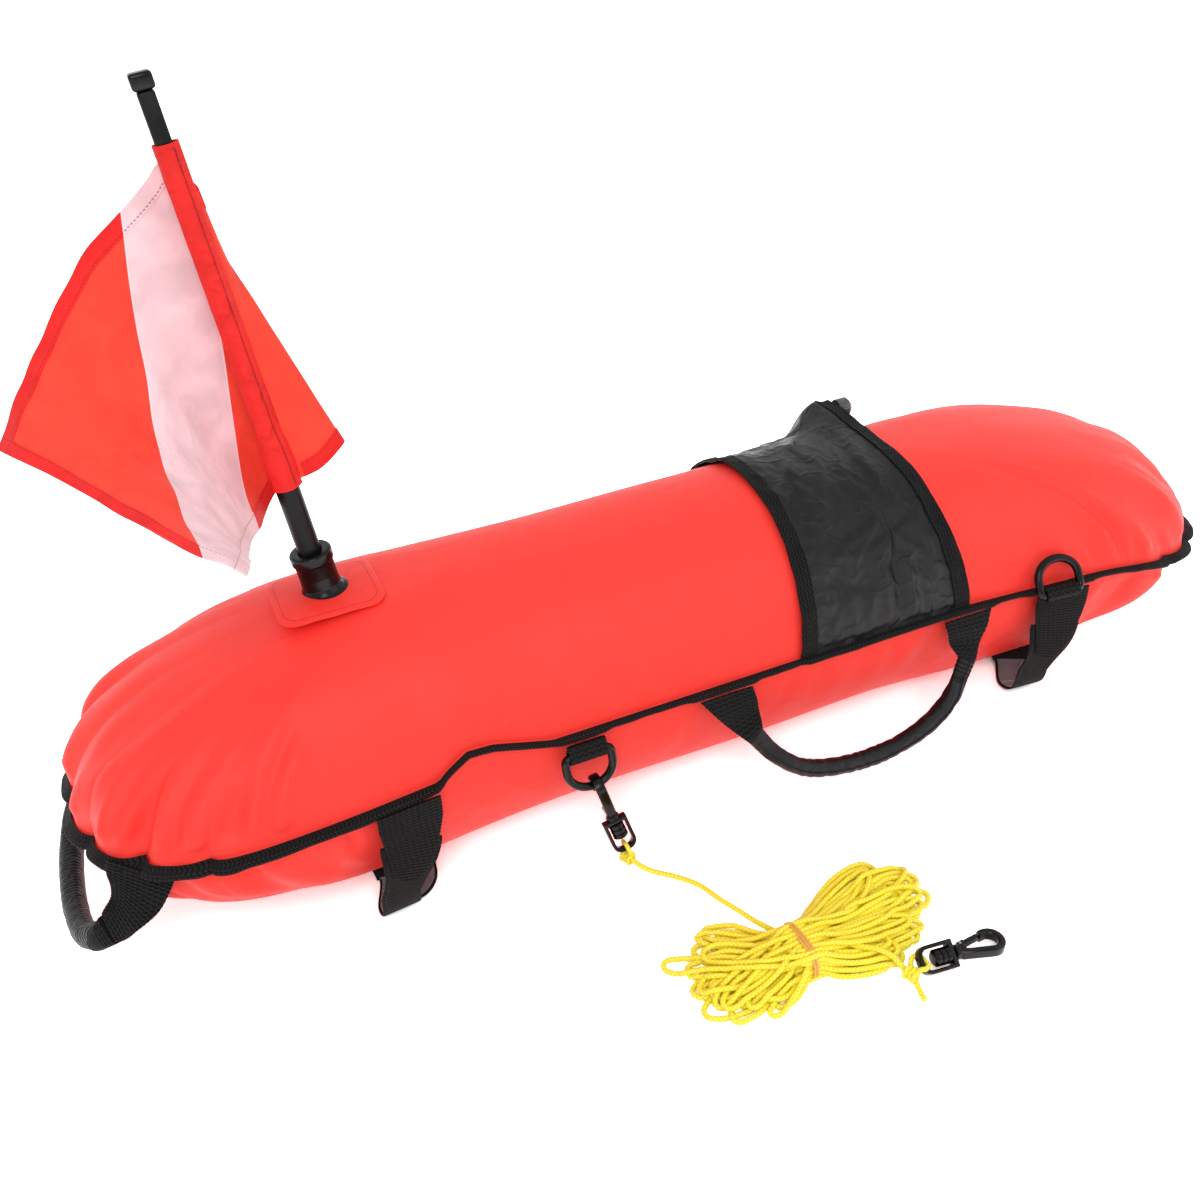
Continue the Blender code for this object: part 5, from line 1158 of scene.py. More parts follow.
def hang_point(x):
    """Return the point just outside and below the binding at x, where webbing leaves the seam."""
    face = -(half_width(x) + FLANGE + TAPE_GAP + TAPE_WALL)
    return Vector((x, face - HANG_OUT, HANG_HEIGHT))


def hang_frame(x):
    """Return the frame at that point: local X along the binding, local Y towards the body, local Z up."""
    along = hang_point(x + 0.012) - hang_point(x - 0.012)
    return axes_frame(hang_point(x), along, (0.0, 0.0, 1.0))


def band_loft(name, stations, material, around=28):
    """Return a closed body from stations of (centre, half width vector, half thickness vector, section power).

    A high power gives a flat band with tight edges and a power of 2 a round roll. Its UV map is in metres, x along
    the band and y across it.
    """
    vertices, widths = [], []
    angles = [2 * math.pi * (step + 0.5) / around for step in range(around)]
    for centre, wide, thick, power in stations:
        for angle in angles:
            along = math.copysign(abs(math.cos(angle)) ** (2 / power), math.cos(angle))
            rise = math.copysign(abs(math.sin(angle)) ** (2 / power), math.sin(angle))
            vertices.append(Vector(centre) + Vector(wide) * along + Vector(thick) * rise)
        widths.append(Vector(wide).length)
    centres = [Vector(station[0]) for station in stations]
    length = [0.0]
    for before, after in zip(centres, centres[1:]):
        length.append(length[-1] + (after - before).length)
    faces, corners = [], []
    for index in range(len(stations) - 1):
        for step in range(around):
            after = (step + 1) % around
            quad = ((index, step), (index, after), (index + 1, after), (index + 1, step))
            faces.append([row * around + column for row, column in quad])
            for row, column in quad:
                angle = angles[column]
                side = math.copysign(abs(math.cos(angle)) ** (2 / stations[row][3]), math.cos(angle))
                corners.append((length[row], widths[row] * (1 + side)))
    for index, order in ((0, -1), (len(stations) - 1, 1)):
        faces.append([index * around + step for step in range(around)][::order])
        corners += [(length[index], 0.0)] * around
    item = link_mesh(name, vertices, faces, material, corners)
    clean(item, outwards=True)
    smooth(item, 50)
    return item


def strip_stations(centres, sides, widths, wall, power=7.0):
    """Return stations of flat webbing from centres, the directions across it and its widths."""
    centres = [Vector(point) for point in centres]
    made = []
    for index, (centre, side, width) in enumerate(zip(centres, sides, widths)):
        before, after = centres[max(index - 1, 0)], centres[min(index + 1, len(centres) - 1)]
        along = (after - before).normalized()
        side = Vector(side)
        side = (side - along * side.dot(along)).normalized()
        made.append((centre, side * width / 2, side.cross(along) * wall / 2, power))
    return made


def ribbed(stations, pitch, start=0.0, end=1.0):
    """Return band stations set closer, their thickness waved into the webbing's cross ribs between two shares."""
    centres = np.array([station[0] for station in stations])
    length = distances(centres)
    count = int(length[-1] / pitch * 5) + 2
    made = []
    for place in np.linspace(0.0, length[-1], count):
        index = min(max(int(np.searchsorted(length, place)), 1), len(stations) - 1)
        share = (place - length[index - 1]) / max(length[index] - length[index - 1], 1e-9)
        before, after = stations[index - 1], stations[index]
        centre, wide, thick = (Vector(a).lerp(Vector(b), share) for a, b in zip(before[:3], after[:3]))
        power = before[3] + (after[3] - before[3]) * share
        whole = place / length[-1]
        keep = float(ramp_up(whole, start - 0.04, start)) * (1 - float(ramp_up(whole, end, end + 0.04)))
        rise = RIB_DEPTH * (abs(math.sin(math.pi * place / pitch)) ** 0.7 - 0.6) * keep
        made.append((centre, wide * (1 + rise * 0.6 / wide.length), thick * (1 + rise / thick.length), power))
    return made


def tent(x, y):
    """Return how far the cover stands off the skin where the valve holds it up."""
    along = float(ramp_up(x, VALVE.x - 0.032, VALVE.x + 0.004)) ** 1.2
    away = abs(y - VALVE.y - 0.004)
    across = 0.55 * math.exp(-(away / 0.030) ** 2) + 0.45 * math.exp(-away / 0.017)
    return COVER_TENT * along * across


def cover_base(share, across):
    """Return the cover's x and y at a share of its width and an across value."""
    left = COVER_LEFT - COVER_LEFT_FLARE * across * across
    right = float(read_table(COVER_RIGHT_EDGE, across))
    x = left + (right - left) * share
    y = half_width(x) * math.copysign(abs(math.sin(across * math.pi / 2)) ** (2 / CROWN_POWER), across)
    return x, y


def cover_creases(share, across):
    """Return the height of the cover's folds: rounded ridges, and steps that leave flat facets beside them."""
    spot = Vector((share * (COVER_RIGHT - COVER_LEFT), across * COVER_LENGTH))
    height = 0.0
    for kinds, stepped in ((COVER_RIDGES, False), (COVER_STEPS, True)):
        for share_0, across_0, share_1, across_1, width, depth in kinds:
            start = Vector((share_0 * (COVER_RIGHT - COVER_LEFT), across_0 * COVER_LENGTH))
            run = Vector((share_1 * (COVER_RIGHT - COVER_LEFT), across_1 * COVER_LENGTH)) - start
            place = (spot - start).dot(run) / run.length_squared
            if place < -0.3 or place > 1.3:
                continue
            away = run.normalized().cross(spot - start) + 0.0010 * waver(*spot * 60.0, 2.0)
            fade = float(ramp_up(place, -0.22, 0.18)) * (1 - float(ramp_up(place, 0.82, 1.22)))
            if stepped:
                height += depth * fade * math.tanh(away / width) * math.exp(-(away / (7 * width)) ** 2)
            else:
                height += depth * fade * math.exp(-abs(away / width) ** 1.5)
    x, y = spot
    crumple = 1 - abs(waver(x * 52.0, y * 40.0, 7.0)) * 2
    fine = 1 - abs(waver(x * 130.0 + y * 40.0, y * 95.0, 1.0)) * 2
    soft = waver(x * 30.0, y * 22.0, 3.0)
    return height + 0.0012 * crumple + 0.0005 * fine + 0.0014 * soft


def make_cover(materials):
    """Make the nylon cover drawn over the valve, with its two bound edges."""
    rows_across = np.linspace(-COVER_SEAM, COVER_SEAM, COVER_ROWS + 1)

    def cover_rows(start, end, count, lift):
        rows = []
        for across in rows_across:
            row = []
            for column in range(count + 1):
                share = start + (end - start) * column / count
                x, y = cover_base(share, across)
                edge = float(ramp_up(1 - abs(across), 0.0, 0.06))
                folds = max(cover_creases(share, across) + 0.0012, 0.0) * edge
                row.append(crown_point(x, across, COVER_LIFT + lift + tent(x, y) + folds))
            rows.append(row)
        for row, sign in ((rows[0], -1), (rows[-1], 1)):
            for index, point in enumerate(row):
                out = sign * (half_width(point[0]) + 0.0022)
                height = AXIS_HEIGHT + EDGE_GAP + 0.0004 + lift + float(seam_sag(point[0], out))
                row[index] = Vector((point[0], out, height))
        return rows
    grid = cover_rows(0.0, 1.0, COVER_COLUMNS, 0.0)
    cover = thicken(cloth_grid("cover_cloth", grid, materials["cover_nylon"]), 0.0006, 1.0)
    smooth(cover, 60)
    dress(cover, "root", "cover_nylon", "valve_cover")
    hems = []
    width = HEM_WIDTH / (COVER_RIGHT - COVER_LEFT)
    for name, node, start, end in (("cover_edge_left", "cover_hem_left", -0.006, width),
                                   ("cover_edge_right", "cover_hem_right", 1 - width, 1.006)):
        hem = thicken(cloth_grid(name, cover_rows(start, end, 12, 0.0008), materials["hem_tape"]), 0.0009, 1.0)
        smooth(hem, 60)
        hems.append(dress(hem, "root", "webbing", node))
    return [cover, *hems]


def make_patch(materials):
    """Make the reinforcing patch under the socket, with its stitched edge."""
    outline = []
    steps = 10
    for quarter, (sx, sy) in enumerate(((1, 1), (-1, 1), (-1, -1), (1, -1))):
        for step in range(steps + 1):
            angle = (quarter + step / steps) * math.pi / 2
            outline.append((sx * (PATCH_LENGTH / 2 - PATCH_CORNER) + PATCH_CORNER * math.cos(angle),
                            sy * (PATCH_WIDTH / 2 - PATCH_CORNER) + PATCH_CORNER * math.sin(angle)))
    dense = []
    for (x0, y0), (x1, y1) in zip(outline, outline[1:] + outline[:1]):
        pieces = max(int(math.hypot(x1 - x0, y1 - y0) / 0.003), 1)
        dense += [(x0 + (x1 - x0) * k / pieces, y0 + (y1 - y0) * k / pieces) for k in range(pieces)]
    rows, uv = [], []
    around, _ = perimeter_of(np.array(dense))
    for share in (1.0, 0.985, 0.96, 0.92, 0.8, 0.65, 0.5, 0.35, 0.2, 0.0):
        row, flat = [], []
        for (px, py), distance in zip(dense, around):
            x, y = POLE_BASE.x + px * share, py * share
            lift = 0.0009 - 0.0006 * float(ramp_up(share, 0.97, 1.0))
            uneven = waver(x * 90.0, y * 90.0, 0.0) + 0.2
            lift += 0.0005 * uneven * float(ramp_up(share, 0.5, 0.9))
            row.append(crown_point(x, across_of(x, y), lift))
            flat.append((distance, (1 - share) * PATCH_WIDTH / 2))
        rows.append(row)
        uv.append(flat)
    item = cloth_grid("pole_patch", rows, materials["patch_red"], closed=True, uv=np.array(uv))
    thicken(item, PATCH_WALL, 0.0)
    smooth(item, 60)
    return dress(item, "root", "coated_fabric", "flag_patch")


def pole_matrix():
    """Return the pole's frame."""
    return Matrix.Translation(POLE_BASE) @ Matrix.Rotation(-POLE_LEAN, 4, "Y")


def pole_point(height, right=0.0, back=0.0):
    """Return a point given up the pole, to the right of it and behind it."""
    return pole_matrix() @ Vector((right, back, height))


def turned(name, profile, material, matrix, steps=48, angle=40):
    """Return a solid of revolution: a profile of (radius, height) spun about local Z with the Spin tool."""
    mesh = bpy.data.meshes.new(name)
    item = bpy.data.objects.new(name, mesh)
    bpy.context.scene.collection.objects.link(item)
    shape = bmesh.new()
    points = [shape.verts.new((radius, 0.0, height)) for radius, height in profile]
    for before, after in zip(points, points[1:]):
        shape.edges.new((before, after))
    shape.to_mesh(mesh)
    shape.free()
    make_active(item)
    bpy.ops.object.mode_set(mode="EDIT")
    bpy.ops.mesh.select_all(action="SELECT")
    bpy.ops.mesh.spin(steps=steps, angle=2 * math.pi, center=(0.0, 0.0, 0.0), axis=(0.0, 0.0, 1.0))
    bpy.ops.object.mode_set(mode="OBJECT")
    clean(item, FINE_MERGE, True)
    mesh.materials.append(material)
    settle(item, matrix)
    smooth(item, angle)
    return item


def rounded(profile, radius=0.0004, steps=3):
    """Return a profile with its inner corners rounded."""
    made = [profile[0]]
    for before, corner, after in zip(profile, profile[1:], profile[2:]):
        a, b, c = Vector(before), Vector(corner), Vector(after)
        reach = min(radius, (a - b).length * 0.45, (c - b).length * 0.45)
        start, end = b + (a - b).normalized() * reach, b + (c - b).normalized() * reach
        for step in range(steps + 1):
            share = step / steps
            point = start.lerp(b, share).lerp(b.lerp(end, share), share)
            made.append((point.x, point.y))
    made.append(profile[-1])
    return made


def make_pole(materials):
    """Make the socket, the two-section pole and its rounded knob."""
    matrix = pole_matrix()
    bore = TUBE_RADIUS + POLE_GAP
    profile = [(bore, 0.0335), (bore + 0.0008, SOCKET_HEIGHT), (SOCKET_LIP - 0.0012, SOCKET_HEIGHT),
               (SOCKET_LIP, SOCKET_HEIGHT - 0.0012), (SOCKET_LIP, SOCKET_HEIGHT - 0.0072),
               (SOCKET_BARREL, SOCKET_HEIGHT - 0.0080), (SOCKET_BARREL - 0.0003, 0.0160),
               (SOCKET_BARREL, 0.0085), (SOCKET_BARREL + 0.0016, 0.0052), (SOCKET_FLANGE - 0.0012, 0.0044),
               (SOCKET_FLANGE, 0.0034), (SOCKET_FLANGE, -0.0016), (bore, -0.0016), (bore, 0.0030), (bore, 0.0335)]
    socket = turned("socket", rounded(profile, 0.0006), materials["gloss_black"], matrix)
    dress(socket, "root", "black_plastic", "pole_socket")
    foot = 0.0033
    bore = ROD_RADIUS + POLE_GAP
    profile = [(0.0, foot), (TUBE_RADIUS, foot), (TUBE_RADIUS, TUBE_TOP - 0.001), (TUBE_RADIUS - 0.0012, TUBE_TOP),
               (bore, TUBE_TOP), (bore, ROD_FOOT - POLE_GAP), (0.0, ROD_FOOT - POLE_GAP)]
    tube_piece = turned("pole_tube", rounded(profile, 0.0005), materials["pole_black"], matrix)
    dress(tube_piece, "pole", "pole_plastic", "pole_lower_tube")
    profile = [(0.0, ROD_FOOT), (ROD_RADIUS, ROD_FOOT), (ROD_RADIUS, TUBE_TOP + 0.004), (0.0, TUBE_TOP + 0.004)]
    peg = turned("pole_peg", rounded(profile, 0.0005), materials["pole_black"], matrix)
    dress(peg, "pole", "pole_plastic")
    low = TUBE_TOP + 0.0015
    rod = rounded_block("pole_rod", (ROD_WIDTH, ROD_DEPTH, ROD_END - low), (low + ROD_END) / 2, 0.0019,
                        materials["pole_black"], matrix)
    dress(rod, "pole", "pole_plastic", "pole_upper_rod")
    middle = ROD_END + 0.0001 + KNOB_SIZE[2] / 2
    knob = rounded_block("pole_top", KNOB_SIZE, middle, 0.0020, materials["gloss_black"], matrix)
    dress(knob, "pole", "black_plastic", "pole_knob")
    return [socket, tube_piece, peg, rod, knob]


def rounded_block(name, size, height, bevel, material, matrix):
    """Return a block with rounded edges, its centre at a height up the matrix's Z."""
    bpy.ops.mesh.primitive_cube_add(size=1.0, location=(0.0, 0.0, height))
    item = bpy.context.object
    item.name = name
    item.scale = size
    bpy.ops.object.transform_apply(location=True, rotation=True, scale=True)
    modifier = item.modifiers.new("rounded edges", "BEVEL")
    modifier.width = bevel
    modifier.segments = 5
    modifier.limit_method = "ANGLE"
    apply_modifiers(item)
    item.data.materials.append(material)
    settle(item, matrix)
    smooth(item, 50)
    return item


def sleeve_radius(height):
    """Return the sleeve's radius: it narrows from the tube to the rod."""
    wide, narrow = TUBE_RADIUS + 0.0012, ROD_WIDTH / 2 + 0.0018
    return wide + (narrow - wide) * float(ramp_up(height, TUBE_TOP - 0.01, TUBE_TOP + 0.02))


def flag_grid():
    """Return the flag's cloth from the hoist to the fly as rows from top to bottom."""
    edge, foot = ROD_WIDTH / 2 + 0.0020, TUBE_RADIUS + 0.0014
    top = [pole_point(0.2640, edge), pole_point(0.2635, edge + 0.002, 0.001),
           pole_point(0.2660, edge + 0.002, 0.007), pole_point(0.2780, 0.0, 0.0105), *FLAG_TOP]
    bottom = [pole_point(0.083, foot), pole_point(0.0850, 0.024, 0.001), pole_point(0.0930, 0.044, 0.010),
              pole_point(0.0840, 0.020, 0.0165), pole_point(0.0790, 0.001, 0.0150), *FLAG_BOTTOM]
    upper = smooth_line(top, count=FLAG_COLUMNS)
    lower = smooth_line(bottom, count=FLAG_COLUMNS)
    shares = np.linspace(0.0, 1.0, FLAG_ROWS)[:, None, None]
    rows = upper[None] * (1 - shares) + lower[None] * shares
    normals = unit_rows(np.cross(np.gradient(rows, axis=1), np.gradient(rows, axis=0)))
    along = np.linspace(0.0, 1.0, FLAG_COLUMNS)[None, :]
    down = np.linspace(0.0, 1.0, FLAG_ROWS)[:, None]
    free = ramp_up(along, 0.30, 0.58)
    sway = np.array([[waver(a * 3.2, d * 2.2, 1.7) for a in along[0]] for d in down[:, 0]])
    fine = np.array([[waver(a * 11.0, d * 7.0, 4.2) for a in along[0]] for d in down[:, 0]])
    fold = np.sin((along * 1.1 - down * 0.9) * 2 * math.pi + 0.6) * 0.5
    drop = (0.0075 * sway + 0.0016 * fine + 0.0030 * fold) * free
    drop += 0.0009 * fine * ramp_up(along, 0.02, 0.08)
    return rows + normals * drop[:, :, None], along, down


def make_flag(materials):
    """Make the sleeve round the pole and the flag sewn to it, with doubled hems on its three free edges."""
    matrix = pole_matrix()
    rows = []
    heights = np.linspace(SLEEVE_BOTTOM, SLEEVE_TOP, 90)
    around = 40
    for height in heights:
        row = []
        radius = sleeve_radius(height)
        for step in range(around):
            angle = 2 * math.pi * step / around
            ripple = 0.00035 * waver(math.cos(angle) * 2, math.sin(angle) * 2, height * 90)
            lip = 0.0016 * math.exp(-(angle / 0.5) ** 2) + 0.0016 * math.exp(-((angle - 2 * math.pi) / 0.5) ** 2)
            reach = radius + ripple + lip
            row.append(matrix @ Vector((reach * math.cos(angle), reach * math.sin(angle), height)))
        rows.append(row)
    sleeve = cloth_grid("sleeve", rows, materials["sleeve_red"], closed=True)
    thicken(sleeve, 0.0004, -1.0)
    smooth(sleeve, 60)
    dress(sleeve, "flag", "flag_nylon", "flag_sleeve")
    seam = []
    for height in heights[1:-1]:
        reach = sleeve_radius(height) + 0.0004
        seam.append(matrix @ Vector((reach * math.cos(SLEEVE_SEAM), reach * math.sin(SLEEVE_SEAM), height)))
    ridge = tube("sleeve_seam", smooth_line(seam, spacing=0.002), 0.00028, materials["stitch_red"], 6)
    dress(ridge, "flag", "flag_nylon")
    grid, along, down = flag_grid()
    columns, count = FLAG_COLUMNS, FLAG_ROWS
    uv = np.stack(np.broadcast_arrays(along * FLAG_FLY, down * FLAG_HOIST), axis=2)
    cloth = cloth_grid("flag_sheet", grid, materials["flag"], uv=uv)
    thicken(cloth, CLOTH_WALL, 0.0)
    smooth(cloth, 60)
    dress(cloth, "flag", "flag_nylon", "flag_cloth")
    hem_columns = int(round(columns * FLAG_HEM / FLAG_FLY)) + 1
    hem_rows = int(round(count * FLAG_HEM / FLAG_HOIST)) + 1
    hems = []
    cuts = (("top_hem", slice(0, hem_rows), slice(2, columns)),
            ("bottom_hem", slice(count - hem_rows, count), slice(2, columns)),
            ("fly_hem", slice(hem_rows - 1, count - hem_rows + 1), slice(columns - hem_columns, columns)))
    for name, row_cut, column_cut in cuts:
        part = grid[row_cut, column_cut]
        hem = cloth_grid("flag_" + name, part, materials["flag_hem"], uv=uv[row_cut, column_cut])
        thicken(hem, CLOTH_WALL + 0.0011, 0.0)
        smooth(hem, 60)
        hems.append(dress(hem, "flag", "flag_nylon"))
    return [sleeve, ridge, cloth, *hems]


def handle_point(x, drop):
    """Return a point of the hanging carry handle's leaning plane."""
    out = (half_width(x) - MIDDLE_HALF_WIDTH) * (1 - float(ramp_up(drop, 0.0, 0.034))) if x < 0 else 0.0
    y, z = HANDLE_TOP
    return Vector((x, y - out - drop * math.sin(HANDLE_LEAN), z - drop * math.cos(HANDLE_LEAN)))


def flare_stations(outer, inner, count):
    """Return stations of the handle's flat end between its outer and inner edges."""
    outer = smooth_line([handle_point(*point) for point in outer], count=count)
    inner = smooth_line([handle_point(*point) for point in inner], count=count)
    plane = Vector((0.0, -math.cos(HANDLE_LEAN), math.sin(HANDLE_LEAN)))
    made = []
    for index, (a, b) in enumerate(zip(outer, inner)):
        share = index / (count - 1)
        centre = (Vector(a) + Vector(b)) / 2
        sway = 0.0016 * math.sin(share * math.pi) * math.sin(share * 7.0)
        roll = float(ramp_up(share, 0.55, 1.0))
        thick = WEBBING_WALL / 2 + 0.0016 * roll
        wide = (Vector(a) - Vector(b)) / 2
        made.append((centre + plane * (sway + 0.001 * roll), wide, plane * thick, 8.0 - 4.0 * roll))
    return made


def make_carry_handle(materials):
    """Make the carry handle in one run: flat at both ends, folded and sewn into a roll in the middle."""
    left = flare_stations(LEFT_FLARE_OUTER, LEFT_FLARE_INNER, 18)
    right = flare_stations(RIGHT_FLARE_OUTER, RIGHT_FLARE_INNER, 18)
    plane = Vector((0.0, -math.cos(HANDLE_LEAN), math.sin(HANDLE_LEAN)))
    route = [Vector(point) for point in smooth_line([handle_point(*point) for point in GRIP_ROUTE], count=70)]
    stations = list(left)
    for index, point in enumerate(route[4:-4]):
        share = index / (len(route) - 9)
        along = (route[index + 5] - route[index + 3]).normalized()
        side = along.cross(plane).normalized()
        if stations[-1][1].dot(side) < 0:
            side = -side
        grip = min(float(ramp_up(share, 0.0, 0.10)), float(ramp_up(1 - share, 0.0, 0.10)))
        ripple = 0.00035 * waver(share * 26.0, 0.4, 0.0)
        wrinkle = 0.0005 * (1 - 2 * abs(waver(share * 55.0, 2.4, 0.0))) * grip
        half_wide = 0.0064 - 0.0004 * grip + ripple + wrinkle
        half_deep = 0.0026 + 0.0030 * grip - ripple + wrinkle
        stations.append((point, side * half_wide, plane * half_deep, 4.0 - 1.2 * grip))
    closing = []
    for centre, wide, thick, power in reversed(right):
        if stations[-1][1].dot(wide) < 0:
            wide = -wide
        closing.append((centre, wide, thick, power))
    roll = stations[len(left) - 2:]
    ends = [ribbed(left, RIB_WIDE, 0.0, 0.86), ribbed([*stations[-2:], *closing], RIB_WIDE, 0.14, 1.0)]
    stations += closing
    roll.append(closing[0])
    strap = band_loft("carry_strap", ends[0], materials["webbing_wide"], 40)
    far = band_loft("carry_strap_far", ends[1], materials["webbing_wide"], 40)
    sleeve = band_loft("carry_roll", roll, materials["grip_cloth"], 32)
    dress(strap, "carry_handle", "webbing", "handle_webbing_left")
    dress(far, "carry_handle", "webbing", "handle_webbing_right")
    dress(sleeve, "carry_handle", "webbing", "handle_grip")
    seam = []
    for centre, wide, thick, _ in stations[16:-16]:
        seam.append(centre + thick.normalized() * (thick.length + 0.0001) + wide * 0.35)
    ridge = tube("carry_strap_seam", smooth_line(seam, spacing=0.0015), 0.0006, materials["thread_black"], 6)
    dress(ridge, "carry_handle", "webbing")
    return [strap, far, sleeve, ridge]


def make_end_handle(materials):
    """Make the end handle: two webbings from the end's corners, rolled into one grip that hangs below."""
    top = Vector((END_CORNER_X, -END_CORNER_Y, HANG_HEIGHT))
    grip = [Vector(point) for point in END_GRIP_ROUTE]
    first = smooth_line([top, *[Vector(bend) for bend in END_WEBBING_BENDS], grip[0], grip[1]], spacing=0.0022)
    start = Vector((0.0420, -0.0240, 0.0)).normalized()
    narrow = Vector((0.35, -0.25, 0.75)).normalized()
    reach = line_length([top, *END_WEBBING_BENDS, grip[0]])
    pieces = []
    for place, side in (("front", 1), ("rear", -1)):
        stations, gone = [], 0.0
        for index, point in enumerate(first):
            if index:
                gone += float(np.linalg.norm(first[index] - first[index - 1]))
            share = min(gone / reach, 1.0)
            if gone > reach + 0.006:
                break
            roll = float(ramp_up(share, 0.45, 1.0))
            narrowed = float(ramp_up(share, 0.0, 0.95))
            width = END_HANDLE_WEBBING + (2 * END_GRIP_RADIUS - END_HANDLE_WEBBING) * narrowed
            run = Vector(first[min(index + 1, len(first) - 1)]) - Vector(first[max(index - 1, 0)])
            across = start.lerp(narrow, share)
            across = (across - run.normalized() * across.dot(run.normalized())).normalized()
            deep = WEBBING_WALL / 2 + (END_GRIP_RADIUS - WEBBING_WALL / 2) * roll * 0.92
            thick = across.cross(run).normalized() * deep
            stations.append((Vector(point), across * width / 2, thick, 8.0 - 5.4 * roll))
        if side < 0:
            flip = Vector((1.0, -1.0, 1.0))
            stations = [(a * flip, b * flip, c * flip, power) for a, b, c, power in stations]
        band = ribbed(stations, RIB_NARROW, 0.0, 0.80)
        piece = band_loft("end_strap_" + place, band, materials["webbing_narrow"], 36)
        pieces.append(dress(piece, "root", "webbing", "end_webbing_" + place))
    half = grip + [Vector(END_GRIP_MIDDLE)]
    route = half + [Vector((p.x, -p.y, p.z)) for p in reversed(grip)]
    line = [Vector(point) for point in smooth_line(route, spacing=0.0022)]
    stations = []
    for index, point in enumerate(line):
        run = (line[min(index + 1, len(line) - 1)] - line[max(index - 1, 0)]).normalized()
        across = Vector((0.0, 0.0, 1.0))
        across = (across - run * across.dot(run)).normalized()
        ripple = 0.0004 * waver(index * 0.21, 3.0, 0.0)
        thick = across.cross(run) * (END_GRIP_RADIUS * 0.9 - ripple)
        stations.append((point, across * (END_GRIP_RADIUS + ripple), thick, 2.5))
    roll = band_loft("end_roll", ribbed(stations, RIB_NARROW * 1.5), materials["grip_cloth"], 32)
    pieces.append(dress(roll, "end_handle", "webbing", "end_grip"))
    return pieces


def belly_point(x, y, lift):
    """Return a point of the lower skin, moved outwards by lift."""
    return crown_point(x, across_of(x, y), lift, -1)


def make_straps(materials):
    """Make the two rod straps: a tab from the seam pressed on the loop that comes out from under the belly."""
    pieces = []
    for side, x in (("left", STRAP_LEFT_X), ("right", STRAP_RIGHT_X)):
        matrix = hang_frame(x)
        face = WEBBING_WALL + 0.0003
        centres = []
        for inward in STRAP_SEWN:
            spot = matrix @ Vector((0.0, inward, 0.0))
            centres.append(belly_point(spot.x, spot.y, 0.0014))
        for inward, height in STRAP_LOOP:
            spot = matrix @ Vector((0.0, face + inward, 0.0))
            centres.append(Vector((spot.x, spot.y, height)))
        line = smooth_line(centres, spacing=0.002)
        across = matrix.to_3x3() @ Vector((1.0, 0.0, 0.0))
        sides = [across] * len(line)
        drops = [float(np.clip((HANG_HEIGHT - point[2]) / STRAP_TAB_DROP, 0.0, 1.25)) for point in line]
        front = [float(ramp_up(-point[1], 0.070, 0.098)) for point in line]
        drift = STRAP_DRIFT[side]
        drifted = []
        widths = []
        for index, (point, drop, near) in enumerate(zip(line, drops, front)):
            wave = Vector((0.0, 0.0005 * math.sin(index * 0.33), 0.0))
            drifted.append(Vector(point) + across * (drift * drop * drop * near) + wave)
            widths.append((STRAP_WIDTH - 0.001) * (1 - 0.36 * float(ramp_up(drop, 0.5, 1.25)) * near))
        line = drifted
        loop = band_loft(side + "_loop_band", strip_stations(line, sides, widths, WEBBING_WALL),
                         materials["webbing_strap"])
        pieces.append(dress(loop, "root", "webbing", side + "_strap_loop"))
        raised = Vector((0.0, 0.0, WEBBING_WALL * 0.5))
        inner = [point + raised for point in line[:4]] + line[4:]
        stations = strip_stations(inner, sides, [width - 0.004 for width in widths], 0.0012)
        pile = [(centre - thick.normalized() * 0.0012, wide, thick, power)
                for centre, wide, thick, power in stations]
        pad = band_loft(side + "_loop_pile", pile[len(pile) // 5:], materials["pile_grey"])
        pieces.append(dress(pad, "root", "webbing"))
        tab, cuts = [], []
        shares = np.linspace(0.0, 1.0, 40)
        for share in shares:
            cut = float(read_table(STRAP_TAB_CUT, share))
            tab.append(matrix @ Vector((drift * share * share, 0.0008 * math.sin(share * 5.0),
                                        0.0010 * (1 - share) - STRAP_TAB_DROP * share)))
            cuts.append(STRAP_WIDTH - 2 * cut)
        body = side + "_tab"
        flat = strip_stations(tab, [across] * 40, cuts, WEBBING_WALL)
        flap = band_loft(side + "_tab_band", ribbed(flat, RIB_NARROW), materials["webbing_narrow"])
        pieces.append(dress(flap, body, "webbing", side + "_strap_tab"))
    return pieces


def ring_line():
    """Return the D-ring's wire in its own XZ plane, its straight bar on the X axis and the bow below."""
    half = RING_WIDTH / 2 - RING_WIRE
    depth = RING_HEIGHT - 2 * RING_WIRE
    corner, shoulder = 0.0042, depth * 0.42
    points = []
    for step in range(9):
        angle = math.pi / 2 * step / 8
        points.append((half - corner + corner * math.sin(angle), 0.0, corner * (math.cos(angle) - 1)))
    for step in range(1, 40):
        angle = math.pi * step / 40
        points.append((half * math.cos(angle), 0.0, -shoulder - (depth - shoulder) * math.sin(angle)))
    for step in range(9):
        angle = math.pi / 2 * (1 - step / 8)
        points.append((corner - half - corner * math.sin(angle), 0.0, corner * (math.cos(angle) - 1)))
    return points


def loop_tube(name, points, radius, material, around=16):
    """Return a closed ring from a loop of points, made as a bevelled curve and converted to a mesh."""
    data = bpy.data.curves.new(name, "CURVE")
    data.dimensions = "3D"
    data.bevel_depth = radius
    data.bevel_resolution = around // 4
    spline = data.splines.new("POLY")
    spline.points.add(len(points) - 1)
    for slot_point, point in zip(spline.points, points):
        slot_point.co = (*point, 1.0)
    spline.use_cyclic_u = True
    item = bpy.data.objects.new(name, data)
    bpy.context.scene.collection.objects.link(item)
    make_active(item)
    bpy.ops.object.convert(target="MESH")
    item.data.materials.clear()
    item.data.materials.append(material)
    return item


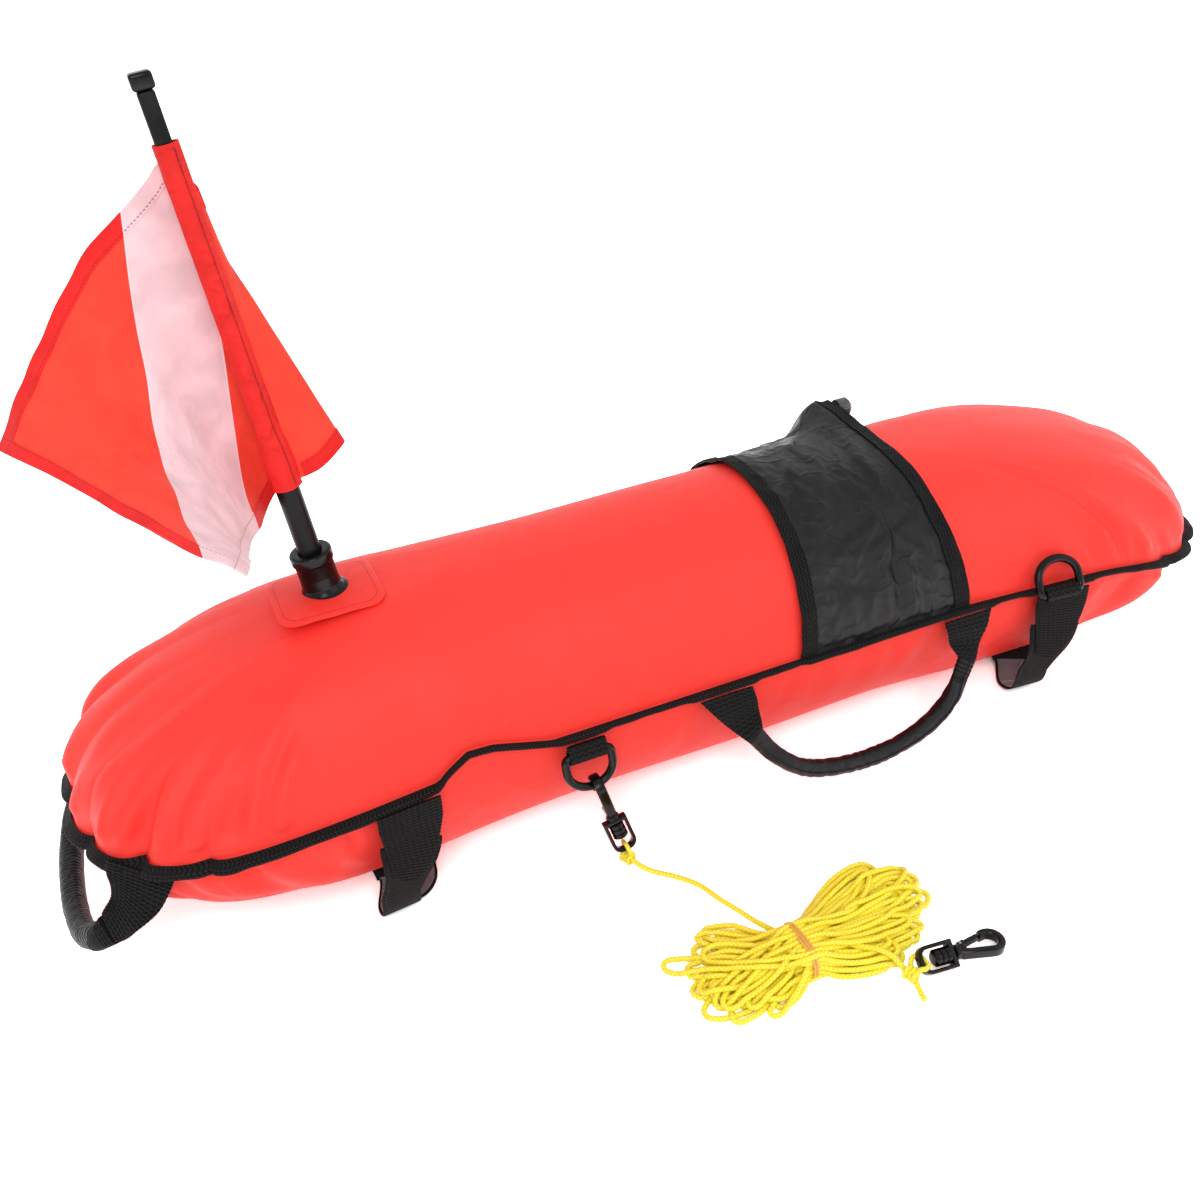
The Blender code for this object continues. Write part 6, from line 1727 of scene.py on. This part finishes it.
def make_rings(materials):
    """Make the two D-rings and the folded webbing tabs that hold them."""
    pieces = []
    for number, (pos, along, lift, top, turn) in enumerate(RINGS, 1):
        base = axes_frame(pos, along, (0.0, 0.0, 1.0))
        line = ring_line()
        spaced = evenly(line + [line[0]], count=150)[:-1]
        ring = loop_tube("ring_%d_wire" % number, spaced, RING_WIRE, materials["gloss_black"])
        settle(ring, base @ Matrix.Rotation(-lift, 4, "X"))
        smooth(ring)
        dress(ring, "ring_%d" % number, "black_plastic", "d_ring_%d" % number)
        inner = RING_WIRE + 0.0005
        middle = inner + WEBBING_WALL / 2
        path = [(WEBBING_WALL * 0.55, top), (WEBBING_WALL * 0.7, top * 0.72 + inner * 0.2)]
        for step in range(17):
            angle = math.radians(20) - math.radians(220) * step / 16
            path.append((middle * math.cos(angle), middle * math.sin(angle)))
        path += [(-WEBBING_WALL * 0.7, top * 0.72 + inner * 0.2), (-WEBBING_WALL * 0.55, top)]
        upright = base @ Matrix.Rotation(turn, 4, "X")
        line = smooth_line([upright @ Vector((0.0, x, z)) for x, z in path], spacing=0.0008)
        across = base.to_3x3() @ Vector((1.0, 0.0, 0.0))
        stations = strip_stations(line, [across] * len(line), [TAB_WIDTH] * len(line), WEBBING_WALL * 0.92)
        tab = band_loft("ring_%d_tab" % number, ribbed(stations, RIB_WIDE), materials["webbing_wide"])
        pieces += [ring, dress(tab, "root", "webbing", "ring_tab_%d" % number)]
    return pieces


def make_hooks(materials):
    """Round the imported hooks' edges and give the swivels, gates and pins their finish."""
    pieces = []
    for number in (1, 2):
        held_by = "hook_1" if number == 1 else "root"
        for part, body in zip(HOOK_PARTS, (held_by, "gate_%d" % number, "eye_%d" % number, held_by)):
            node = "hook_%d_%s" % (number, part)
            look, slot, bevel = ("pin_steel", "pin_steel", 0.0) if part == "pin" else (
                "gloss_black", "black_plastic", 0.00035)
            item = merged_copy(node, "snap_%d_%s" % (number, part), materials[look], 30, bevel)
            pieces.append(dress(item, body, slot, node))
    return pieces


def make_valve(materials):
    """Make the valve's neck, hose, mouthpiece and poppet, and its clear dust cap, the only one that shows."""
    pieces = []
    looks = (("valve_neck", "root", "matt_black", "black_plastic"),
             ("valve_hose", "root", "hose_rubber", "hose_rubber"),
             ("valve_mouthpiece", "root", "matt_black", "black_plastic"),
             ("valve_poppet", "poppet", "matt_black", "black_plastic"),
             ("valve_cap", "cap", "clear", "clear_plastic"))
    for node, body, look, slot in looks:
        item = merged_copy(node, node + "_piece", materials[look], 35, 0.0003)
        pieces.append(dress(item, body, slot, node))
    return pieces


def hank_plan():
    """Return the hank's route through its turns, the middle of its waist and the way that it lies."""
    rng = random.Random(7)
    centre = Vector((*HANK_WAIST, 0.0))
    forward = Vector((math.cos(HANK_TURN), math.sin(HANK_TURN), 0.0))
    sideways = Vector((-forward.y, forward.x, 0.0))
    route = []

    def lane_point(lane, layer, along):
        out = (HANK_LANES - 1) / 2 - lane
        squeeze = 1 - 0.10 * math.cos(along / 0.02)
        place = centre + forward * along + sideways * out * HANK_STEP * squeeze
        place.z = ROPE_RADIUS + 0.0003 + layer * HANK_STEP * 0.98
        return place

    def petal(start_lane, end_lane, layer, next_layer, side, bearing, length, half):
        """Append a loop that leaves the waist on one lane, rounds its fold and comes back on another."""
        tip = centre + forward * side * HANK_TIE
        run = Matrix.Rotation(bearing * side, 3, "Z") @ forward * side
        across = Vector((-run.y, run.x, 0.0))
        first = lane_point(start_lane, layer, side * HANK_TIE)
        last = lane_point(end_lane, next_layer, side * HANK_TIE)
        turn = 1 if (first - last).dot(across) > 0 else -1
        made = [first]
        for share, spread in ((0.30, 0.62), (0.58, 1.0), (0.82, 0.92), (0.96, 0.5), (1.0, 0.0),
                              (0.96, -0.5), (0.82, -0.92), (0.58, -1.0), (0.30, -0.62)):
            low = 0.62 + 0.22 * rng.random()
            point = tip + run * length * share + across * turn * spread * half
            height = first.z + (last.z - first.z) * (0.5 - spread / 2)
            point.z = ROPE_RADIUS + (height - ROPE_RADIUS) * (1 - share * (1 - low))
            point.x += rng.uniform(-0.0012, 0.0012)
            point.y += rng.uniform(-0.0012, 0.0012)
            made.append(point)
        made.append(last)
        return made
    right_fan = [math.radians(angle) for angle in RIGHT_FAN]
    left_fan = [math.radians(angle) for angle in LEFT_FAN]
    pairs = HANK_LANES // 2
    for layer in range(HANK_LAYERS):
        order = range(pairs) if layer % 2 == 0 else range(pairs - 1, -1, -1)
        for count, pair in enumerate(order):
            a, b = (2 * pair, 2 * pair + 1) if layer % 2 == 0 else (2 * pair + 1, 2 * pair)
            bearing = right_fan[pair] + rng.uniform(-0.05, 0.05)
            length = float(read_table(RIGHT_REACH, math.degrees(bearing))) * rng.uniform(0.88, 1.0)
            half = rng.uniform(*RIGHT_HALF)
            route += petal(a, b, layer, layer, 1, bearing, length, half)
            if layer == HANK_LAYERS - 1 and count == pairs - 1:
                break
            if count == pairs - 1:
                a2, next_layer = b, layer + 1
            else:
                a2, next_layer = (b + 1 if layer % 2 == 0 else b - 1), layer
            bearing = left_fan[(layer * pairs + count) % len(left_fan)] + rng.uniform(-0.10, 0.10)
            length = float(read_table(LEFT_REACH, math.degrees(bearing))) * rng.uniform(0.84, 1.0)
            half = rng.uniform(*LEFT_HALF)
            if layer * pairs + count == FREE_LOOP[0]:
                bearing, length, half = math.radians(FREE_LOOP[1]), FREE_LOOP[2], FREE_LOOP[3]
            route += petal(b, a2, layer, next_layer, -1, -bearing, length, half)
    return route, centre, forward


def nearby_pairs(points, reach, apart):
    """Return index pairs of points closer than reach that lie more than apart steps from each other."""
    firsts, seconds = [], []
    for start in range(0, len(points), 400):
        block = points[start:start + 400]
        gaps = np.linalg.norm(block[:, None, :] - points[None, :, :], axis=2)
        a, b = np.nonzero(gaps < reach)
        a += start
        keep = b > a + apart
        firsts.append(a[keep])
        seconds.append(b[keep])
    return np.concatenate(firsts), np.concatenate(seconds)


def settle_rope(line, held, rounds):
    """Return the line after its strands have pushed apart, stiffened and sunk on each other and the floor."""
    points = np.array(line, dtype=float)
    spacing = float(np.median(np.linalg.norm(np.diff(points, axis=0), axis=1)))
    gap = 2 * ROPE_RADIUS + 0.00012
    apart = int(math.ceil(gap * 1.6 / spacing))
    home = points.copy()
    free = (1 - held)[:, None]
    order = np.arange(len(points))
    for turn in range(rounds):
        if turn % 6 == 0:
            first, second = nearby_pairs(points, gap + 0.004, apart)
        points[:, 2] -= 0.00012 * free[:, 0]
        for _ in range(3):
            step = np.diff(points, axis=0)
            length = np.linalg.norm(step, axis=1)[:, None]
            pull = step * (1 - spacing / np.maximum(length, 1e-9)) * 0.25
            points[:-1] += pull * free[:-1]
            points[1:] -= pull * free[1:]
        for reach, weight in ((2, 0.18), (5, 0.07)):
            middle = (points[:-2 * reach] + points[2 * reach:]) / 2
            points[reach:-reach] += (middle - points[reach:-reach]) * weight * free[reach:-reach]
        push = points[first] - points[second]
        length = np.linalg.norm(push, axis=1)
        close = length < gap
        a, b = first[close], second[close]
        shove = push[close] / np.maximum(length[close], 1e-9)[:, None] * ((gap - length[close]) / 2)[:, None]
        total = np.zeros_like(points)
        counts = np.zeros(len(points))
        np.add.at(total, a, shove)
        np.add.at(total, b, -shove)
        np.add.at(counts, a, 1)
        np.add.at(counts, b, 1)
        points += total / np.maximum(counts, 1)[:, None] * 1.5 * np.maximum(free, 0.15)
        points += (home - points) * held[:, None] * 0.35
        points[:, 2] = np.clip(points[:, 2], ROPE_RADIUS + 0.0001, HANK_TOP)
        low = (points[:, 1] < HANK_FRONT) & (order > LEAD_POINTS) & (order < len(points) - TAIL_POINTS)
        points[low, 1] += (HANK_FRONT - points[low, 1]) * 0.5
        over = points[:, 0] > HANK_RIGHT
        points[over, 0] += (HANK_RIGHT - points[over, 0]) * 0.5
        under = points[:, 0] < HANK_LEFT
        points[under, 0] += (HANK_LEFT - points[under, 0]) * 0.5
    return points


def eye_loop(eye_end, hook_up, hook_along, knot):
    """Return the line's loop from the knot through a hook's eye and back."""
    far, out, up, knot = Vector(eye_end), Vector(hook_along), Vector(hook_up), Vector(knot)
    inside = far + out * 0.0044
    points = [knot + up * 0.0012, far + up * 0.0052 - out * 0.0014, far + up * 0.0056 + out * 0.0016,
              inside + up * 0.0034, inside, inside - up * 0.0034, far - up * 0.0056 + out * 0.0016,
              far - up * 0.0052 - out * 0.0014, knot - up * 0.0012]
    return smooth_line(points, spacing=0.001)


def wound_knot(name, centre, along, material):
    """Return a small barrel knot: turns of line wound round its own strand."""
    matrix = axes_frame(centre, (0.0, 0.0, 1.0), along)
    points = []
    turns = 2.6
    for step in range(80):
        share = step / 79
        angle = 2 * math.pi * turns * share
        reach = 0.0031 + 0.0003 * math.sin(share * 9.0)
        if share > 0.94:
            reach += (share - 0.94) * 0.03
        points.append(matrix @ Vector((reach * math.cos(angle), reach * math.sin(angle), 0.0038 - 0.0076 * share)))
    return tube(name, points, ROPE_RADIUS * 0.96, material, 10)


def make_line(materials):
    """Make the line: one run from the first hook's knot through the hank to the second hook's knot."""
    route, centre, forward = hank_plan()
    lead = [Vector(point) for point in LEAD_ROUTE]
    tail = [Vector(point) for point in TAIL_ROUTE]
    whole = smooth_line([Vector(KNOT_1), *lead, *route, *reversed(tail), Vector(KNOT_2)], spacing=ROPE_STEP)
    along = (whole - np.array(centre)) @ np.array(forward)
    inside = np.linalg.norm(whole[:, :2] - np.array(centre)[:2], axis=1) < HANK_TIE + 0.014
    held = np.where(inside, 0.75 * (1 - ramp_up(np.abs(along), HANK_TIE * 0.6, HANK_TIE + 0.004)), 0.0)
    gone = np.arange(len(whole)) * ROPE_STEP
    lead_length = line_length([Vector(KNOT_1), *lead])
    tail_length = line_length([*tail, Vector(KNOT_2)])
    held = np.maximum(held, 1 - ramp_up(gone, lead_length * 0.8, lead_length))
    held = np.maximum(held, ramp_up(gone, gone[-1] - tail_length - 0.01, gone[-1] - tail_length))
    rounds = bpy.context.scene.divefloat_line.settle_rounds
    line = settle_rope(whole, held, rounds)
    for _ in range(2):
        line[1:-1] = line[1:-1] * 0.5 + (line[:-2] + line[2:]) * 0.25
    line = evenly(line, spacing=ROPE_STEP)
    rope = tube("line", line, ROPE_RADIUS, materials["rope"], 9)
    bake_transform(rope)
    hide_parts("rope_hank", "rope_lead", "rope_tail")
    pieces = [rope]
    for name, node, spot, direction in (("knot_first", "knot_1", KNOT_1, KNOT_1_ALONG),
                                        ("knot_second", "knot_2", KNOT_2, KNOT_2_ALONG)):
        knot = wound_knot(name, spot, direction, materials["rope"])
        pieces.append(dress(knot, "hook_1" if node == "knot_1" else "root", "rope", node))
    stub_line = smooth_line(STUB_ROUTE, spacing=0.001)
    stub = tube("line_end", stub_line, ROPE_RADIUS * 0.96, materials["rope"], 9)
    pieces.append(dress(stub, "root", "rope"))
    for name, body, eye, up, out, spot in (("loop_first", "eye_1", HOOK_1_TAIL, HOOK_1_UP, HOOK_1_ALONG, KNOT_1),
                                           ("loop_second", "root", HOOK_2_TAIL, HOOK_2_UP, HOOK_2_ALONG, KNOT_2)):
        loop = tube(name, eye_loop(eye, up, out, spot), ROPE_RADIUS * 0.9, materials["rope"], 9)
        pieces.append(dress(loop, body, "rope"))
    pieces.append(make_tie(line, centre, forward, materials))
    return pieces


def make_tie(line, centre, forward, materials):
    """Make the thin cord tied round the hank's waist, drawn close to the strands that it holds."""
    sideways = np.array((-forward.y, forward.x, 0.0))
    ahead = np.array(forward)
    offsets = line - np.array(centre)
    near = (np.abs(offsets @ ahead) < 0.004) & (np.abs(offsets @ sideways) < 0.030)
    across = offsets[near] @ sideways
    top = float(np.percentile(line[near][:, 2], 96)) + ROPE_RADIUS + 0.0006
    middle = float(np.percentile(across, 3) + np.percentile(across, 97)) / 2
    half = float(np.percentile(across, 97) - np.percentile(across, 3)) / 2 + ROPE_RADIUS + 0.0010
    points = []
    for index in range(TIE_TURNS * 48 + 9):
        angle = 2 * math.pi * index / 48 + math.pi / 2
        station = (index / (TIE_TURNS * 48) - 0.5) * TIE_TURNS * 0.0018
        out, up = math.cos(angle), math.sin(angle)
        spot = middle + half * math.copysign(abs(out) ** 0.72, out)
        height = top / 2 * (1 + math.copysign(abs(up) ** 0.72, up))
        place = np.array(centre) + ahead * station + sideways * spot
        points.append((place[0], place[1], max(height, 0.0009)))
    tie = tube("waist_tie", smooth_line(points, spacing=0.001), 0.0009, materials["tie_cord"], 8)
    return dress(tie, "root", "rope", "hank_band")


def flag_cloth(name, red, stitched=False):
    """Thin nylon with the flag's pale diagonal, laid out in metres from the hoist's top corner."""
    material, board, surface, cloth, place = start_material(
        name, 0.62, **{"Sheen Weight": 0.05, "Specular IOR Level": 0.2})
    threads = use(board, "weave", Cloth=cloth, Thread=0.0006)
    creases = use(board, "creases", Place=place, Size=0.020)
    along, down, _ = board.add("ShaderNodeSeparateXYZ", inputs={0: cloth}).outputs
    masks, gaps = [], []
    for start, slope, bend in STRIPE_EDGES:
        curve = board.times(board.math("POWER", down, 3.0), bend)
        edge = board.plus(board.math("MULTIPLY_ADD", down, slope, start), curve)
        gap = board.minus(along, edge)
        masks.append(board.ramp(gap, -0.0004, 0.0004))
        gaps.append(board.size(gap))
    stripe = board.times(masks[0], board.rest(masks[1]))
    border = board.rest(board.ramp(board.math("MINIMUM", *gaps), 0.0007, 0.0013))
    # Painted shade: both the red and the pale stripe darken in the fold hollows and lighten on the crests.
    shade = board.ramp(creases["Shade"], 0.3, 0.7)
    deep = board.blend(shade, tinted(red, 0.90), tinted(red, 1.08))
    white = board.blend(shade, tinted(STRIPE_WHITE, 0.90), tinted(STRIPE_WHITE, 1.06))
    white = board.blend(board.times(border, 0.8), white, (*STRIPE_BORDER, 1.0))
    tone = board.blend(stripe, deep, white)
    height = threads["Height"]
    if stitched:
        away = board.math("MINIMUM", board.size(board.minus(down, FLAG_HEM - STITCH_IN)),
                          board.size(board.minus(down, FLAG_HOIST - FLAG_HEM + STITCH_IN)))
        away = board.math("MINIMUM", away, board.size(board.minus(along, FLAG_FLY - FLAG_HEM + STITCH_IN)))
        row = board.rest(board.ramp(away, 0.0002, 0.0007))
        dash = board.math("SINE", board.times(board.plus(along, down), 2 * math.pi / STITCH_PITCH))
        thread = board.times(row, board.ramp(dash, -0.6, 0.0))
        tone = board.blend(board.times(thread, 0.7), tone, (*STITCH_RED, 1.0))
        height = board.minus(height, board.times(row, 2.0))
    board.tree.links.new(tone, surface.inputs["Base Color"])
    folds = bump(board, surface, creases["Height"], 0.0010, 0.4)
    bump(board, surface, height, 0.00008, 0.6, folds)
    return material


MATERIALS = {}


def materials():
    """Return the object's materials, made on their first use."""
    if not MATERIALS:
        body, line = bpy.context.scene.divefloat_body, bpy.context.scene.divefloat_line
        MATERIALS.update({
            "coated_red": coated_fabric("coated red nylon", tuple(body.fabric_colour)),
            "bladder": coated_fabric("bladder film", BLADDER_TONE, gloss=0.5),
            "patch_red": coated_fabric("red patch", PATCH_RED, crease=0.02, stitches=((0.0040, STITCH_PITCH),)),
            "tape": webbing("seam tape", rib=0.0026, cord=0.0022, stitches=((0.0062, 0.0028),)),
            "cover_nylon": woven_nylon("black cover nylon", COVER_BLACK, thread=0.0006, crease=0.018),
            "hem_tape": webbing("cover edge tape", rib=0.0026, cord=0.0022),
            "grip_cloth": woven_nylon(
                "grip nylon", COVER_BLACK, thread=0.0006, crease=0.012, crease_height=0.0016),
            "gloss_black": moulded("glossy black acetal", PLASTIC_BLACK, 0.16, coat=0.10),
            "matt_black": moulded("matt black plastic", PLASTIC_BLACK, 0.4),
            "pole_black": moulded("black fibreglass pole", POLE_BLACK, 0.34),
            "hose_rubber": moulded("black rubber hose", RUBBER_BLACK, 0.62),
            "clear": clear_plastic("clear cap plastic"),
            "pin_steel": steel("steel pins"),
            "flag": flag_cloth("flag nylon", tuple(body.flag_colour)),
            "flag_hem": flag_cloth("flag hem", HEM_RED, stitched=True),
            "sleeve_red": woven_nylon("flag sleeve", SLEEVE_RED, thread=0.0006, gloss=0.6),
            "webbing_wide": webbing("wide-ribbed webbing", rib=RIB_WIDE, cord=0.0024),
            "webbing_narrow": webbing("close-ribbed webbing", rib=RIB_NARROW, cord=0.0020),
            "webbing_strap": webbing("strap webbing", stitches=((0.0025, STITCH_PITCH), (0.0395, STITCH_PITCH))),
            "pile_grey": woven_nylon("grey loop pile", PILE_GREY, thread=0.0009, gloss=0.85, sheen=0.6),
            "stitch_red": woven_nylon("red seam thread", STITCH_RED, thread=0.0008),
            "thread_black": woven_nylon("black thread", WEB_BLACK, thread=0.0008, gloss=0.5),
            "rope": braided("yellow braid", tuple(line.rope_colour), ROPE_SHADE, ROPE_TRACER, 0.0085),
            # The tie cord's painted shade in its braid valleys is its own colour at half strength.
            "tie_cord": braided("tie cord", TIE_COLOUR, tinted(TIE_COLOUR, 0.5)[:3], TIE_COLOUR, 0.004),
        })
    return MATERIALS


def seen_directly(board):
    """Return 1 on the rays that show the background itself: camera, glossy and transmission rays."""
    path = board.add("ShaderNodeLightPath").outputs
    mirrored = board.math("MAXIMUM", path["Is Glossy Ray"], path["Is Transmission Ray"])
    return board.math("MAXIMUM", path["Is Camera Ray"], mirrored)


def make_stage():
    """Make the pale floor, the white surroundings, the soft lights and the camera at the photograph's view."""
    scene = bpy.context.scene
    bpy.ops.mesh.primitive_plane_add(size=FLOOR_SIZE, location=(0.0, 0.0, 0.0))
    floor = bpy.context.object
    floor.name = "floor"
    surface = bpy.data.materials.new("pale floor")
    surface.use_nodes = True
    surface.node_tree.nodes.clear()
    board = NodeBoard(surface.node_tree)
    lit = board.add("ShaderNodeBsdfDiffuse", inputs={"Color": (*FLOOR_SHADE, 1.0)})
    seen = board.add("ShaderNodeBsdfDiffuse", inputs={"Color": (*FLOOR_SEEN, 1.0)})
    mix = board.add("ShaderNodeMixShader", inputs={0: seen_directly(board), 1: lit.outputs[0], 2: seen.outputs[0]})
    board.add("ShaderNodeOutputMaterial", inputs={"Surface": mix.outputs[0]})
    floor.data.materials.append(surface)
    for name, place, size, power in LIGHTS:
        data = bpy.data.lights.new(name, "AREA")
        data.energy = power
        data.shape = "DISK"
        data.size = size
        light = bpy.data.objects.new(name, data)
        scene.collection.objects.link(light)
        light.location = place
        light.rotation_euler = (Vector(LIGHT_AIM) - Vector(place)).to_track_quat("-Z", "Y").to_euler()
    world = bpy.data.worlds.new("white room")
    world.use_nodes = True
    world.node_tree.nodes.clear()
    board = NodeBoard(world.node_tree)
    room = board.add("ShaderNodeBackground", inputs={"Color": (1.0, 1.0, 1.0, 1.0), "Strength": ROOM_LIGHT})
    seen = board.add("ShaderNodeBackground", inputs={"Color": (1.0, 1.0, 1.0, 1.0), "Strength": 1.0})
    mix = board.add(
        "ShaderNodeMixShader", inputs={0: seen_directly(board), 1: room.outputs[0], 2: seen.outputs[0]})
    board.add("ShaderNodeOutputWorld", inputs={"Surface": mix.outputs[0]})
    scene.world = world
    data = bpy.data.cameras.new("photo view")
    data.lens = LENS
    data.sensor_width = 36.0
    camera = bpy.data.objects.new("photo view", data)
    scene.collection.objects.link(camera)
    right, up, ahead = Vector(CAMERA_RIGHT), Vector(CAMERA_UP), Vector(CAMERA_AHEAD)
    turn = Matrix((right, up, -ahead)).transposed().to_4x4()
    turn.translation = Vector(CAMERA_PLACE)
    camera.matrix_world = turn
    scene.camera = camera
    scene.view_settings.view_transform = "Standard"
    return [floor, camera]


class DIVEFLOAT_PG_body(bpy.types.PropertyGroup):
    """Settings of the inflated body and its flag."""

    fabric_colour: bpy.props.FloatVectorProperty(
        name="Fabric colour", description="Colour of the two coated panels", default=BODY_RED, min=0.0, max=1.0,
        subtype="COLOR")
    flag_colour: bpy.props.FloatVectorProperty(
        name="Flag colour", description="Colour of the flag beside its pale stripe", default=FLAG_RED, min=0.0,
        max=1.0, subtype="COLOR")
    crease_strength: bpy.props.FloatProperty(
        name="Crease strength", description="How deep the folds that run in from the seam are", default=1.0,
        min=0.0, max=3.0, subtype="FACTOR")


class DIVEFLOAT_PG_line(bpy.types.PropertyGroup):
    """Settings of the line."""

    rope_colour: bpy.props.FloatVectorProperty(
        name="Rope colour", description="Colour of the braided line", default=ROPE_YELLOW, min=0.0, max=1.0,
        subtype="COLOR")
    settle_rounds: bpy.props.IntProperty(
        name="Settling rounds", description="How long the line's strands push apart and sink",
        default=ROPE_ROUNDS, min=1)


def finished(operator, pieces):
    """Report how many pieces an operator made."""
    operator.report({"INFO"}, "%s: %d pieces" % (operator.bl_label, len(pieces)))
    return {"FINISHED"}


class DIVEFLOAT_OT_stage(bpy.types.Operator):
    """Make the floor, the surroundings, the lights and the camera"""

    bl_idname = "divefloat.stage"
    bl_label = "Stage"

    def execute(self, context):
        return finished(self, make_stage())


class DIVEFLOAT_OT_hooks(bpy.types.Operator):
    """Make the two snap hooks"""

    bl_idname = "divefloat.hooks"
    bl_label = "Snap hooks"

    def execute(self, context):
        return finished(self, make_hooks(materials()))


class DIVEFLOAT_OT_line(bpy.types.Operator):
    """Make the line with its hank, knots and tie"""

    bl_idname = "divefloat.line"
    bl_label = "Line"

    def execute(self, context):
        return finished(self, make_line(materials()))


class DIVEFLOAT_OT_body(bpy.types.Operator):
    """Make the bladder and the two inflated panels"""

    bl_idname = "divefloat.body"
    bl_label = "Body"

    def execute(self, context):
        return finished(self, make_panels(materials()))


class DIVEFLOAT_OT_binding(bpy.types.Operator):
    """Make the tape round the seam"""

    bl_idname = "divefloat.binding"
    bl_label = "Binding"

    def execute(self, context):
        return finished(self, [make_binding(materials())])


class DIVEFLOAT_OT_pole(bpy.types.Operator):
    """Make the patch, socket, pole and knob"""

    bl_idname = "divefloat.pole"
    bl_label = "Pole"

    def execute(self, context):
        return finished(self, [make_patch(materials()), *make_pole(materials())])


class DIVEFLOAT_OT_flag(bpy.types.Operator):
    """Make the flag and its sleeve"""

    bl_idname = "divefloat.flag"
    bl_label = "Flag"

    def execute(self, context):
        return finished(self, make_flag(materials()))


class DIVEFLOAT_OT_valve(bpy.types.Operator):
    """Make the inflation valve"""

    bl_idname = "divefloat.valve"
    bl_label = "Valve"

    def execute(self, context):
        return finished(self, make_valve(materials()))


class DIVEFLOAT_OT_cover(bpy.types.Operator):
    """Make the cover over the valve"""

    bl_idname = "divefloat.cover"
    bl_label = "Valve cover"

    def execute(self, context):
        return finished(self, make_cover(materials()))


class DIVEFLOAT_OT_rings(bpy.types.Operator):
    """Make the D-rings and their tabs"""

    bl_idname = "divefloat.rings"
    bl_label = "D-rings"

    def execute(self, context):
        return finished(self, make_rings(materials()))


class DIVEFLOAT_OT_handles(bpy.types.Operator):
    """Make the carry handle and the end handle"""

    bl_idname = "divefloat.handles"
    bl_label = "Handles"

    def execute(self, context):
        return finished(self, [*make_carry_handle(materials()), *make_end_handle(materials())])


class DIVEFLOAT_OT_straps(bpy.types.Operator):
    """Make the two rod straps"""

    bl_idname = "divefloat.straps"
    bl_label = "Rod straps"

    def execute(self, context):
        return finished(self, make_straps(materials()))


OPERATORS = (
    DIVEFLOAT_OT_stage, DIVEFLOAT_OT_hooks, DIVEFLOAT_OT_line, DIVEFLOAT_OT_body,
    DIVEFLOAT_OT_binding, DIVEFLOAT_OT_pole, DIVEFLOAT_OT_flag, DIVEFLOAT_OT_valve,
    DIVEFLOAT_OT_cover, DIVEFLOAT_OT_rings, DIVEFLOAT_OT_handles, DIVEFLOAT_OT_straps)


class DIVEFLOAT_PT_panel(bpy.types.Panel):
    """Lists the settings and operators of the dive float."""

    bl_idname = "DIVEFLOAT_PT_panel"
    bl_label = "Dive Float"
    bl_space_type = "VIEW_3D"
    bl_region_type = "UI"
    bl_category = "Dive Float"

    def draw(self, context):
        for setting in ("fabric_colour", "flag_colour", "crease_strength"):
            self.layout.prop(context.scene.divefloat_body, setting)
        for setting in ("rope_colour", "settle_rounds"):
            self.layout.prop(context.scene.divefloat_line, setting)
        for kind in OPERATORS:
            self.layout.operator(kind.bl_idname)


CLASSES = (DIVEFLOAT_PG_body, DIVEFLOAT_PG_line, *OPERATORS, DIVEFLOAT_PT_panel)


def register():
    """Register the add-on's classes and settings."""
    for kind in CLASSES:
        bpy.utils.register_class(kind)
    bpy.types.Scene.divefloat_body = bpy.props.PointerProperty(type=DIVEFLOAT_PG_body)
    bpy.types.Scene.divefloat_line = bpy.props.PointerProperty(type=DIVEFLOAT_PG_line)


def unregister():
    """Remove the add-on's settings and classes."""
    del bpy.types.Scene.divefloat_line
    del bpy.types.Scene.divefloat_body
    for kind in reversed(CLASSES):
        bpy.utils.unregister_class(kind)


def main():
    """Build the whole scene."""
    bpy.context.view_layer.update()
    register()
    for kind in OPERATORS:
        name = kind.bl_idname.split(".")[1]
        if getattr(bpy.ops.divefloat, name)() != {"FINISHED"}:
            raise RuntimeError("%s did not finish" % kind.bl_label)


if __name__ == "__main__":
    main()
